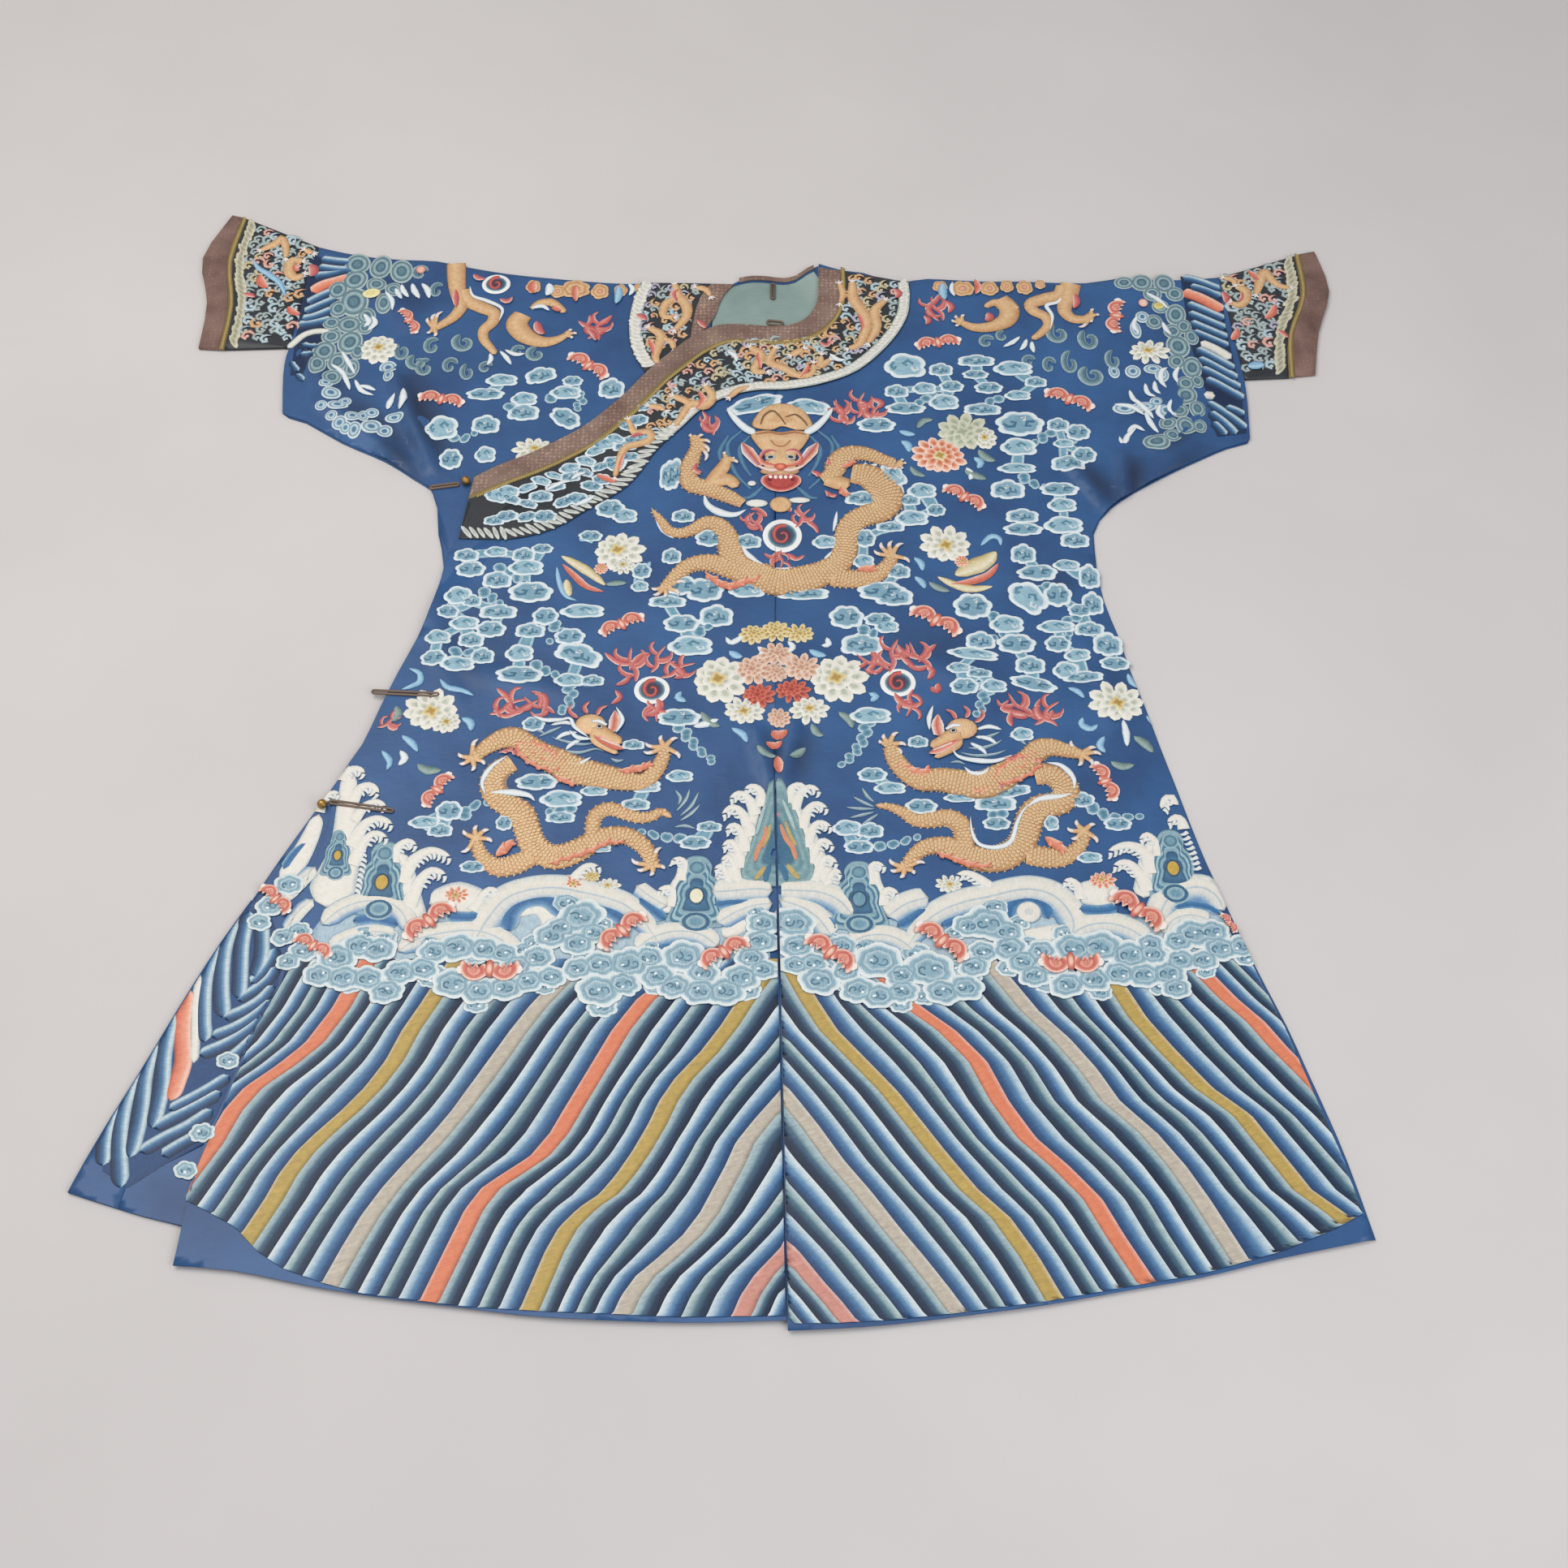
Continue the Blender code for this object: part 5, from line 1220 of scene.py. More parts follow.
# x, y, width, height and, for some, a turn in degrees
CLOUDS = (
    (-367, 314, 26, 20), (-361, 294, 30, 22), (-333, 319, 24, 16), (-301, 314, 24, 22),
    (-280, 324, 22, 14), (-297, 295, 36, 24), (-329, 277, 30, 26), (-290, 260, 44, 28),
    (-372, 254, 28, 26), (-356, 247, 20, 18), (-382, 232, 22, 18), (-362, 215, 30, 20),
    (-325, 231, 38, 22), (-332, 207, 30, 22), (-390, 193, 26, 20), (-353, 191, 26, 22),
    (-393, 165, 26, 20), (-365, 156, 34, 22), (-339, 168, 24, 24), (-271, 225, 26, 24),
    (-229, 232, 44, 20), (-287, 204, 30, 22), (-242, 196, 30, 22), (-297, 172, 28, 24),
    (-231, 169, 48, 30, -20), (-295, 142, 46, 24), (-239, 134, 30, 20), (-214, 134, 24, 16),
    (-116, 215, 36, 24), (-105, 182, 44, 28), (-77, 224, 34, 32), (-116, 84, 42, 22),
    (-113, 5, 26, 16), (-130, 312, 20, 24), (-164, 291, 20, 22), (-165, 268, 18, 16),
    (-133, 246, 38, 18), (-91, 263, 38, 32), (-344, 590, 34, 20), (-297, 598, 34, 26, 20),
    (-363, 568, 40, 18), (-315, 559, 28, 22), (-315, 537, 34, 28), (-258, 590, 22, 16),
    (-265, 570, 34, 22), (-210, 576, 28, 34), (-264, 529, 36, 26, -40), (-411, 511, 34, 38),
    (-359, 517, 30, 30), (-397, 463, 24, 30), (-356, 469, 22, 26), (-136, 433, 20, 46),
    (-204, 385, 30, 26), (-186, 373, 26, 22), (-118, 373, 24, 20), (-225, 343, 24, 16),
    (-240, -25, 40, 22), (-240, -48, 28, 16), (-360, -40, 26, 24), (-385, -55, 30, 16),
    (-368, -65, 24, 18), (-330, -110, 24, 14), (-195, -88, 20, 10), (-80, -60, 24, 14),
    (-95, -80, 30, 16), (-150, -8, 30, 18), (228, -30, 40, 22), (228, -55, 26, 16),
    (68, -62, 28, 20), (92, -65, 26, 20), (80, -85, 28, 16), (115, -10, 30, 16),
    (322, -25, 24, 20), (358, -55, 26, 16), (325, -98, 24, 14), (277, 316, 26, 30),
    (291, 288, 40, 22), (326, 298, 28, 16), (351, 282, 22, 36), (313, 257, 28, 32),
    (278, 252, 44, 36, -45), (352, 243, 22, 34), (337, 235, 24, 18), (309, 211, 38, 18),
    (346, 207, 30, 22), (309, 187, 26, 22), (330, 170, 26, 18), (365, 184, 30, 34),
    (371, 159, 30, 18), (316, 149, 26, 24), (334, 140, 40, 16), (215, 240, 38, 34),
    (253, 214, 34, 26), (222, 190, 30, 26), (262, 187, 38, 26), (213, 172, 50, 16, -8),
    (276, 156, 30, 26), (278, 131, 46, 18, -15), (196, 151, 24, 16), (218, 144, 26, 14),
    (201, 127, 28, 20), (234, 127, 26, 18), (126, 253, 38, 28), (108, 221, 30, 18),
    (117, 210, 24, 18), (88, 184, 42, 32), (71, 224, 34, 30), (96, 86, 40, 22),
    (147, 51, 20, 16), (96, 8, 28, 18), (149, 612, 44, 40), (192, 607, 26, 22),
    (204, 580, 26, 18), (171, 576, 26, 20), (137, 571, 26, 22), (147, 544, 42, 18),
    (194, 553, 32, 26), (236, 622, 40, 20), (234, 600, 28, 14), (281, 609, 42, 24),
    (307, 587, 24, 18), (249, 578, 30, 18), (284, 565, 28, 16), (240, 542, 40, 20),
    (284, 519, 50, 36), (281, 481, 38, 28), (330, 517, 24, 22), (353, 506, 26, 24),
    (335, 488, 22, 14), (338, 455, 36, 26), (358, 470, 26, 24), (277, 448, 40, 16),
    (264, 414, 36, 30), (325, 416, 40, 20), (327, 391, 30, 22), (279, 374, 34, 22),
    (279, 355, 40, 18), (327, 360, 40, 26), (338, 337, 30, 24), (111, 517, 40, 22),
    (163, 412, 30, 24), (147, 398, 24, 18), (178, 383, 20, 18), (150, 370, 34, 24),
    (124, 357, 30, 16), (-118, 270, 34, 26), (-42, 262, 36, 22), (22, 258, 52, 20),
    (112, 262, 48, 26), (130, 435, 24, 40, 25), (-128, 440, 22, 40), (-35, 550, 60, 24, 20),
    (30, 545, 46, 24, -10), (92, 400, 36, 22), (94, 340, 22, 26), (48, 334, 26, 20),
    (-42, 334, 28, 22), (-86, 340, 30, 24), (92, 305, 22, 20), (132, 290, 24, 22),
    (-268, -2, 40, 20), (-205, -14, 26, 14), (-160, -32, 28, 16), (148, -33, 30, 18),
    (190, -22, 30, 12), (246, -14, 38, 16, 12), (-276, 75, 22, 18), (262, 62, 22, 18),
    (-165, 47, 22, 14), (-300, -55, 16, 18), (287, -55, 14, 20),
)
# x y pairs along the tails of the clouds
TAILS = (
    (-240, 128, -236, 112, -240, 100, -248, 92), (-118, 76, -108, 62, -96, 44, -86, 34, -77, 25),
    (-258, 580, -250, 568, -245, 560, -252, 545), (-400, 500, -390, 496, -382, 496, -374, 505),
    (-100, -76, -112, -74, -130, -72, -150, -66), (70, -82, 95, -84, 120, -80, 140, -72),
    (226, 122, 222, 112, 218, 100, 215, 90), (92, 78, 88, 60, 80, 42, 65, 22),
    (330, -32, 340, -40, 352, -46, 380, -45), (-345, -45, -338, -36, -334, -32, -322, -28),
    (318, 505, 312, 500, 306, 492, 296, 488), (282, 436, 288, 430, 296, 424, 306, 420),
    (-330, 297, -315, 290, -308, 282, -300, 274), (-345, 262, -338, 256, -330, 248, -322, 240),
    (-262, 215, -255, 205, -250, 200, -262, 190), (-280, 158, -270, 150, -255, 142, -246, 138),
    (300, 270, 292, 262, 286, 258, 280, 262), (330, 225, 322, 220, 318, 214, 322, 196),
    (236, 228, 242, 222, 246, 204, 240, 196), (-372, 176, -366, 172, -358, 174, -350, 176),
    (-232, -36, -240, -38, -246, -38, -250, -40), (232, -42, 228, -42, 226, -44, 222, -46),
    (88, 208, 92, 202, 98, 200, 104, 204), (-98, 202, -92, 208, -86, 212, -82, 212),
    (258, 560, 250, 556, 246, 552, 244, 548), (170, 560, 166, 554, 160, 550, 154, 548),
    (-285, 560, -280, 566, -276, 570, -272, 572), (-335, 548, -325, 545, -318, 545, -312, 545),
)


# bumps, dent of the foot, lean, fill, dark floss, then x, y, reach and start of each coil
LOBES = (
    (6, 0.30, 0.2, "#84A7B7", "#4A778E", ((-6.4, -0.4, 4.2, 0.4), (5.6, 0.6, 4.6, 2.6),
                                          (-0.4, 4.4, 3.2, 4.0), (0.0, -3.8, 2.6, 1.0))),
    (7, 0.12, 0.9, "#7BA0B1", "#43708A", ((5.8, -1.2, 4.4, 0.9), (-5.0, 1.2, 5.0, 3.4),
                                          (1.2, 5.0, 3.0, 5.2))),
    (5, 0.26, 0.0, "#91B3C1", "#56859B", ((-7.0, 0.2, 3.8, 1.8), (0.6, 1.6, 4.6, 0.2),
                                          (7.2, -0.6, 3.6, 3.0))),
)
STEM_REACH = 36.0                # clouds that lie nearer than this are joined
STEM_BEND = 3.0


def draw_lobe(work, bumps, dent, lean, fill, deep, coils):
    """A cloud lobe: a scalloped white edge, grey-blue floss and a few darker and paler coils."""
    outline = cloud_outline(*LOBE, bumps, dent, lean, count=32)
    layers = ((1.0, "#7896A8"), (0.94, "#E4ECEC"), (0.76, "#C6D6DC"), (0.70, fill))
    onion(work, outline, (0, 0), layers, lift=0.0, puff=0.9, angle=90)
    for n, (x, y, reach, start) in enumerate(coils):
        line = spiral(reach, 0.8, 6, start=start) + (x, y)
        work.band(line, [1.9, 2.3, 1.6], "#C6D6DB" if n % 3 == 2 else deep, lift=1.0, puff=0.15)


lobes = [motif("cloud_lobe", draw_lobe, *row) for row in LOBES]


CURL_SIZE = (10.0, 9.0)


def draw_curl(work):
    """One round curl of the clouds' tails."""
    onion(work, oval(*CURL_SIZE, 9), (0, 0),
          ((1.0, "#7896A8"), (0.88, "#C3D4DA"), (0.66, "#7DA3B4"), (0.3, "#527F95")),
          lift=0.0, puff=0.7, angle=90)


STEM = ((-1.0, "#9DBAC6"), (-0.7, "#C0D3DA"), (-0.5, "#79A4B4"), (0.4, "#6A97AB"), (0.62, "#A9C4CE"),
        (1.0, "#8FB0BE"))
table = np.array([row if len(row) == 5 else (*row, 0.0) for row in CLOUDS], float)
places = table[:, :2]
stems = Embroidery("cloud_stems")
for n, (x, y) in enumerate(places):
    away = np.hypot(*(places - (x, y)).T)
    for m in np.argsort(away)[1:3]:
        if away[m] < STEM_REACH:
            bend = (STEM_BEND * math.sin(x), STEM_BEND * math.cos(y))
            stems.band(np.array([places[n], (places[n] + places[m]) / 2 + bend, places[m]]),
                       [13, 11, 13], STEM, lift=0.25, puff=0.6)
stems.build(SILK_STITCH)
tails = []
for numbers in TAILS:
    line = smooth(pairs(numbers), 7.0)
    for n, (x, y) in enumerate(line):
        swell = 1.55 - 0.6 * n / len(line)
        tails.append((x + 2.2 * (-1) ** n, y, 10.5 * swell, 9.0 * swell, 24.0 * n))
scatter("cloud_tails", tails, motif("cloud_curl", draw_curl), CURL_SIZE, SILK_STITCH, lift=0.35,
        step=0.0008)
for n, shape in enumerate(lobes):
    scatter("clouds_%d" % (n + 1), table[n::3], shape, LOBE, SILK_STITCH, lift=0.5 + 0.12 * n, size=1.24)


# %% [markdown]
# ## Dragons
# The dragons are couched gold: pairs of gold thread laid side by side and stitched down. A
# body is a swelling band, so each one is a path with a width at every point. Scales are set
# along it by Geometry Nodes. Legs end in a paw with five claws, and coral flames, white fins
# and a grey mane are laid beside the gold.

# %% Gold bodies, paws, flames and pearls
GOLD = ((-1.0, "#A37E57"), (-0.80, "#CBA274"), (-0.2, "#DDB98E"), (0.35, "#D3AB7E"), (0.82, "#BE946A"),
        (1.0, "#8F6C4C"))
FLAME = ((-1.0, "#E6C4BA"), (-0.45, "#CF8279"), (0.3, "#BC6260"), (1.0, "#A04E54"))
BLUSH = ((-1.0, "#B5654F"), (-0.3, "#CC6E5A"), (0.4, "#DC9180"), (1.0, "#E9C3B2"))
CORAL = ((-1.0, "#BC6A50"), (-0.3, "#D47F62"), (0.4, "#E29E85"), (1.0, "#E8C3AE"))
WHITE_FIN = ((-1.0, "#9FB7C4"), (-0.4, "#E6EBEA"), (0.5, "#DFE5E6"), (1.0, "#A8B8C4"))
MANE = ((-1.0, "#3E5C74"), (-0.2, "#87A3AE"), (0.4, "#B9C8CA"), (1.0, "#4A6B82"))
CLAW = ((-1.0, "#B9A7A0"), (0.0, "#F0ECE8"), (1.0, "#B9A7A0"))
SCALE = (6.0, 6.0)


SCALE_PITCH, FIN_PITCH = 5.0, 6.0
SCALE_SIZE = (6.0, 5.6)
SCALE_EDGE = 3.0                 # no scales this near to a body's edge
FIN = (3.8, 5.4)
FIN_LEAN = 62.0
scales, fins = [], []


def scale_rows(path, widths, lift, puff):
    """Rows of scales along a body: x, y, width, height, turn and lift, staggered row by row."""
    line = smooth(path, SCALE_PITCH * 0.8)
    ahead, left = headings(line)
    wide, turn = spread(widths, len(line)), degrees_of(ahead)
    for n in range(1, len(line) - 1):
        count = int((wide[n] - SCALE_EDGE) / SCALE_PITCH)
        for k in range(count):
            off = (k - (count - 1) / 2 + 0.5 * (n % 2) - 0.25) * SCALE_PITCH
            rise = 1.0 - min(1.0, (2.0 * off / max(wide[n], 1.0)) ** 2)
            yield (*(line[n] + left[n] * off), *SCALE_SIZE, turn[n], lift + puff * rise)


def fin_rows(path, widths):
    """Rows of small points along both edges of a body: x, y, width, height and turn."""
    line = smooth(path, FIN_PITCH)[1:-1]
    ahead, left = headings(line)
    half = 0.5 * spread(widths, len(line))
    for way in (-1.0, 1.0):
        for place, turn in zip(line + left * (way * half)[:, None], degrees_of(ahead)):
            yield (*place, *FIN, turn + FIN_LEAN * way)


def gold(work, numbers, widths, lift=1.0, puff=1.5, scaly=False):
    """A couched gold band along x y pairs; its scales and fins are gathered in their lists."""
    path = pairs(numbers)
    work.band(path, widths, GOLD, lift=lift, puff=puff, step=3.5, taper=(0.0, 0.03))
    if scaly:
        scales.extend(scale_rows(path, widths, lift, puff))
        fins.extend(fin_rows(path, widths))


def paw(work, x, y, tips):
    """Five toes that spread from a point to the tips of their claws."""
    heel = np.array([x, y])
    for tip in pairs(tips):
        reach = tip - heel
        middle = heel + 0.55 * reach + np.array([-reach[1], reach[0]]) * 0.14
        work.band([heel, middle, middle + 0.2 * reach], [8.0, 6.0, 5.0], GOLD, lift=1.6, puff=0.8,
                  step=2.5, taper=(0.0, 0.1))
        work.band([middle, middle + 0.25 * reach, tip], [5.5, 4.6, 2.4], CLAW, lift=1.9, puff=0.6,
                  step=2.0, taper=(0.1, 0.25))


def flame(work, path, width, lift=0.5):
    """A tongue of coral flame, broad at its root."""
    work.band(path, np.array([1.0, 0.8, 0.35]) * width, FLAME, lift=lift, puff=0.6, step=3.0,
              taper=(0.25, 0.12))


def burning(work, x, y, size, turn, lift):
    """A branched flame: a wavering stem with curled tongues on both sides, like coral."""
    tongues = [np.array([(0, -0.5), (0.06, -0.2), (-0.05, 0.1), (0.05, 0.5)])]
    for n, (px, py) in enumerate(((0.04, -0.3), (-0.02, -0.08), (0.0, 0.14), (-0.04, 0.0))):
        side = 1.0 if n % 2 else -1.0
        tongues.append(np.array([(px, py), (px + 0.2 * side, py + 0.04), (px + 0.34 * side, py + 0.22),
                                 (px + 0.28 * side, py + 0.4)]))
    for path in tongues:
        flame(work, turned(path, turn, size, (x, y)), 0.15 * size, lift=lift)


PEARL_SILKS = ((1.0, "#B9C8D2"), (0.96, "#EFF1EE"), (0.74, "#E3E8E6"), (0.72, "#7C99A0"), (0.58, "#3D5E78"),
               (0.4, "#4A3A4C"))
COIL = ((-1.0, "#8E2F35"), (0.0, "#C8675A"), (1.0, "#A33E3F"))


def pearl(work, x, y, wide, high):
    """A flaming pearl: white ring, blue ground and a red coil."""
    bead(work, x, y, wide, high, 26, PEARL_SILKS, lift=0.7, puff=0.9)
    work.band(spiral(0.30 * wide, 1.2, 12, 1.2) * (0.9, 1.15) + (x, y), [5.5, 4.5, 3.0], COIL,
              lift=1.5, puff=0.4, step=2.5)


dragons = Embroidery("couched_gold_dragons")
trim = Embroidery("dragon_fins_and_flames")


def accent(shades, width, path, lift):
    """A coral accent: a wavy band with short lobes that lean out on both sides."""
    trim.band(path, np.array([0.4, 0.8, 0.4]) * width, shades, lift=lift, puff=0.6, step=3.0,
              taper=(0.2, 0.2))
    line = smooth(path, 7.0)
    ahead, left = headings(line)
    for n in range(1, len(line) - 1):
        tip = line[n] + left[n] * (-1) ** n * (0.34 * width + 1.6) + ahead[n] * 5.0
        trim.band([line[n], 0.5 * (line[n] + tip) - ahead[n], tip], [5.0, 4.6, 3.0], shades,
                  lift=lift + 0.3, puff=0.4, step=3.0, taper=(0.0, 0.3))


# %% The dragon that faces forward, on the chest
FRONT_BODY = (80, 440, 100, 436, 116, 420, 122, 400, 114, 383, 98, 376, 82, 366, 74, 350, 72, 330, 68, 312,
              58, 298, 40, 286, 20, 279, 0, 275, -20, 279, -40, 290, -56, 303, -62, 320, -66, 340,
              -75, 358, -90, 364, -105, 354, -120, 348, -134, 352, -143, 366, -156, 386)
gold(dragons, FRONT_BODY, (30, 36, 40, 40, 34, 30, 28, 28, 28, 30, 34, 38, 40, 40, 38, 34, 30, 28, 26, 22,
                           18, 15, 13, 10, 5), scaly=True)
gold(dragons, (-18, 284, -50, 292, -78, 302, -95, 304, -110, 299, -122, 287, -132, 273, -138, 264),
     (34, 34, 28, 22, 18, 14), lift=0.8, scaly=True)
gold(dragons, (55, 284, 80, 280, 100, 284, 114, 293, 122, 305, 126, 318), (30, 26, 24, 18, 14), lift=0.8,
     scaly=True)
gold(dragons, (44, 430, 58, 440, 64, 458, 76, 470, 96, 471, 116, 462, 134, 455), (14, 26, 26, 22, 18, 14),
     lift=1.6, scaly=True)
gold(dragons, (50, 430, 66, 424, 78, 420), (20, 22, 18), lift=1.9)
gold(dragons, (-48, 392, -66, 404, -90, 416, -110, 424, -114, 444, -109, 464, -105, 482, -109, 500),
     (14, 20, 22, 24, 22, 20, 15, 10), lift=1.2, scaly=True)
gold(dragons, (-90, 420, -80, 436, -71, 452, -68, 466), (16, 18, 17, 10), lift=1.5)
gold(dragons, (-90, 424, -68, 430, -54, 418), (14, 20, 12), lift=1.3)
for x, y, tips in ((136, 455, (143, 462, 146, 455, 140, 446, 130, 446, 120, 448)),
                   (-107, 492, (-112, 502, -96, 500, -88, 487, -90, 472, -94, 458)),
                   (-68, 462, (-70, 474, -58, 462, -55, 455)),
                   (-136, 268, (-152, 266, -150, 256, -138, 252, -120, 256, -112, 274)),
                   (124, 314, (104, 322, 113, 334, 126, 336, 139, 332, 145, 303))):
    paw(dragons, x, y, tips)
for shades, width, numbers in (
        (CORAL, 13, (-92, 290, -78, 276, -62, 268, -42, 276, -24, 280)),
        (CORAL, 14, (84, 292, 94, 294, 108, 292)), (CORAL, 10, (62, 452, 76, 452, 84, 462)),
        (CORAL, 13, (66, 418, 70, 410, 74, 402)), (FLAME, 7, (48, 412, 56, 404, 62, 402)),
        (FLAME, 8, (-104, 456, -106, 446, -98, 436)), (FLAME, 9, (32, 442, 40, 438, 46, 434)),
        (FLAME, 7, (52, 462, 55, 452, 60, 446))):
    accent(shades, width, pairs(numbers), lift=2.3)
CREST_SHARES = (0.4, 1.0, 0.4)
strokes(trim, (
    (WHITE_FIN, 9, (84, 450, 104, 448, 124, 438, 138, 418, 141, 402)),
    (WHITE_FIN, 8, (96, 458, 100, 450, 112, 456)),
    (WHITE_FIN, 11, (-94, 408, -90, 392, -76, 380, -58, 376, -44, 384)),
    (WHITE_FIN, 5, (62, 382, 60, 366, 57, 350)), (WHITE_FIN, 7, (-150, 368, -140, 352, -128, 340)),
    (WHITE_FIN, 8, (-50, 330, -42, 316, -30, 304, -20, 300)),
    (WHITE_FIN, 6, (56, 322, 50, 312, 44, 302)), (WHITE_FIN, 7, (-12, 296, 0, 294, 10, 298)),
), CREST_SHARES, lift=0.6, puff=0.6)

# %% Its head: mane behind, horns and ears, then crown, snout, eyes and mouth
HEAD_X = -4
BONE = ((1.0, "#8C6A4B"), (0.93, "#CFA67A"), (0.5, "#DFBC93"), (0.3, "#D5AE82"))
CROWN = ((1.0, "#8C6A4B"), (0.94, "#D2A97C"), (0.5, "#DEBB92"), (0.3, "#D2A97C"))
STRAND = ((-1.0, "#2F5578"), (0.0, "#5C89A3"), (1.0, "#3A6286"))
EAR = ((-1.0, "#E8E4E0"), (-0.5, "#C79C9C"), (0.1, "#B65347"), (0.6, "#D9A48F"), (1.0, "#E6D6CB"))
LIP = ((-1.0, "#C99A86"), (0.0, "#EADBD0"), (1.0, "#C99A86"))
for side in (-1, 1):
    for numbers in ((46, 508, 62, 488, 60, 462, 50, 436, 34, 416), (36, 500, 48, 480, 44, 456, 34, 436),
                    (20, 420, 34, 404, 44, 402), (62, 500, 72, 474, 66, 448)):
        trim.band(pairs(numbers) * (side, 1) + (-5, 0), [3, 7, 3], STRAND, lift=0.35, puff=0.4)
    trim.band(pairs((29, 500, 42, 509, 54, 524, 64, 541)) * (side, 1) + (-5, 2), [11, 10, 8, 5], WHITE_FIN,
              lift=2.2, puff=0.9, step=3.0, taper=(0.1, 0.15))
    trim.band(pairs((46, 488, 38, 474, 28, 458, 23, 448)) * (side, 1) + (-5, 0), [9, 15, 13, 7], EAR,
              lift=1.9, puff=0.8, step=3.0, taper=(0.3, 0.1))


onion(dragons, smooth(pairs((-38, 514, -32, 534, -18, 548, 0, 551, 18, 546, 30, 530, 34, 512, 16, 508,
                             -2, 514, -16, 508)), 4, True), (-2, 526), CROWN, lift=1.4, puff=1.2)
for numbers in ((-28, 516, -24, 530, -14, 538, -6, 530, 2, 516), (2, 528, 14, 532, 24, 522, 28, 514)):
    trim.band(pairs(numbers), [1.6, 2.6, 1.6], "#7B5A41", lift=3.0, puff=0.2, step=3.0)
for numbers in ((-34, 500, -18, 503, -4, 500, 12, 503, 26, 500),
                (-16, 490, -10, 482, -4, 480, 2, 482, 8, 490)):
    trim.band(pairs(numbers), [1.4, 2.2, 1.4], "#A86E4C", lift=3.4, puff=0.2, step=3.0)
onion(dragons, smooth(pairs((-40, 502, -22, 507, -4, 504, 14, 507, 31, 502, 25, 484, 15, 468, 14, 450,
                             18, 440, -4, 436, -28, 440, -22, 452, -24, 470, -34, 486)), 4, True),
      (HEAD_X, 478), BONE, lift=2.0, puff=1.4)
for side in (-1, 1):
    for shades, widths, numbers in ((FLAME, (3.0, 5.5, 4.0), (5, 472, 12, 475, 20, 472, 24, 464)),
                                    (BLUSH, (4.0, 7.0, 4.0), (6, 450, 14, 452, 22, 456, 25, 464))):
        trim.band(pairs(numbers) * (side, 1) + (HEAD_X, 0), widths, shades, lift=3.0, step=3.0)
    bead(trim, HEAD_X + 12 * side, 463, 13, 8, 12,
         ((1.0, "#7E4536"), (0.84, "#AEB2AF"), (0.6, "#C3C6C4"), (0.5, "#22303C")), lift=3.2,
         lean=-14 * side)
    trim.band(pairs((2, 446, 10, 443, 20, 446, 27, 450)) * (side, 1) + (HEAD_X, 0), [7.0, 6.0, 3.0], LIP,
              lift=3.2, puff=0.6, step=3.0)
bead(trim, HEAD_X, 448, 15, 11, 12, ((1.0, "#A53A35"), (0.6, "#D66A50"), (0.3, "#E58C70")), lift=3.8,
     puff=1.0)
onion(trim, smooth(pairs((-25, 434, -12, 438, -4, 436, 5, 438, 18, 434, 20, 424, 10, 414, -4, 410, -18, 414,
                          -27, 424)), 4, True), (HEAD_X, 425),
      ((1.0, "#E3B7A7"), (0.86, "#C9665B"), (0.72, "#9E3538"), (0.5, "#B04A45")), lift=2.6, puff=1.0)
for x in (-16, -10, -4, 2, 8):
    bead(trim, x, 432, 5.0, 6.5, 7, ((1.0, "#C99A8E"), (0.7, "#EFE6DF")), lift=3.6, puff=0.4)
for x in (-17, 10):
    bead(trim, x, 428, 7, 9, 10, ((1.0, "#C9665B"), (0.7, "#7C2328")), lift=3.6, puff=0.3)
for x, y, wide, high in ((-38, 424, 10, 8), (-32, 393, 26, 12), (18, 398, 26, 9)):
    bead(trim, x, y, wide, high, 12, ((1.0, "#B7BDB9"), (0.7, "#E2E2DA")), lift=1.3, puff=0.7)
bead(dragons, HEAD_X, 391, 26, 24, 16, ((1.0, "#9D7B54"), (0.8, "#D8B184")), lift=1.6, puff=1.0)
pearl(trim, -2, 344, 46, 50)
for numbers in ((-26, 362, -38, 358, -44, 370, -34, 380), (-20, 372, -30, 384, -40, 384),
                (12, 384, 22, 374, 32, 362), (26, 368, 36, 358, 40, 348), (8, 380, 4, 392, 10, 398),
                (-4, 322, -14, 312, -24, 318), (-8, 318, -14, 306, -12, 298), (4, 318, 14, 310, 24, 316)):
    flame(trim, pairs(numbers), 8.0)

# %% The two dragons in profile, over the waves
LEFT_DRAGON = (
    ((-338, 30, -325, 45, -308, 56, -294, 57, -282, 48, -266, 36, -248, 25, -228, 14, -206, 8, -186, 3,
      -168, -1, -152, -1, -140, 12, -133, 28, -130, 42), (13, 20, 27, 26, 28, 34, 35, 33, 30, 24,
                                                          20, 17, 13), 1.5),
    ((-296, 24, -310, 14, -316, -2, -310, -20, -296, -32, -282, -42, -275, -62, -266, -84, -246, -98,
      -224, -92, -204, -79, -184, -71, -166, -72, -150, -84, -142, -98, -138, -110),
     (24, 27, 28, 28, 28, 28, 29, 30, 27, 24, 21, 18, 14), 0.9),
    ((-203, -80, -205, -62, -202, -44, -188, -36, -172, -42, -156, -48, -142, -46, -132, -40,
      -120, -48), (16, 16, 17, 16, 14, 12, 5), 0.7),
    ((-268, -98, -288, -108, -304, -110, -318, -100, -326, -86, -330, -70), (22, 25, 23, 17, 14, 11),
     0.6),
)
LEFT_PAWS = (
    (-340, 30, (-356, 36, -354, 22, -340, 12, -326, 20, -335, 55)),
    (-131, 44, (-152, 50, -154, 38, -134, 60, -116, 56, -114, 28)),
    (-139, -108, (-162, -100, -156, -114, -142, -122, -126, -114, -130, -86)),
    (-329, -74, (-343, -64, -328, -58, -315, -64, -311, -80, -344, -92)),
)
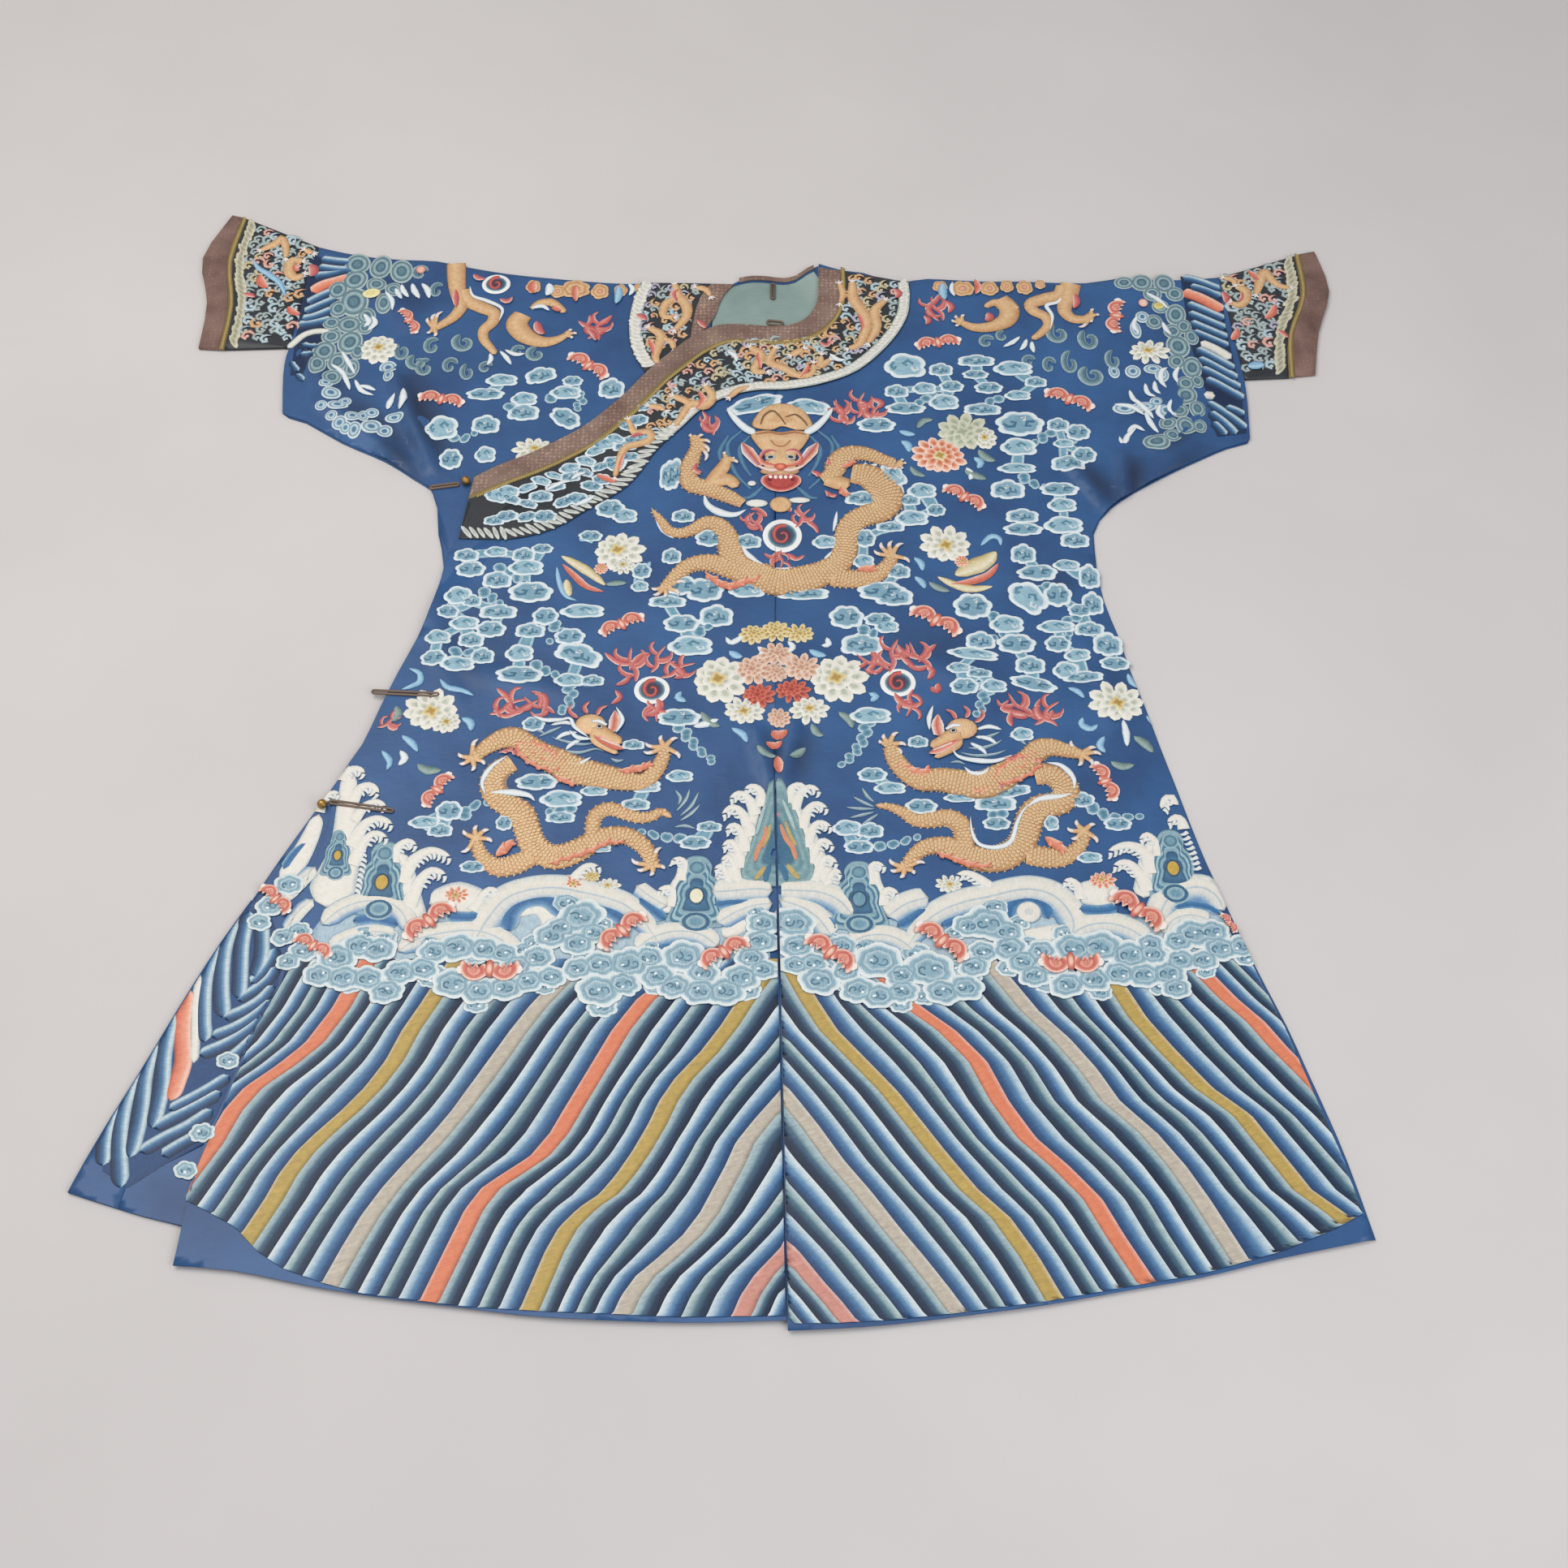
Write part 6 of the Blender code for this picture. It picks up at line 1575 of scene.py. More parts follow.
RIGHT_DRAGON = (
    ((324, 36, 310, 40, 294, 45, 280, 43, 270, 32, 256, 20, 240, 8, 222, -3, 204, -5, 186, -1, 168, 2,
      150, 0, 136, 8, 126, 20, 119, 34, 114, 50), (13, 20, 26, 26, 30, 37, 36, 34, 31, 26, 22, 20, 13),
     1.5),
    ((272, 8, 290, 10, 303, -2, 306, -16, 296, -29, 278, -32, 266, -44, 260, -62, 252, -82, 234, -97,
      212, -100, 192, -94, 178, -85, 160, -83, 146, -88, 136, -99, 127, -112),
     (26, 28, 28, 29, 30, 30, 30, 33, 31, 26, 22, 17, 13), 0.9),
    ((191, -88, 193, -72, 189, -56, 176, -47, 158, -50, 142, -50, 128, -40, 112, -33, 98, -32),
     (22, 22, 22, 20, 16, 11, 5), 0.7),
    ((258, -94, 280, -97, 298, -96, 312, -86, 320, -73, 322, -60), (24, 26, 24, 17, 14, 11), 0.6),
)
RIGHT_PAWS = (
    (325, 36, (342, 44, 347, 34, 336, 20, 320, 20, 315, 54)),
    (115, 48, (104, 54, 110, 62, 126, 64, 134, 46, 128, 34)),
    (128, -111, (112, -100, 112, -114, 122, -124, 138, -120, 150, -106)),
    (321, -64, (303, -60, 314, -50, 334, -56, 306, -74, 334, -80)),
)
for body, paws in ((LEFT_DRAGON, LEFT_PAWS), (RIGHT_DRAGON, RIGHT_PAWS)):
    for numbers, widths, lift in body:
        gold(dragons, numbers, widths, lift=lift, scaly=True)
    for x, y, tips in paws:
        paw(dragons, x, y, tips)
for shades, width, numbers in (
        (FLAME, 6, (-286, 48, -268, 42, -252, 32, -244, 20)), (CORAL, 8, (-250, 6, -236, -2, -224, -6)),
        (CORAL, 12, (-180, 12, -164, 14, -150, 18, -145, 26)),
        (CORAL, 15, (-306, -98, -296, -86, -288, -76)),
        (CORAL, 7, (-250, -108, -226, -99, -204, -90, -186, -80, -168, -82)),
        (FLAME, 6, (-312, 36, -300, 40, -290, 34)), (FLAME, 7, (238, 30, 248, 30, 262, 30, 280, 28)),
        (CORAL, 8, (226, -8, 214, -12, 202, -14)), (CORAL, 16, (124, 30, 132, 16, 146, 10, 162, 14)),
        (CORAL, 15, (278, -72, 290, -82, 302, -92)),
        (CORAL, 9, (160, -92, 180, -100, 200, -108, 222, -110)),
        (FLAME, 7, (228, 8, 232, -2, 236, -12))):
    accent(shades, width, pairs(numbers), lift=2.5)
for x, y, lean in ((-266, 31, -32), (255, 16, 32)):
    ring = turned(oval(58, 25, 14), lean, 1.0, (x, y))
    accent(CORAL, 6.5, np.vstack([ring, ring[:1]]), lift=2.6)
    accent(CORAL, 5.0, turned(pairs((-18, -1, -6, 3, 6, 0, 18, 2)), lean, 1.0, (x, y)), lift=2.6)
strokes(trim, (
    (WHITE_FIN, 6, (-302, 32, -318, 18, -327, -2, -322, -20)),
    (WHITE_FIN, 9, (-318, -16, -296, -16, -276, -20, -268, -28)),
    (WHITE_FIN, 6, (-240, 26, -226, 20, -210, 30)),
    (WHITE_FIN, 5, (-248, 80, -236, 82, -230, 70, -214, 56)),
    (WHITE_FIN, 6, (-278, 86, -264, 80, -250, 80, -236, 82)),
    (WHITE_FIN, 6, (-236, 66, -226, 56, -210, 54)), (WHITE_FIN, 5, (-185, 62, -178, 80, -186, 98)),
    (WHITE_FIN, 7, (286, 24, 302, 20, 314, 4, 314, -12)),
    (WHITE_FIN, 8, (262, -34, 276, -24, 300, -20, 312, -16)),
    (WHITE_FIN, 6, (200, -46, 201, -66, 208, -82, 226, -86, 242, -78, 250, -54, 258, -38, 268, -28)),
    (WHITE_FIN, 6, (196, 18, 204, 10, 216, 10, 224, 18)),
    (WHITE_FIN, 7, (184, 42, 190, 32, 206, 27, 230, 26, 250, 34)),
    (WHITE_FIN, 6, (160, 66, 160, 82, 165, 100)),
), CREST_SHARES, lift=2.4, puff=0.6)
strokes(trim, (
    (MANE, 5, (-260, 48, -244, 40, -224, 37, -206, 42, -196, 38)),
    (MANE, 5, (-256, 58, -240, 52, -222, 48, -206, 50)), (MANE, 5, (-262, 40, -242, 32, -222, 31)),
    (MANE, 6, (-286, 78, -274, 70, -262, 62)), (MANE, 5, (-270, 58, -256, 66, -244, 72)),
    (MANE, 5, (-190, 30, -182, 26, -174, 28)), (MANE, 5, (-118, -12, -112, -22, -114, -32)),
    (MANE, 5, (-102, -10, -106, -24, -116, -40)), (MANE, 5, (-92, -14, -100, -32, -112, -46)),
    (MANE, 5, (-90, -30, -100, -42, -112, -52)), (MANE, 5, (-118, -60, -106, -58, -94, -62)),
    (MANE, 5, (192, 38, 210, 34, 230, 36, 244, 42)), (MANE, 5, (200, 44, 216, 44, 232, 50, 240, 56)),
    (MANE, 6, (246, 60, 258, 56, 266, 48)), (MANE, 5, (214, 56, 226, 60, 238, 66)),
    (MANE, 4, (180, 24, 190, 26, 198, 22)), (MANE, 5, (84, -8, 90, -20, 98, -28)),
    (MANE, 5, (74, -20, 86, -28, 98, -34)), (MANE, 5, (66, -34, 82, -36, 98, -36)),
    (MANE, 5, (70, -48, 84, -44, 98, -40)), (MANE, 5, (82, -58, 92, -50, 102, -42)),
), CREST_SHARES, lift=0.5, puff=0.6)

# %% Their heads: skull and snout, jaw, lips, ear and eye
PROFILE_EAR = ((-1.0, "#E9E6E0"), (-0.4, "#D79C86"), (0.2, "#C0604F"), (1.0, "#EFE2D8"))
for side, x, y in ((1, -205, 62), (-1, 188, 57)):
    place, flip = np.array([x, y]), np.array([side, 1.0])
    bead(dragons, x - 8 * side, y + 12, 34, 28, 16,
         ((1.0, "#8C6A4B"), (0.92, "#CFA67A"), (0.5, "#DFBC93")), lift=2.0, puff=1.5)
    dragons.band(pairs((-6, 6, 6, -1, 18, -8, 28, -13)) * flip + place, [24, 20, 15, 12], GOLD, lift=2.4,
                 puff=1.2, step=3.0, taper=(0.1, 0.12))
    dragons.band(pairs((-8, -4, 4, -14, 16, -22, 24, -27)) * flip + place, [10, 11, 9, 6], GOLD, lift=2.0,
                 puff=0.9, step=3.0, taper=(0.2, 0.1))
    trim.band(pairs((-4, -4, 8, -11, 18, -17, 30, -22)) * flip + place, [4, 9, 10, 5], BLUSH, lift=3.2,
              step=2.5, taper=(0.2, 0.2))
    trim.band(pairs((4, -8, 14, -13, 25, -18)) * flip + place, [2.0, 2.6, 1.6], "#E0C9BC", lift=3.9,
              puff=0.3, step=3.0)
    for numbers in ((-22, 20, -32, 30, -30, 40), (-12, 26, -16, 36, -10, 44), (-2, 24, 2, 34, 10, 38)):
        flame(trim, pairs(numbers) * flip + place, 6.0, lift=1.6)
    for numbers in ((-24, 12, -38, 16, -52, 12), (-22, 2, -36, 0, -46, -8), (-16, -6, -28, -14, -34, -22)):
        trim.band(pairs(numbers) * flip + place, [3, 6, 3], WHITE_FIN, lift=0.7, step=3.0, taper=(0.1, 0.2))
    trim.band(pairs((17, 2, 19, 16, 18, 32)) * flip + place, [12, 14, 5], PROFILE_EAR, lift=1.8, puff=0.8,
              step=3.0, taper=(0.1, 0.3))
    bead(trim, x + 2 * side, y + 8, 8.5, 6.5, 10,
         ((1.0, "#5E4433"), (0.76, "#C9C6BE"), (0.6, "#C9C6BE"), (0.52, "#22201F")), lift=3.7, puff=0.5,
         lean=-30 * side)
    trim.band(pairs((-6, 15, 2, 15, 10, 10)) * flip + place, [3, 5, 3], WHITE_FIN, lift=3.7, puff=0.4,
              step=2.5)
for x, y in ((-147, 122), (127, 132)):
    pearl(trim, x, y, 40, 38)
dragons.build(GOLD_STITCH)


# %% Scales along the gold bodies
def draw_scale(work):
    """One scale, a tongue with a darker rim, of a dozen faces."""
    count = 5
    t = np.linspace(-0.5 * math.pi, 0.5 * math.pi, count)
    rim = np.column_stack([0.5 * np.cos(t), 0.5 * np.sin(t)]) * SCALE
    flat = np.vstack([rim, rim * (0.62, 0.8), [(-1.5, 0.0)]])
    steps = range(count - 1)
    faces = [(k, k + 1, k + count + 1) for k in steps] + [(k, k + count + 1, k + count) for k in steps]
    faces += [(k + count, k + count + 1, 2 * count) for k in steps]
    shades = [linear("#94704C")] * count + [linear("#E4C397")] * count + [linear("#CBA274")]
    height = np.array([0.25] * count + [0.45] * count + [0.0])
    work.add(flat, height, faces, shades, flat)


def draw_fin(work):
    """One point of the fringe along a body: a leaf of a few faces."""
    flat = np.array([(-3.0, -2.4), (3.2, 0.0), (-3.0, 2.4), (-0.6, 0.0)])
    shades = [linear(shade) for shade in ("#AA8158", "#D9B88E", "#AA8158", "#DDB98C")]
    work.add(flat, np.array([0.0, 0.0, 0.0, 0.5]), [(0, 1, 3), (1, 2, 3), (2, 0, 3)], shades, flat)


plate = motif("gold_scale", draw_scale)
scatter("dragon_fins", fins, motif("gold_fin", draw_fin), SCALE, GOLD_STITCH, lift=0.55)
rows = np.array(scales)
scatter("dragon_scales", rows[:, :5], plate, SCALE, GOLD_STITCH, lift=rows[:, 5])
trim.build(SILK_STITCH)

# %% [markdown]
# ## Collar, cuffs and their bindings
# The collar band and the cuffs are one design: dark satin, almost hidden by small gold
# dragons, clouds and flowers, with a pale wave border. A brown brocade binding covers the cut
# edge and a twisted cord of olive and gold floss is sewn beside it.

# %% Shells of the smaller pieces
SEAM_GAP = 0.3
on_front, on_inner = raised(front_top, SEAM_GAP), raised(inner_top, SEAM_GAP)
FINE = 5.0                       # edges are cut this fine in narrow strips, in millimetres
THIN = 0.9                       # the neck's lining and facing
# node, under side, material, slot, and what differs from a plain shell
SMALL_PIECES = (
    ("collar_band", on_front, DARK_SATIN, "dark_silk", {}),
    ("inner_collar_band", on_inner, DARK_SATIN, "dark_silk", {}),
    ("right_cuff", inner_low, DARK_SATIN, "dark_silk", {}),
    ("left_cuff", inner_low, DARK_SATIN, "dark_silk", {}),
    ("neck_lining", level(1.8), CELADON_SILK, "celadon_silk", {"thickness": THIN}),
    ("back_neck_facing", level(1.8), BLUE_SATIN, "blue_silk", {"thickness": THIN}),
    ("collar_binding", on_front, COLLAR_BROCADE, "brown_brocade", {"cell": FINE}),
    ("inner_collar_binding", on_inner, COLLAR_BROCADE, "brown_brocade", {"cell": FINE}),
    ("back_neck_binding", level(3.0), COLLAR_BROCADE, "brown_brocade", {"cell": FINE}),
    ("right_cuff_binding", inner_low, BROWN_BROCADE, "brown_brocade", {"cell": FINE}),
    ("left_cuff_binding", inner_low, BROWN_BROCADE, "brown_brocade", {"cell": FINE}),
)
for name, low, finish, slot, details in SMALL_PIECES:
    robe[name] = shell(name, low, finish, slot, **details)
print(len(robe), "pieces of cloth")


# %% [markdown]
# ## Flowers, bats, flames and emblems
# Peonies stand for wealth, bats for good luck, and flames and ribbons fill the gaps. Every
# flower is built from one petal, set round its middle by Geometry Nodes in rings.

# %% Petals
PETAL = (16.0, 14.0)
PETAL_SILKS = {
    "cream": ((1.0, "#A9B0A3"), (0.93, "#EAE8DF"), (0.60, "#E0DFD2"), (0.25, "#B4BAAA")),
    "coral": ((1.0, "#D8B9A8"), (0.92, "#F0DCCF"), (0.62, "#E3A88D"), (0.25, "#C7704E")),
    "khaki": ((1.0, "#9C8A5E"), (0.92, "#E6DBB5"), (0.60, "#D6C188"), (0.25, "#A98B49")),
    "red": ((1.0, "#8C3A36"), (0.90, "#D07E66"), (0.55, "#BE5747"), (0.25, "#9A3B3A")),
    "celadon": ((1.0, "#8A998B"), (0.92, "#D5D6C2"), (0.60, "#C2C5AD"), (0.30, "#9FAA93")),
    "peach": ((1.0, "#AB8A78"), (0.92, "#E8D3C2"), (0.58, "#D6B39C"), (0.25, "#B88A72")),
}
petals = {hue: [] for hue in PETAL_SILKS}


def draw_petal(work, shades):
    """A petal that points along x, with a notched outer edge."""
    t = np.linspace(0.0, 2 * math.pi, 9, endpoint=False)
    swell = 1.0 + 0.07 * np.cos(4 * t)
    outline = np.column_stack([0.5 * np.cos(t) * swell,
                               0.5 * np.sin(t) * (0.85 + 0.15 * np.cos(t))]) * PETAL
    onion(work, outline, (-3.5, 0.0), shades, lift=0.0, puff=1.3)


def flower(x, y, wide, high, hue, rings, heart):
    """Adds a flower's petals to the table: rings are (count, distance, petal size) in shares."""
    for n, (count, far, size) in enumerate(rings):
        for k in range(count):
            angle = 2 * math.pi * (k + 0.5 * (n % 2) + 0.17) / count
            jitter = 1.0 + 0.14 * math.sin(7.0 * k + x)
            place = (x + wide * far * jitter * math.cos(angle), y + high * far * jitter * math.sin(angle))
            shade = heart if n == len(rings) - 1 else hue
            petals[shade].append((*place, wide * size * jitter, high * size, math.degrees(angle),
                                  0.5 + 0.55 * n))


ROUND = ((10, 0.36, 0.34), (7, 0.20, 0.31), (4, 0.07, 0.24))
SPIKY = ((14, 0.38, 0.26), (9, 0.22, 0.26), (4, 0.07, 0.2))
FLOWERS = (
    (-193, 322, 56, 50, "cream", ROUND), (-186, 300, 26, 22, "cream", ROUND),
    (188, 330, 58, 50, "cream", ROUND), (-390, 92, 58, 52, "cream", ROUND),
    (-372, 78, 34, 30, "cream", ROUND), (370, 104, 60, 50, "cream", ROUND),
    (-74, 136, 58, 60, "cream", ROUND), (58, 138, 62, 60, "cream", ROUND),
    (-44, 92, 44, 34, "cream", ROUND), (28, 96, 42, 34, "cream", ROUND),
    (186, 468, 62, 56, "coral", SPIKY), (214, 505, 62, 52, "celadon", ROUND),
    (240, 496, 26, 34, "cream", ROUND), (-298, 480, 48, 34, "cream", ROUND),
    (-10, 205, 34, 28, "khaki", ROUND), (-34, 200, 30, 26, "khaki", ROUND),
    (18, 200, 34, 24, "khaki", ROUND), (-30, 114, 36, 30, "red", ROUND), (8, 121, 38, 28, "red", ROUND),
    (-36, 150, 42, 36, "peach", ROUND), (19, 152, 42, 34, "peach", ROUND),
    (-8, 170, 40, 30, "peach", ROUND), (-8, 144, 28, 26, "peach", ROUND),
    (-6, 82, 26, 24, "peach", ROUND), (-210, 296, 16, 16, "coral", ROUND),
    (206, 306, 16, 18, "coral", ROUND), (-500, 645, 44, 46, "cream", ROUND),
    (448, 640, 48, 34, "cream", ROUND), (-222, -132, 30, 22, "coral", ROUND),
    (-186, -134, 26, 20, "cream", ROUND), (-345, -146, 28, 20, "coral", ROUND),
    (175, -132, 28, 20, "cream", ROUND), (335, -126, 28, 20, "coral", ROUND),
    (-204, -122, 20, 16, "khaki", ROUND),
)
for x, y, wide, high, hue, rings in FLOWERS:
    flower(x, y, wide, high, hue, rings, "khaki" if hue in ("cream", "coral") else hue)

# %% Leaves, ribbons, shells, flames and bats
small = Embroidery("leaves_ribbons_and_bats")
LEAF = ((-1.0, "#5E7D86"), (-0.5, "#93A8A3"), (0.2, "#7F958F"), (1.0, "#4B6670"))
RIBBON = ((-1.0, "#5E93B8"), (-0.4, "#A9CBDD"), (0.5, "#86B2CF"), (1.0, "#5F8FB4"))
STONE = ((-1.0, "#B9A876"), (-0.4, "#E4DCC2"), (0.4, "#D3C79C"), (1.0, "#A8935A"))
# silk, width and x y pairs
BANDS = (
    (STONE, 13, (-258, 314, -240, 302, -222, 288, -204, 270)),
    (BLUSH, 9, (-256, 302, -242, 286, -226, 269, -206, 261)),
    (STONE, 11, (-250, 280, -248, 266, -244, 254)),
    (RIBBON, 7, (-262, 298, -258, 276, -250, 256, -236, 248)),
    (LEAF, 9, (-205, 272, -192, 274, -180, 274)), (STONE, 24, (196, 286, 214, 296, 234, 308, 246, 322)),
    (BLUSH, 11, (190, 272, 212, 276, 234, 286, 248, 304)),
    (STONE, 12, (176, 284, 196, 272, 216, 266, 240, 270)),
    (RIBBON, 8, (228, 330, 240, 344, 250, 342, 252, 330)), (LEAF, 10, (166, 276, 176, 268, 190, 262)),
    (RIBBON, 9, (-238, 336, -228, 340, -222, 332)), (RIBBON, 9, (-170, 290, -160, 296, -154, 306)),
    (RIBBON, 9, (150, 312, 158, 304, 160, 292)), (RIBBON, 9, (150, 284, 158, 276, 162, 266)),
    (RIBBON, 8, (-420, 152, -408, 146, -406, 134, -414, 128, -426, 122)),
    (RIBBON, 8, (-384, 136, -374, 124, -356, 120, -344, 114)),
    (LEAF, 11, (-430, 100, -426, 88, -432, 78)), (RIBBON, 10, (-356, 84, -346, 78, -344, 66)),
    (FLAME, 9, (-436, 76, -430, 70, -424, 72)), (RIBBON, 9, (-420, 60, -408, 50, -400, 38)),
    (WHITE_FIN, 9, (-420, 40, -414, 30, -420, 20)), (LEAF, 12, (-400, 22, -388, 14, -372, 14)),
    (RIBBON, 8, (-440, 40, -430, 26, -432, 14)), (RIBBON, 9, (330, 86, 328, 76, 338, 70, 346, 76)),
    (WHITE_FIN, 9, (374, 82, 376, 64, 376, 46)), (LEAF, 12, (384, 60, 396, 50, 404, 38)),
    (RIBBON, 9, (352, 60, 346, 48, 352, 38)), (RIBBON, 9, (400, 88, 410, 76, 418, 62)),
    (LEAF, 11, (356, 26, 368, 20, 382, 22)), (RIBBON, 8, (316, 126, 326, 122, 334, 112)),
    (RIBBON, 8, (384, 146, 388, 134, 396, 126)), (LEAF, 10, (160, 512, 168, 524, 180, 526)),
    (RIBBON, 9, (138, 508, 148, 504, 158, 502)), (RIBBON, 11, (140, 492, 148, 486, 150, 474)),
    (LEAF, 12, (232, 478, 240, 466, 252, 460)), (RIBBON, 10, (226, 466, 234, 458, 230, 448)),
    (LEAF, 12, (214, 446, 226, 438, 240, 432)), (LEAF, 9, (150, 452, 156, 442, 168, 436)),
    (WHITE_FIN, 9, (216, 450, 222, 440, 220, 430)),
    (WHITE_FIN, 8, (-66, 196, -60, 188, -50, 194, -44, 202)),
    (WHITE_FIN, 8, (48, 196, 50, 186, 42, 184)), (RIBBON, 10, (-62, 176, -54, 170, -46, 168)),
    (RIBBON, 10, (28, 178, 38, 172, 48, 170)), (WHITE_FIN, 8, (-30, 182, -24, 176, -28, 168)),
    (WHITE_FIN, 8, (4, 190, 10, 182, 4, 174)), (LEAF, 9, (-8, 158, -10, 146, -6, 136)),
    (LEAF, 8, (2, 156, 0, 144, -2, 134)), (RIBBON, 9, (-114, 120, -118, 112, -108, 106)),
    (RIBBON, 9, (94, 118, 102, 114, 96, 106)), (LEAF, 11, (-92, 92, -82, 78, -70, 72)),
    (LEAF, 11, (60, 92, 72, 82, 76, 70)), (WHITE_FIN, 10, (-100, 72, -86, 76, -72, 82)),
    (LEAF, 10, (30, 76, 36, 64, 44, 60)), (RIBBON, 9, (-58, 70, -46, 62, -40, 50)),
    (BLUSH, 14, (-14, 66, -6, 60, 4, 66)), (BLUSH, 10, (-20, 50, -10, 46, -2, 52)),
    (LEAF, 10, (-30, 44, -20, 34, -8, 32)), (LEAF, 10, (24, 44, 14, 34, 6, 30)),
    (BLUSH, 11, (-8, 32, -6, 20, -4, 8)), (FLAME, 8, (-320, 124, -308, 113, -303, 104, -300, 95)),
    (FLAME, 8, (-318, 92, -308, 86, -294, 93, -282, 102, -272, 108)),
    (FLAME, 8, (-278, 117, -266, 112, -264, 98, -268, 87)), (FLAME, 7, (-316, 102, -318, 94, -312, 84)),
    (FLAME, 8, (250, 110, 242, 98, 252, 94, 264, 91, 276, 87)),
    (FLAME, 8, (285, 112, 280, 98, 285, 86, 296, 80, 302, 73)), (FLAME, 8, (252, 94, 249, 82, 252, 73)),
    (FLAME, 7, (297, 96, 295, 86, 290, 82)), (FLAME, 8, (-202, 174, -190, 163, -178, 158, -164, 160)),
    (FLAME, 8, (-150, 173, -160, 170, -168, 160, -173, 148)),
    (FLAME, 7, (-170, 144, -177, 134, -188, 128)),
    (FLAME, 8, (-130, 162, -118, 152, -112, 142, -124, 138)),
    (FLAME, 7, (-188, 122, -182, 112, -192, 102)),
    (FLAME, 11, (-146, 116, -138, 104, -141, 92, -154, 87)),
    (FLAME, 8, (127, 187, 134, 175, 146, 167, 160, 162)),
    (FLAME, 8, (172, 187, 164, 178, 158, 168, 150, 158)), (FLAME, 8, (104, 160, 96, 150, 106, 145)),
    (FLAME, 8, (158, 156, 166, 146, 160, 136)), (FLAME, 10, (172, 132, 170, 122, 162, 126)),
    (FLAME, 11, (122, 120, 130, 106, 142, 100, 152, 106)), (FLAME, 8, (130, 170, 140, 158, 148, 150)),
    (FLAME, 10, (60, 556, 66, 545, 72, 537, 70, 527, 80, 522, 86, 533)),
    (FLAME, 9, (90, 558, 100, 549, 98, 538, 107, 532, 115, 541)),
    (FLAME, 9, (106, 560, 118, 553, 112, 543)),
    (FLAME, 9, (-99, 540, -93, 528, -97, 518, -87, 508, -80, 520, -84, 533)),
    (FLAME, 10, (-256, 692, -244, 682, -232, 672, -228, 658)),
    (FLAME, 8, (-214, 702, -222, 690, -234, 682)), (FLAME, 8, (-242, 702, -240, 692, -246, 684)),
    (FLAME, 8, (-216, 680, -226, 672, -232, 664)),
    (FLAME, 9, (198, 742, 190, 726, 180, 713, 186, 700, 193, 690)),
    (FLAME, 9, (200, 727, 209, 716, 205, 704)), (FLAME, 8, (174, 700, 180, 692, 176, 684)),
)
strokes(small, BANDS, (0.55, 1.0, 0.5), lift=0.6, puff=0.8, taper=(0.18, 0.18))
BATS = (
    (-466, 690, 44, -62), (-416, 560, 56, -12), (-240, 616, 60, -38), (190, 654, 56, 10),
    (414, 700, 58, 80), (346, 560, 62, -25), (-184, 214, 54, 28), (172, 220, 64, -32),
    (-375, -12, 50, 60), (348, 0, 52, -70), (212, 404, 56, -35),
)
for x, y, size, turn in BATS:
    bat(small, x, y, size, turn, lift=0.8)
# x, y, size and turn of the branched flames
BURNING = (
    (68, 537, 46, 20), (92, 549, 44, -10), (108, 537, 40, -35), (-170, 157, 50, 10), (-142, 165, 42, -20),
    (-119, 150, 44, -60), (-145, 97, 40, 200), (99, 160, 44, 60), (122, 170, 50, -10), (152, 166, 52, 30),
    (140, 104, 40, 170), (-34, 364, 34, 30), (21, 371, 36, -30), (-3, 309, 30, 180), (-88, 516, 34, 10),
    (-306, 100, 46, -60), (-272, 100, 44, 60), (262, 100, 46, 40), (290, 92, 44, -40), (-232, 680, 46, -30),
    (190, 712, 46, 20), (-435, 78, 30, -60),
)
for x, y, size, turn in BURNING:
    burning(small, x, y, size, turn, lift=0.7)
small.build(SILK_STITCH)
for hue, rows in petals.items():
    if rows:
        rows = np.array(rows)
        rows = rows[np.argsort(rows[:, 5])]
        scatter("petals_" + hue, rows[:, :5], motif("petal_" + hue, draw_petal, PETAL_SILKS[hue]), PETAL,
                SILK_STITCH, lift=rows[:, 5])



# %% [markdown]
# ## What is embroidered on the collar and the cuffs
# The ground is sown so densely with lobes of grey, celadon and lilac floss that little satin
# shows. Small gold dragons wind over them, and a wave border of fat slanting stitches runs
# along one edge. Curves along both edges of a piece carry all of it.

# %% The edges of each strip, in pattern millimetres
def pattern(numbers):
    """x y pairs in row millimetres, moved to the pattern's zero."""
    return pairs(numbers) - Embroidery.ZERO


COLLAR_INNER = pattern((83.5, 652, 83.5, 617, 80.5, 587, 68.5, 562, 48.5, 546, 21.5, 540, -13.5, 542,
                        -48.5, 541, -81, 522, -106, 497, -129, 472, -147, 447, -165, 422, -186, 397,
                        -210, 372, -243, 348, -275, 328, -308, 311, -342, 291))
COLLAR_OUTER = pattern((183.5, 629, 184.5, 602, 179, 566, 156.5, 522, 118, 478, 75, 456, 32, 446,
                        -8, 444, -45, 432, -75, 411, -97, 383, -115, 362, -131, 338, -146, 309,
                        -168, 282, -203, 256, -242, 226, -290, 211, -351.5, 212))
UNDER_INNER = pattern((-51, 627, -62, 610, -69, 588, -73, 568, -76, 555, -78.5, 542))
UNDER_OUTER = pattern((-153.5, 629, -161, 606, -166, 573, -165.5, 538, -158, 505, -143.5, 476.5))
RIGHT_CUFF_OUTER = pattern((-663.5, 745, -672.5, 669, -661.5, 593, -663.5, 517))
RIGHT_CUFF_INNER = pattern((-565.5, 694, -571.5, 636, -577.5, 578, -583.5, 520))
LEFT_CUFF_OUTER = pattern((674.5, 678, 673.5, 609, 650.5, 540, 643.5, 470))
LEFT_CUFF_INNER = pattern((575, 640, 579.5, 582, 584, 525, 588.5, 467))
PIPING_FROM_BINDING = 17.3


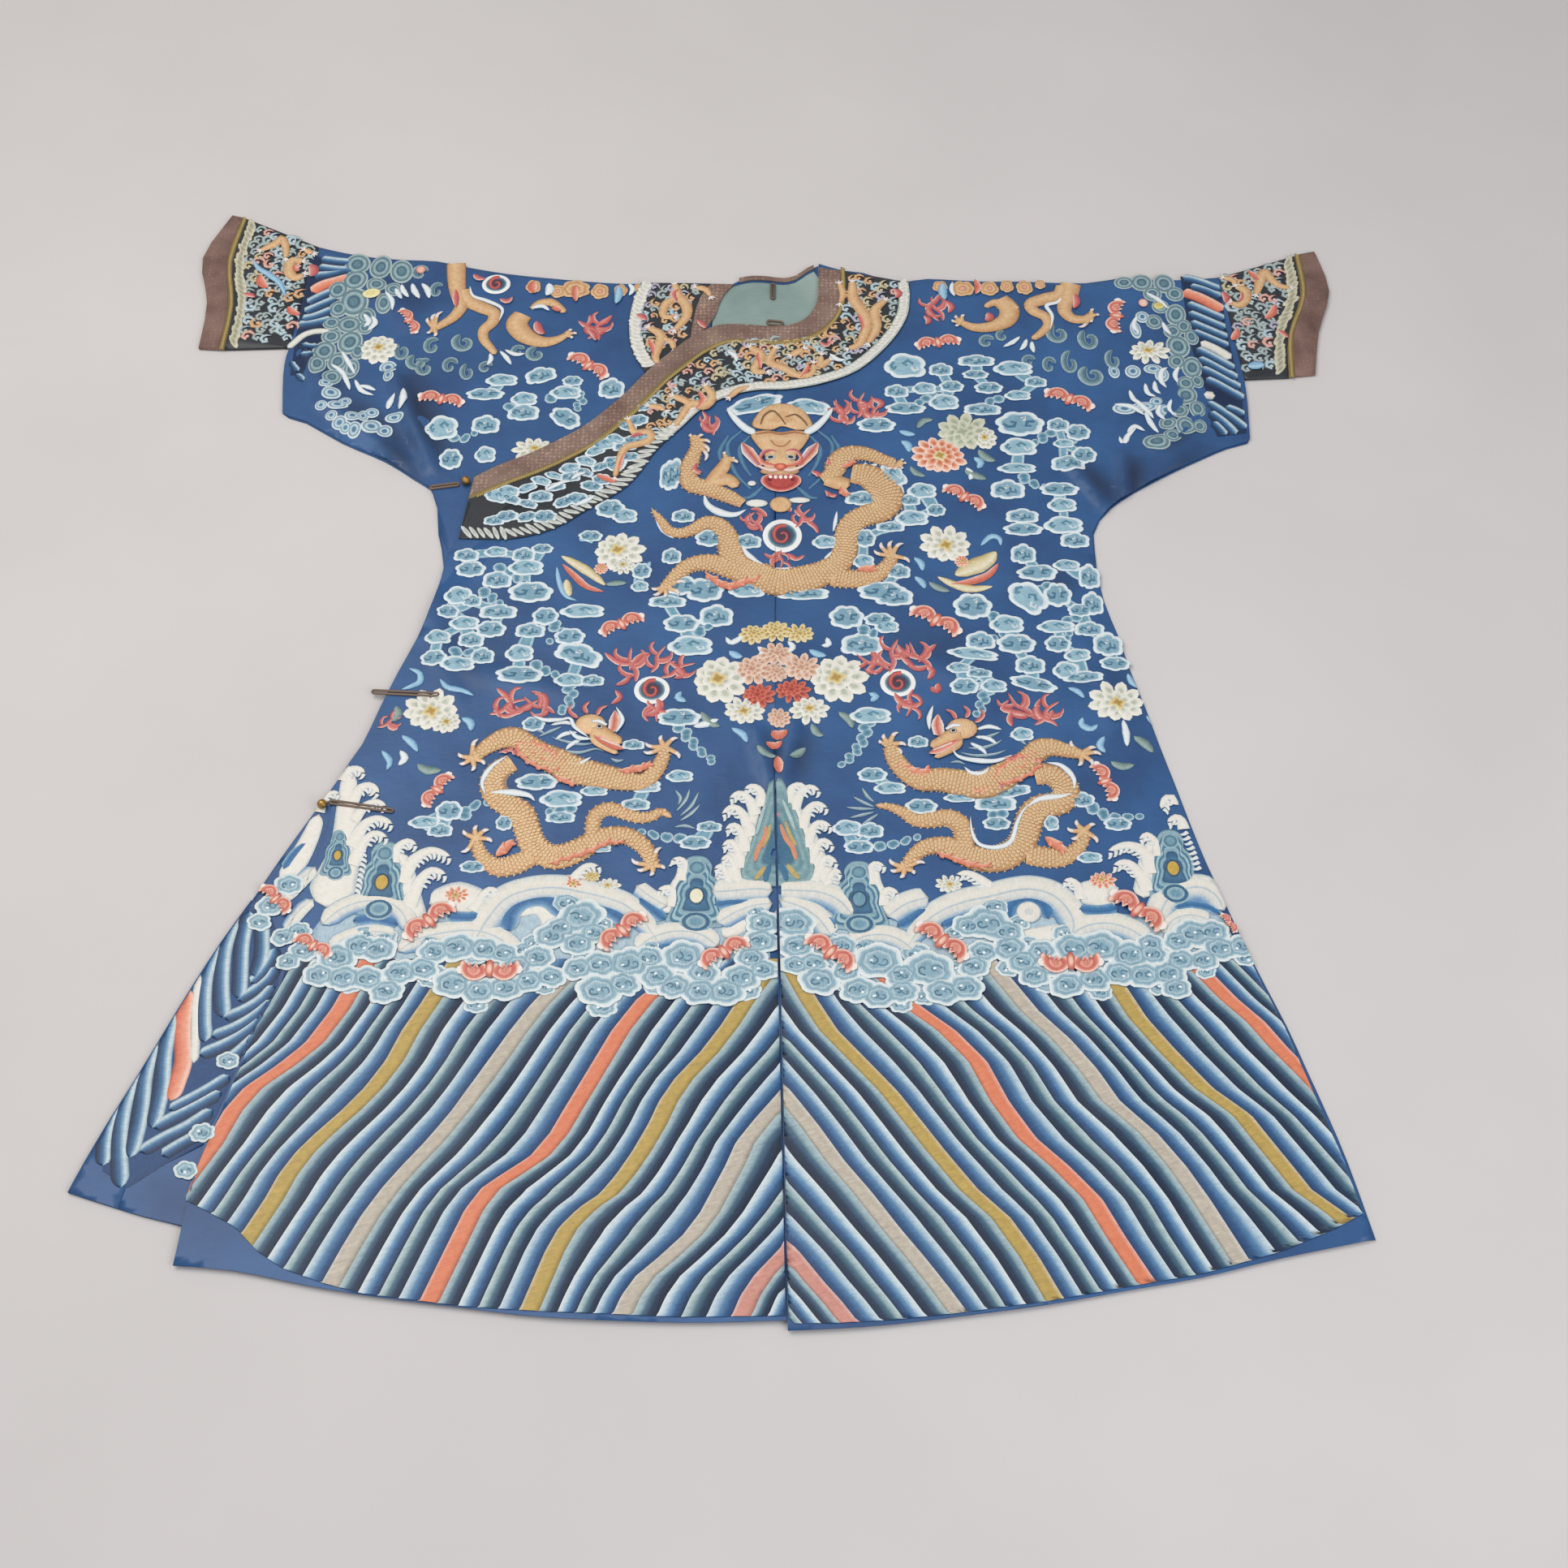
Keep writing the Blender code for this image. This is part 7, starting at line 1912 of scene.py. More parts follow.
def sow(rng, inner, outer, near, far, pitch, sizes):
    """Jittered places between two edge curves: x, y, width, height and turn."""
    a, b = smooth(inner, 4.0), smooth(outer, 4.0)
    share = np.linspace(0, 1, 60)
    a, b = (np.stack([np.interp(share, np.linspace(0, 1, len(c)), c[:, k]) for k in (0, 1)], 1)
            for c in (a, b))
    made = []
    along = 0.8 * pitch
    length = np.r_[0.0, np.cumsum(np.hypot(*np.diff(0.5 * (a + b), axis=0).T))]
    while along < length[-1] - 0.7 * pitch:
        at = np.array([[np.interp(along, length, c[:, k]) for k in (0, 1)] for c in (a, b)])
        across = np.hypot(*(at[1] - at[0]))
        count = max(1, int((across - near - far) / pitch))
        for k in range(count):
            reach = near + (across - near - far) * (k + 0.5 + rng.uniform(-0.3, 0.3)) / count
            spot = at[0] + (at[1] - at[0]) * reach / across + rng.uniform(-0.22, 0.22, 2) * pitch
            size = rng.uniform(*sizes)
            made.append((*spot, size, size * rng.uniform(0.7, 1.0), rng.uniform(-70, 70)))
        along += pitch
    return np.array(made)


def border(path, width, pitch, slant, slim, rng):
    """Slanting stitches along a path: x, y, width, height and turn; slim is height over width."""
    line = smooth(path, pitch)
    turn = degrees_of(headings(line)[0]) + slant + rng.uniform(-14, 14, len(line))
    wide = width * rng.uniform(0.9, 1.15, len(line))
    return np.column_stack([line, wide, wide * slim * rng.uniform(0.87, 1.13, len(line)), turn])


# %% Filling lobes and border stitches
# name, share of the ground, then its edge, its pale side and its deep side
FILL_SILKS = (
    ("grey", 0.34, "#3E494B", "#B3C1BE", "#7F9294"),
    ("teal", 0.22, "#3F5A68", "#C6D6D9", "#86A6B4"),
    ("gold", 0.24, "#5A4636", "#DDB78B", "#B9835A"),
    ("rose", 0.06, "#7E4F4C", "#E2BBAE", "#BC7A70"),
    ("lilac", 0.06, "#585867", "#BDBAC8", "#88859A"),
    ("sand", 0.08, "#5E5740", "#CDC5A6", "#A2946A"),
)
BORDER_SILKS = {
    "white": ((1.0, "#8E9796"), (0.88, "#E4E3DA"), (0.55, "#DAD9CF"), (0.25, "#C9CBC3")),
    "grey": ((1.0, "#6F7B7C"), (0.86, "#D2D5CD"), (0.55, "#C6CAC2"), (0.25, "#AEB5B0")),
    "cream": ((1.0, "#77745C"), (0.86, "#D3CFB8"), (0.55, "#BDB99F"), (0.25, "#9A9A84")),
}


FILL = (16.0, 13.0)
ROUND_STITCH = (16.0, 16.0)


def draw_fill(work, edge, pale, deep):
    """A small scroll with a knot in its middle, of a few dozen faces."""
    scroll = spiral(6.4, 1.05, 7, start=0.5) * (1.15, 0.95)
    work.band(scroll, [2.6, 5.4, 5.0, 3.6], ((-1.0, edge), (-0.3, pale), (0.6, deep)), lift=0.0, puff=0.8,
              step=4.2, taper=(0.3, 0.1))
    onion(work, oval(4.6, 4.0, 5), (0, 0), ((1.0, edge), (0.6, pale)), lift=0.3, puff=0.5)


def draw_stitch(work, shades):
    """A round of satin stitches, to be stretched into a slanting one."""
    onion(work, oval(*ROUND_STITCH, 9), (0, 0), shades, lift=0.0, puff=1.1, angle=90)


CUFF_SHARES = np.array([1.6, 1.0, 0.25, 1.5, 0.7, 0.6])
COLLAR_FOOT = -165.0             # left of it the collar's band carries clouds
rng = np.random.default_rng(23)
# place, surface, edges, distances kept from them, pitch
STRIPS = (
    ("collar", collar_top, COLLAR_INNER, COLLAR_OUTER, 22, 13, 12.0),
    ("inner_collar", inner_collar_top, UNDER_INNER, UNDER_OUTER, 22, 15, 12.0),
    ("right_cuff", inner_top, RIGHT_CUFF_INNER, RIGHT_CUFF_OUTER, 3, 16, 12.5),
    ("left_cuff", inner_top, LEFT_CUFF_INNER, LEFT_CUFF_OUTER, 3, 16, 12.5),
)
for place, surface, inner, outer, near, far, pitch in STRIPS:
    cuff = "cuff" in place
    spots = sow(rng, inner, outer, near, far, pitch, (17.0, 24.0) if cuff else (15.0, 21.0))
    shares = np.array([row[1] for row in FILL_SILKS]) * (CUFF_SHARES if cuff else 1.0)
    hue = rng.choice(len(FILL_SILKS), len(spots), p=shares / shares.sum())
    if place == "collar":
        above = spots[:, 0] >= COLLAR_FOOT
        spots, hue = spots[above], hue[above]
    for n, (silk, _, *shades) in enumerate(FILL_SILKS):
        if (hue == n).any():
            scatter("%s_%s_lobes" % (place, silk), spots[hue == n],
                    motif("fill_" + silk, draw_fill, *shades), FILL, SILK_STITCH,
                    lift=0.15 + 0.1 * n, surface=surface)
clouds = sow(rng, COLLAR_INNER, COLLAR_OUTER, 20, 18, 20, (24.0, 32.0))
clouds = clouds[(clouds[:, 0] < COLLAR_FOOT + 5.0) & (clouds[:, 0] > -352.0)] * (1.0, 1.0, 1.0, 0.8, 0.4)
for n, shape in enumerate(lobes):
    scatter("collar_foot_clouds_%d" % (n + 1), clouds[n::len(lobes)], shape, LOBE, SILK_STITCH,
            lift=0.3 + 0.1 * n, surface=collar_top)

# %% Borders along the outer edges
# node, surface, path, width, pitch, slant, slimness, silk
BORDERS = (
    ("collar_border", collar_top, offset(COLLAR_OUTER[:12], -7.5), 16, 6.0, -38, 0.44, "white"),
    ("collar_border_foot", collar_top, offset(COLLAR_OUTER[10:], -9.0)[3:-2], 22, 8.5, -58, 0.27, "grey"),
    ("inner_collar_border", inner_collar_top, offset(UNDER_OUTER, 8.5)[:-2], 18, 7.0, 60, 0.46, "white"),
    ("right_cuff_border", inner_top, offset(RIGHT_CUFF_OUTER, 9.5)[3:-3], 24, 8.5, 24, 0.36, "cream"),
    ("left_cuff_border", inner_top, offset(LEFT_CUFF_OUTER, -9.5)[3:-3], 26, 8.5, -24, 0.35, "cream"),
)
UNDER_BORDER = ((-1.0, "#9BA9A6"), (-0.5, "#D6D8CE"), (0.4, "#DEDCD0"), (1.0, "#9BA9A6"))
edging = {collar_top: Embroidery("collar_edging", collar_top),
          inner_collar_top: Embroidery("inner_collar_edging", inner_collar_top)}
for name, surface, path, width, pitch, slant, slim, silk in BORDERS:
    scatter(name, border(path, width, pitch, slant, slim, rng),
            motif("border_" + silk, draw_stitch, BORDER_SILKS[silk]), ROUND_STITCH, SILK_STITCH,
            lift=0.35, surface=surface)
    if surface in edging and "foot" not in name:
        edging[surface].band(path, width * 0.86, UNDER_BORDER, lift=0.15, puff=0.5)
for work in edging.values():
    work.build(SILK_STITCH)

# %% Small gold dragons on the collar and the cuffs
# width and x y pairs; each list lies on one surface
COLLAR_GOLD = (
    (10, (-41, 643, -28, 630, -36, 605, -21, 602)),
    (9, (-11, 641, -18, 619, -1, 609, 19, 596, 34, 600, 36, 616)), (8, (9, 630, 24, 641)),
    (12, (86, 755, 87, 727, 97, 706, 103, 685, 94, 650, 79, 641)),
    (10, (126, 724, 113, 706, 115, 678, 104, 650)),
    (10, (-95, 578, -87, 562, -96, 546, -112, 549, -123, 529, -131, 512)),
    (8, (-134, 562, -119, 554, -112, 542)),
    (9, (-187, 523, -179, 503, -162, 503, -161, 490, -176, 484, -190, 477, -197, 452, -200, 432)),
    (7, (-163, 546, -151, 544, -143, 538)), (7, (70, 752, 74, 735, 70, 718)),
    (7, (-66, 560, -56, 572, -42, 578)), (8, (56, 622, 44, 612, 46, 630)),
)
UNDER_GOLD = (
    (11, (-137, 752, -132, 733, -122, 716, -122, 696, -135, 674)),
    (9, (-134, 730, -148, 718, -150, 699, -137, 696)),
    (10, (-167, 678, -152, 664, -158, 630, -153, 616)), (7, (-110, 748, -98, 744, -92, 732)),
    (7, (-148, 660, -138, 652, -136, 640)),
)
CUFF_GOLD = (
    (9, (-665, 816, -648, 828, -641, 837, -634, 820, -632, 801)),
    (12, (-611, 796, -623, 796, -625, 778, -616, 767, -606, 773)), (7, (-609, 816, -598, 810)),
    (10, (592, 738, 600, 762, 607, 778, 615, 762, 625, 752, 636, 750)),
    (11, (569, 752, 579, 744, 577, 727, 568, 718, 560, 724)), (7, (555, 767, 564, 764, 570, 755)),
)
ACCENTS = (
    (BLUSH, 8, (-104, 570, -98, 556, -106, 540)), (FLAME, 7, (-168, 498, -176, 500, -184, 494)),
    (BLUSH, 7, (20, 592, 28, 606, 30, 616)), (FLAME, 7, (44, 652, 52, 646, 58, 654)),
    (BLUSH, 7, (92, 700, 98, 684, 96, 668)), (FLAME, 10, (138, 744, 144, 736, 140, 728)),
    (BLUSH, 7, (-32, 634, -30, 616, -28, 606)), (BLUSH, 6, (-190, 470, -194, 456, -196, 440)),
    (BLUSH, 9, (-222, 436, -210, 430, -198, 424)), (WHITE_FIN, 7, (-70, 636, -60, 628, -58, 618)),
    (WHITE_FIN, 7, (56, 632, 66, 622, 76, 622)), (WHITE_FIN, 6, (-252, 428, -244, 436, -234, 440)),
    (WHITE_FIN, 7, (-246, 388, -232, 396, -222, 404)), (WHITE_FIN, 6, (-282, 410, -262, 424, -250, 426)),
)
CUFF_ACCENTS = (
    (FLAME, 14, (-600, 790, -594, 780, -596, 768)), (BLUSH, 13, (-661, 772, -658, 758, -648, 748)),
    (BLUSH, 11, (-620, 716, -612, 706, -602, 702)), (FLAME, 8, (-678, 738, -668, 736, -662, 732)),
    (RIBBON, 9, (-673, 799, -665, 784, -650, 772, -634, 756, -624, 732)),
    (FLAME, 10, (550, 742, 554, 732, 552, 722)), (BLUSH, 11, (598, 694, 608, 704, 614, 720)),
    (BLUSH, 11, (553, 658, 560, 668, 562, 678)), (FLAME, 7, (612, 676, 620, 668, 624, 662)),
    (RIBBON, 14, (568, 614, 578, 616, 590, 618)), (BLUSH, 9, (586, 778, 594, 770, 598, 762)),
    (BLUSH, 8, (-620, 790, -618, 782, -612, 778)), (FLAME, 6, (574, 742, 574, 732, 568, 724)),
)
UNDER_ACCENTS = (
    (FLAME, 9, (-132, 744, -138, 736, -134, 722)), (FLAME, 10, (-184, 700, -176, 696, -170, 690)),
    (BLUSH, 7, (-168, 660, -162, 646, -160, 630)), (FLAME, 8, (-108, 690, -102, 684, -96, 676)),
)
GOLDWORK = (
    ("collar_dragons", collar_top, COLLAR_GOLD, ACCENTS),
    ("inner_collar_dragons", inner_collar_top, UNDER_GOLD, UNDER_ACCENTS),
    ("cuff_dragons", inner_top, CUFF_GOLD, CUFF_ACCENTS),
)
CLAW_REACH = 7.5
CLAW_SPREAD = (-0.9, 0.0, 0.9)   # sideways over ahead
for name, surface, bodies, accents in GOLDWORK:
    work, silks = Embroidery(name, surface), Embroidery(name + "_silks", surface)
    for width, numbers in bodies:
        gold(work, numbers, np.array([0.8, 1.35, 1.3, 1.1, 0.7]) * width, lift=0.9, puff=1.1)
        path = pairs(numbers)
        for tip, root in ((path[-1], path[-2]), (path[0], path[1])):
            ahead = (tip - root) / max(1.0, np.hypot(*(tip - root)))
            side = np.array([-ahead[1], ahead[0]])
            for lean in CLAW_SPREAD:
                claw = tip + CLAW_REACH * (ahead + lean * side) / np.hypot(1.0, lean)
                silks.band([tip, claw], [3.2, 2.0], CLAW, lift=1.2, puff=0.4, step=2.5, taper=(0.0, 0.3))
    strokes(silks, accents, (0.6, 1.0, 0.5), lift=1.5, puff=0.7)
    work.build(GOLD_STITCH)
    silks.build(SILK_STITCH)

# %% [markdown]
# ## Twisted cord
# The piping is a cord of two plies, olive and gold, laid beside the binding. Each visible
# twist of a ply is one slanting lump, so the cord is a row of lumps on a flat core.

# %% Piping
# the last colour is the painted shade laid into the valley beside each crease
OLIVE_CORD = satin_ground("olive_gold_floss", "#6E5C34", "#8F7A45", "#463A20")


TWIST = (7.6, 3.6)
TWIST_LEAN = 48.0                # degrees from the way the cord runs
TWIST_PITCH = 3.0
CUFF_CORD_TOP = CLOTH - 0.1      # the core is as thick as a cuff, and its twists begin just under that


def draw_ply(work):
    """One twist of a ply, a slim lump."""
    onion(work, oval(*TWIST, 8), (0, 0), ((1.0, "#55482B"), (0.8, "#85733F"), (0.35, "#AC965F")),
          lift=0.0, puff=1.0)


ply = motif("cord_ply", draw_ply)
# node, its under side, what its twists lie over, path, thickness and top of its core
PIPINGS = (
    ("collar_piping", on_front, front_top, offset(COLLAR_INNER, PIPING_FROM_BINDING), 2.3, PLY + 0.5),
    ("right_cuff_piping", inner_low, inner_low, pattern((-666.7, 746, -676, 669, -665, 593, -667, 518)),
     CLOTH, CUFF_CORD_TOP),
    ("left_cuff_piping", inner_low, inner_low, pattern((678, 680, 677.7, 609, 654, 540, 647.5, 471)),
     CLOTH, CUFF_CORD_TOP),
)
for name, low, surface, path, thick, top in PIPINGS:
    robe[name] = shell(name, low, OLIVE_CORD, "olive_gold_cord", cell=FINE, thickness=thick)
    line = smooth(path, TWIST_PITCH)
    turn = degrees_of(headings(line)[0]) + TWIST_LEAN
    rows = np.column_stack([line, np.full((len(line), 2), TWIST), turn])
    scatter(name + "_plies", rows, ply, TWIST, GOLD_STITCH, lift=top, surface=surface)



# %% [markdown]
# ## Sleeve ends, shoulders and the turned strip
# The foam bank comes again as a column at each sleeve end, with slanting ribs between it and
# the cuff. Parts of the two shoulder dragons show as far as the fold. The strip of the back
# that is turned to the front has its own ribs, which meet the inner front's in chevrons.

# %% Ribs of the sleeve ends and the turned strip
RIB = ((-1.0, "#13243F"), (-0.5, "#1F3F63"), (0.0, "#3C6A94"), (0.3, "#7FA3BC"), (0.55, "#C3D2D6"),
       (0.8, "#A9BFC8"), (1.0, "#3F6482"))
CORAL_RIB = ((-1.0, "#9C4B3E"), (-0.6, "#D4745A"), (0.3, "#E39A80"), (0.75, "#EBC3B0"), (1.0, "#C98A78"))
CREAM_RIB = ((-1.0, "#8F9A98"), (-0.5, "#DAD9D0"), (0.4, "#E4E2D8"), (1.0, "#9FAAA8"))
SLEEVE_RIBS = (
    (RIB, 12, (-588, 800, -566, 796, -546, 794)), (RIB, 12, (-590, 786, -568, 782, -546, 780)),
    (CORAL_RIB, 13, (-593, 742, -580, 754, -562, 762, -546, 768)),
    (RIB, 12, (-594, 770, -572, 774, -548, 784)), (RIB, 12, (-596, 722, -578, 736, -558, 748)),
    (RIB, 12, (-598, 706, -580, 718, -560, 730)), (RIB, 12, (-600, 694, -582, 700, -562, 712)),
    (RIB, 12, (-604, 684, -584, 688, -562, 695)),
    (CREAM_RIB, 7, (-612, 645, -604, 656, -594, 668, -580, 674, -562, 674)),
    (RIB, 9, (-596, 652, -584, 648, -574, 650)), (RIB, 8, (-596, 634, -586, 632, -578, 636)),
    (RIB, 7, (-598, 602, -592, 598, -586, 590)), (RIB, 7, (-606, 624, -600, 614, -594, 606)),
    (RIB, 12, (502, 766, 518, 762, 548, 746)), (RIB, 12, (510, 752, 528, 746, 548, 733)),
    (CORAL_RIB, 13, (500, 742, 515, 736, 532, 724, 548, 710)),
    (RIB, 12, (503, 722, 520, 712, 548, 694)), (RIB, 12, (503, 706, 520, 696, 548, 678)),
    (RIB, 12, (504, 690, 520, 680, 549, 662)), (RIB, 11, (506, 674, 520, 666, 549, 648)),
    (CREAM_RIB, 10, (514, 655, 530, 646, 550, 628)), (RIB, 12, (507, 644, 522, 634, 552, 610)),
    (RIB, 12, (508, 628, 524, 618, 554, 594)), (RIB, 12, (510, 612, 526, 602, 556, 578)),
    (RIB, 12, (514, 594, 530, 584, 558, 560)), (CREAM_RIB, 10, (510, 568, 516, 567, 524, 566)),
    (RIB, 11, (512, 556, 526, 544, 540, 530, 556, 512)),
    (RIB, 11, (514, 540, 526, 528, 536, 514, 542, 503)), (RIB, 10, (516, 524, 524, 514, 530, 502)),
    (RIB, 10, (534, 548, 546, 542, 556, 534)),
)
TURNED_RIBS = (
    (RIB, 13, (-547, -168, -543, -195, -541, -220, -545, -243)),
    (RIB, 13, (-560, -163, -563, -200, -560, -240, -558, -268)),
    (RIB, 14, (-575, -172, -581, -210, -578, -255, -571, -290)),
    (RIB, 14, (-590, -205, -596, -245, -592, -290, -586, -318)),
    (CREAM_RIB, 8, (-601, -240, -601, -275, -597, -310, -594, -342)),
    (CORAL_RIB, 14, (-611, -258, -611, -300, -605, -338, -608, -362, -612, -384)),
    (RIB, 14, (-624, -286, -626, -330, -623, -370, -626, -414)),
    (RIB, 14, (-638, -316, -642, -355, -640, -400, -643, -446)),
    (RIB, 14, (-652, -345, -658, -390, -656, -430, -647, -478)),
    (RIB, 12, (-665, -380, -671, -420, -668, -455)),
    (RIB, 11, (-548, -250, -538, -238, -530, -222, -527, -208)),
    (RIB, 11, (-559, -270, -543, -258, -530, -244, -524, -230)),
    (RIB, 12, (-570, -291, -550, -281, -534, -268, -524, -252)),
    (RIB, 12, (-580, -312, -558, -302, -540, -288, -525, -270)),
    (RIB, 12, (-590, -333, -566, -321, -546, -306, -530, -288)),
    (RIB, 11, (-560, -338, -548, -326, -536, -310)),
    (RIB, 11, (-612, -394, -592, -382, -574, -370, -556, -356)),
    (RIB, 12, (-624, -414, -602, -400, -582, -388, -562, -374)),
    (RIB, 12, (-634, -440, -612, -425, -590, -412, -568, -394)),
    (RIB, 11, (-612, -444, -596, -432, -578, -420)),
)
# edge silk, middle silk and outline of what lies under the ribs
UNDER_RIBS = (
    ("#1E3D66", "#234775", (-540, -160, -566, -164, -590, -205, -615, -262, -642, -330, -668, -400,
                            -668, -460, -640, -478, -606, -452, -570, -430, -552, -395, -540, -345,
                            -526, -300, -520, -250, -522, -205)),
    ("#1B3252", "#16294A", (-600, 805, -546, 800, -546, 742, -560, 690, -566, 640, -590, 600, -604, 600,
                            -604, 690)),
    ("#1B3252", "#16294A", (500, 770, 548, 752, 550, 660, 556, 570, 556, 506, 520, 500, 508, 560,
                            502, 660)),
)
ribs = Embroidery("sleeve_and_turned_ribs")
for edge, middle, numbers in UNDER_RIBS:
    ribs.patch(pairs(numbers), edge, middle, lift=0.15, puff=0.1, step=8.0)
strokes(ribs, SLEEVE_RIBS + TURNED_RIBS, (1.32, 1.32), lift=0.3, puff=0.8, taper=(0.08, 0.08), step=4.0)
ribs.build(SILK_STITCH)

# %% Foam columns, spirals and blades
DARK_FOAM = ((1.0, "#7F9698"), (0.88, "#B7C6C4"), (0.84, "#5B7780"), (0.66, "#6E8C94"),
             (0.62, "#9FB5B8"), (0.46, "#7F9BA3"), (0.40, "#41606F"), (0.2, "#5F808E"))
PALE_FOAM = ((1.0, "#8FA8B4"), (0.90, "#D9E2E2"), (0.80, "#C9D6DA"), (0.76, "#7394A6"),
             (0.60, "#87A8B8"), (0.54, "#C4D4DA"), (0.34, "#9FBBC8"), (0.28, "#4F7896"))
CURL = ((-1.0, "#A9BBBC"), (-0.6, "#86A0A4"), (0.0, "#5E7F8A"), (0.6, "#43657A"), (1.0, "#93A9AD"))
# silks, then x, y, width and height four by four
LUMPS = (
    (DARK_FOAM, (-510, 785, 28, 44, -483, 778, 30, 42, -540, 790, 34, 40, -540, 762, 34, 36, -538, 724,
                 38, 52, -560, 745, 26, 34, -556, 712, 24, 30, -520, 700, 24, 30, -500, 720, 22, 34,
                 -512, 752, 26, 26, -490, 745, 22, 26, -540, 685, 32, 30, -562, 688, 24, 22, -536, 655,
                 32, 42, -560, 665, 26, 26, -566, 640, 30, 36, -572, 616, 22, 34, -548, 622, 26, 34,
                 -552, 596, 24, 26, -530, 610, 20, 34, -520, 680, 20, 24, -525, 640, 20, 30)),
    (PALE_FOAM, (-485, 612, 22, 24, -483, 596, 14, 18, -550, 568, 24, 22, -558, 584, 18, 14, -540, 548,
                 26, 16, -532, 556, 16, 14, -535, 520, 20, 20, -520, 530, 20, 18, -516, 508, 18, 24,
                 -496, 514, 26, 26, -480, 508, 20, 22, -498, 538, 18, 16, -527, 512, 16, 18, -508, 532,
                 14, 20, -546, 532, 16, 14, -560, 548, 16, 14, -470, 530, 24, 16)),
    (DARK_FOAM, (450, 758, 28, 30, 478, 756, 28, 34, 490, 738, 24, 26, 462, 738, 24, 26, 488, 702,
                 26, 38, 470, 716, 22, 24, 496, 682, 20, 26, 482, 674, 24, 26, 486, 648, 30, 40,
                 504, 664, 18, 28, 500, 612, 26, 38, 482, 622, 22, 26, 490, 586, 24, 24, 488, 566,
                 30, 34, 504, 590, 16, 24, 500, 544, 22, 28, 478, 540, 22, 26, 484, 516, 28, 28,
                 462, 520, 22, 24, 500, 516, 18, 24, 466, 500, 24, 18, 446, 490, 34, 26, 460, 690,
                 22, 26, 428, 758, 26, 22)),
    (PALE_FOAM, (404, 606, 14, 22, 427, 606, 20, 22, 452, 610, 24, 16, 462, 600, 18, 24, 446, 698,
                 18, 20, 436, 676, 14, 30, 462, 542, 20, 24, 452, 556, 18, 16, 412, 545, 30, 18,
                 436, 548, 34, 16)),
)
SPIRALS = (
    -470, 640, 20, 38, -450, 622, 26, 30, -434, 648, 22, 34, -440, 612, 24, 36, -410, 615, 20, 34, -387,
    605, 18, 36, -395, 655, 28, 36, -305, 635, 24, 28, -328, 640, 18, 22, -436, 744, 18, 34, -366, 612,
    18, 24, -460, 775, 22, 30, 340, 670, 28, 40, 378, 660, 26, 44, 325, 615, 18, 36, 352, 620, 22, 50,
    378, 600, 32, 40, 405, 625, 20, 40, 250, 655, 20, 26, 270, 665, 16, 22, 300, 622, 18, 24,
)
BLADES = (
    (8, (-481, 755, -478, 744, -470, 732)), (9, (-468, 757, -464, 744, -456, 730)),
    (9, (-456, 757, -448, 746, -444, 730)), (8, (-488, 748, -484, 738, -478, 728)),
    (9, (-480, 543, -477, 556, -472, 566)), (10, (-465, 540, -461, 556, -462, 574)),
    (8, (-513, 700, -508, 688, -516, 674)), (8, (-524, 704, -516, 690, -522, 680)),
    (7, (-500, 740, -490, 724, -488, 706)), (7, (-545, 640, -534, 620, -524, 600)),
    (7, (-556, 618, -542, 606, -530, 586)), (7, (-524, 592, -514, 574, -498, 566)),
    (7, (-518, 582, -508, 580, -496, 574)), (6, (-540, 600, -532, 586, -528, 574)),
    (8, (470, 612, 462, 606, 460, 590, 466, 578)), (7, (484, 614, 478, 600, 480, 586)),
    (7, (454, 740, 468, 728, 480, 712)), (7, (470, 690, 474, 676, 480, 668)),
    (7, (440, 700, 434, 684, 440, 668)), (7, (440, 586, 442, 570, 452, 564)),
    (7, (452, 590, 452, 576, 458, 568)), (7, (470, 560, 466, 544, 474, 530)),
    (7, (456, 552, 452, 538, 460, 526)), (8, (402, 500, 406, 484, 412, 500, 424, 514)),
    (7, (420, 575, 424, 560, 432, 552)), (8, (400, 552, 420, 548, 436, 534)),
    (8, (424, 562, 440, 540, 446, 528)), (8, (436, 540, 442, 520, 450, 504)),
    (7, (412, 506, 422, 516, 434, 508)), (6, (-395, 752, -390, 735, -372, 726, -352, 712, -354, 690)),
    (6, (352, 752, 344, 726, 328, 718, 334, 700, 330, 676)), (7, (-350, 640, -342, 630, -334, 616)),
    (7, (-362, 636, -360, 626, -364, 616)), (7, (-344, 642, -330, 634, -318, 636)),
    (7, (300, 660, 296, 648, 290, 640)), (7, (306, 656, 306, 646, 308, 636)),
    (7, (292, 664, 282, 654, 270, 646)),
)
shoulders = Embroidery("sleeve_foam_and_spirals")
for layers, numbers in LUMPS:
    for n, (x, y, wide, high) in enumerate(np.reshape(numbers, (-1, 4))):
        bead(shoulders, x, y, wide, high, 20, layers, lift=0.35 + 0.03 * (n % 7), puff=0.9,
             lean=8 * math.sin(x))
for x, y, wide, high in np.reshape(SPIRALS, (-1, 4)):
    curl = spiral(0.46 * wide, 1.15, 14, start=1.2 + math.sin(x)) * (1.0, 0.9 * high / wide) + (x, y)
    shoulders.band(curl, np.array([0.42, 0.36, 0.24]) * wide, CURL, lift=0.5, puff=0.7, step=3.0,
                   taper=(0.2, 0.1))
for width, numbers in BLADES:
    shoulders.band(pairs(numbers), [width * 0.5, width, width * 0.45], WHITE_FIN, lift=1.2, puff=0.6,
                   step=3.0, taper=(0.15, 0.2))
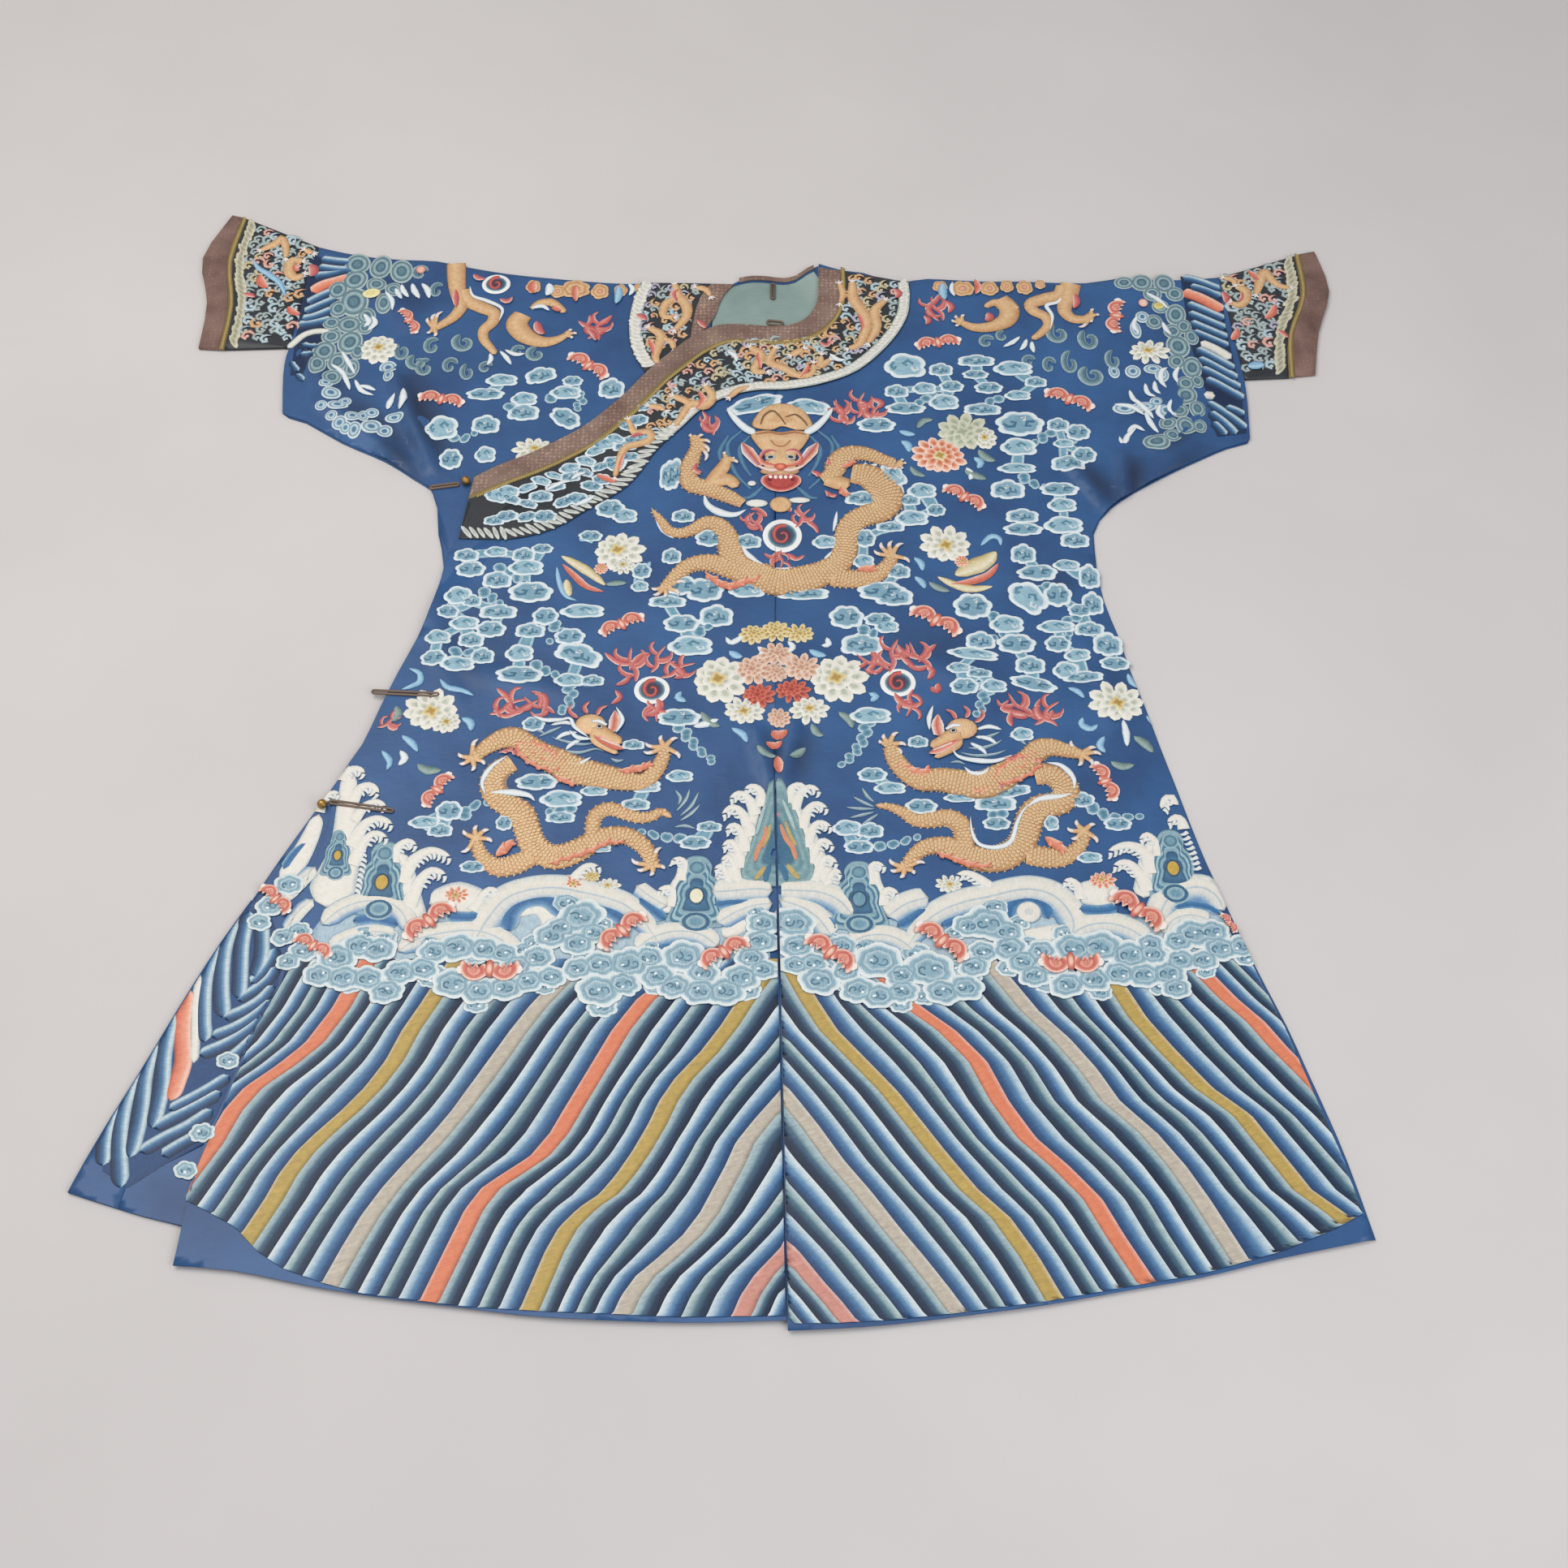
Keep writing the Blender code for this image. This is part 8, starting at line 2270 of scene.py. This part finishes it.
for x, y, wide, high, count, layers in (
        (-517, 737, 24, 15, 16, ((1.0, "#8D8A5A"), (0.85, "#E9E3B8"), (0.4, "#D9D08F"))),
        (468, 717, 14, 12, 12, ((1.0, "#8D8A5A"), (0.85, "#D9CD8B"), (0.4, "#C9BB6A"))),
        (449, 722, 12, 14, 12, ((1.0, "#C98A78"), (0.6, "#EBC6B6"))),
        (-459, 781, 12, 14, 12, ((1.0, "#B9705E"), (0.6, "#E6B5A2")))):
    bead(shoulders, x, y, wide, high, count, layers, lift=1.3)

# %% The shoulder dragons, as far as the fold
upper = Embroidery("shoulder_dragons")
BODIES = (
        ((-415, 792, -412, 760, -408, 735, -403, 718, -410, 700, -425, 685, -436, 677),
         (24, 24, 22, 18, 16, 13, 9)),
        ((-402, 745, -395, 727, -378, 715, -362, 705, -362, 690, -372, 676, -371, 660, -362, 646,
          -354, 634), (16, 20, 20, 18, 16, 15, 13, 11, 8)),
        ((-325, 702, -332, 686, -321, 667, -300, 656, -282, 659, -268, 669), (24, 28, 26, 20, 14, 8)),
        ((-316, 712, -306, 722, -292, 724, -282, 716, -272, 706), (6, 11, 13, 12, 7)),
        ((270, 728, 281, 711, 276, 692, 256, 681, 236, 680, 219, 689), (24, 26, 24, 18, 14, 9)),
        ((350, 752, 345, 736, 326, 729, 309, 721, 311, 709, 325, 699, 328, 685, 319, 671, 306, 659),
         (16, 20, 20, 18, 16, 15, 13, 11, 8)),
        ((361, 756, 355, 731, 350, 710, 359, 696, 375, 695, 385, 705), (26, 26, 20, 16, 14, 10)),
        ((292, 712, 280, 722, 262, 722, 250, 714), (6, 11, 12, 7)))
for numbers, widths in BODIES:
    gold(upper, numbers, widths, lift=0.9, puff=1.2)
GOLD_SHELL = ((1.0, "#8F6C4C"), (0.93, "#DDBB92"), (0.72, "#C99C6E"), (0.64, "#B98559"),
              (0.56, "#DDB98E"), (0.34, "#D3AB7E"), (0.28, "#C47F6B"), (0.1, "#E2AE98"))
for x, y, wide, high, bumps in (
        (-262, 746, 40, 34, 7), (-231, 742, 24, 30, 5), (-315, 750, 20, 26, 5), (-284, 742, 20, 26, 5),
        (-205, 744, 18, 24, 5), (-180, 748, 22, 18, 5), (224, 746, 32, 30, 7), (258, 746, 24, 28, 5),
        (280, 750, 18, 24, 5), (302, 748, 22, 28, 6), (196, 750, 20, 22, 5), (322, 754, 14, 18, 5)):
    onion(upper, cloud_outline(wide, high, bumps, 0.15, 0.3 * x, count=26) + (x, y), (x, y), GOLD_SHELL,
          lift=1.0, puff=1.0, angle=60)
for x, y, tips in (
        (-434, 679, (-443, 696, -434, 703, -425, 707, -443, 670, -433, 664)),
        (382, 700, (365, 680, 380, 688, 393, 700, 387, 712)),
        (-270, 668, (-262, 676, -256, 668, -262, 660)),
        (220, 689, (225, 701, 214, 700, 208, 692, 212, 682))):
    paw(upper, x, y, tips)
pearl(shoulders, -362, 755, 36, 34)
strokes(shoulders, (
    (FLAME, 9, (-412, 745, -411, 730, -409, 714)), (FLAME, 8, (-392, 772, -385, 765, -376, 764)),
    (FLAME, 8, (-356, 728, -346, 724, -340, 732)), (BLUSH, 12, (-314, 760, -316, 748, -312, 738)),
    (WHITE_FIN, 12, (-296, 756, -294, 744, -298, 734)), (RIBBON, 11, (-208, 752, -207, 736, -210, 720)),
    (BLUSH, 9, (-290, 716, -284, 712, -278, 708)), (FLAME, 12, (-308, 690, -304, 676, -296, 668)),
    (WHITE_FIN, 7, (-316, 712, -302, 716, -292, 708)), (BLUSH, 9, (-262, 752, -262, 738, -260, 724)),
    (FLAME, 12, (253, 704, 256, 696, 250, 690)), (FLAME, 10, (364, 738, 366, 724, 362, 712)),
    (RIBBON, 12, (200, 756, 199, 740, 202, 726)), (BLUSH, 9, (240, 762, 244, 748, 240, 736)),
    (FLAME, 8, (-244, 676, -236, 668, -232, 656)), (WHITE_FIN, 7, (-196, 756, -190, 746, -194, 734)),
    (WHITE_FIN, 6, (212, 758, 210, 744, 214, 732)),
), (0.6, 1.0, 0.5), lift=2.1, puff=0.6)
upper.build(GOLD_STITCH)
shoulders.build(SILK_STITCH)

# %% [markdown]
# ## Closures
# Two brass balls button through loops of plaited cord. They stay exactly the solids of the
# frame, with the colour and the wear of their material.

# %% Loops and balls
LOOPS = ("neck_loop", "armpit_loop", "upper_side_loop", "lower_side_loop", "hanging_loop")
BALLS = ("armpit_button", "lower_side_button")
for name in LOOPS + BALLS:
    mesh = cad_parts[name].data
    mesh.materials.clear()
    mesh.materials.append(GILT_BRASS if name in BALLS else CORD)
print("closures:", len(LOOPS + BALLS))

# %% [markdown]
# ## What each piece was cut to
# A piece lies flat, so its cut is what shows here, all the way round. The two halves are cut
# with back and front in one and folded at the shoulder.

# %% Sheets of cloth
# width and length in metres, the flat area in square metres, and what the piece rests on
CUTS = {
    "right_half": ((1.42, 1.46), 1.372, ()),
    "left_half": ((1.18, 1.46), 1.310, ()),
    "outer_front": ((0.60, 1.30), 0.546, ("right_half",)),
    "collar_band": ((0.10, 0.62), 0.0519, ("outer_front",)),
    "inner_collar_band": ((0.101, 0.153), 0.0104, ("right_half",)),
    "right_cuff": ((0.22, 0.23), 0.0383, ()),
    "left_cuff": ((0.21, 0.22), 0.0308, ()),
    "neck_lining": ((0.138, 0.107), 0.0104, ("right_half",)),
    "back_neck_facing": ((0.094, 0.012), 0.00085, ("right_half",)),
    "collar_binding": ((0.03, 0.60), 0.0168, ("collar_band",)),
    "inner_collar_binding": ((0.05, 0.095), 0.0023, ("inner_collar_band",)),
    "back_neck_binding": ((0.094, 0.012), 0.00085, ("right_half",)),
    "right_cuff_binding": ((0.06, 0.24), 0.0128, ("right_cuff",)),
    "left_cuff_binding": ((0.07, 0.22), 0.0123, ("left_cuff",)),
}
for name, (flat, area, rests_on) in CUTS.items():
    [robe[other].name for other in rests_on]
print("sheets:", len(CUTS))
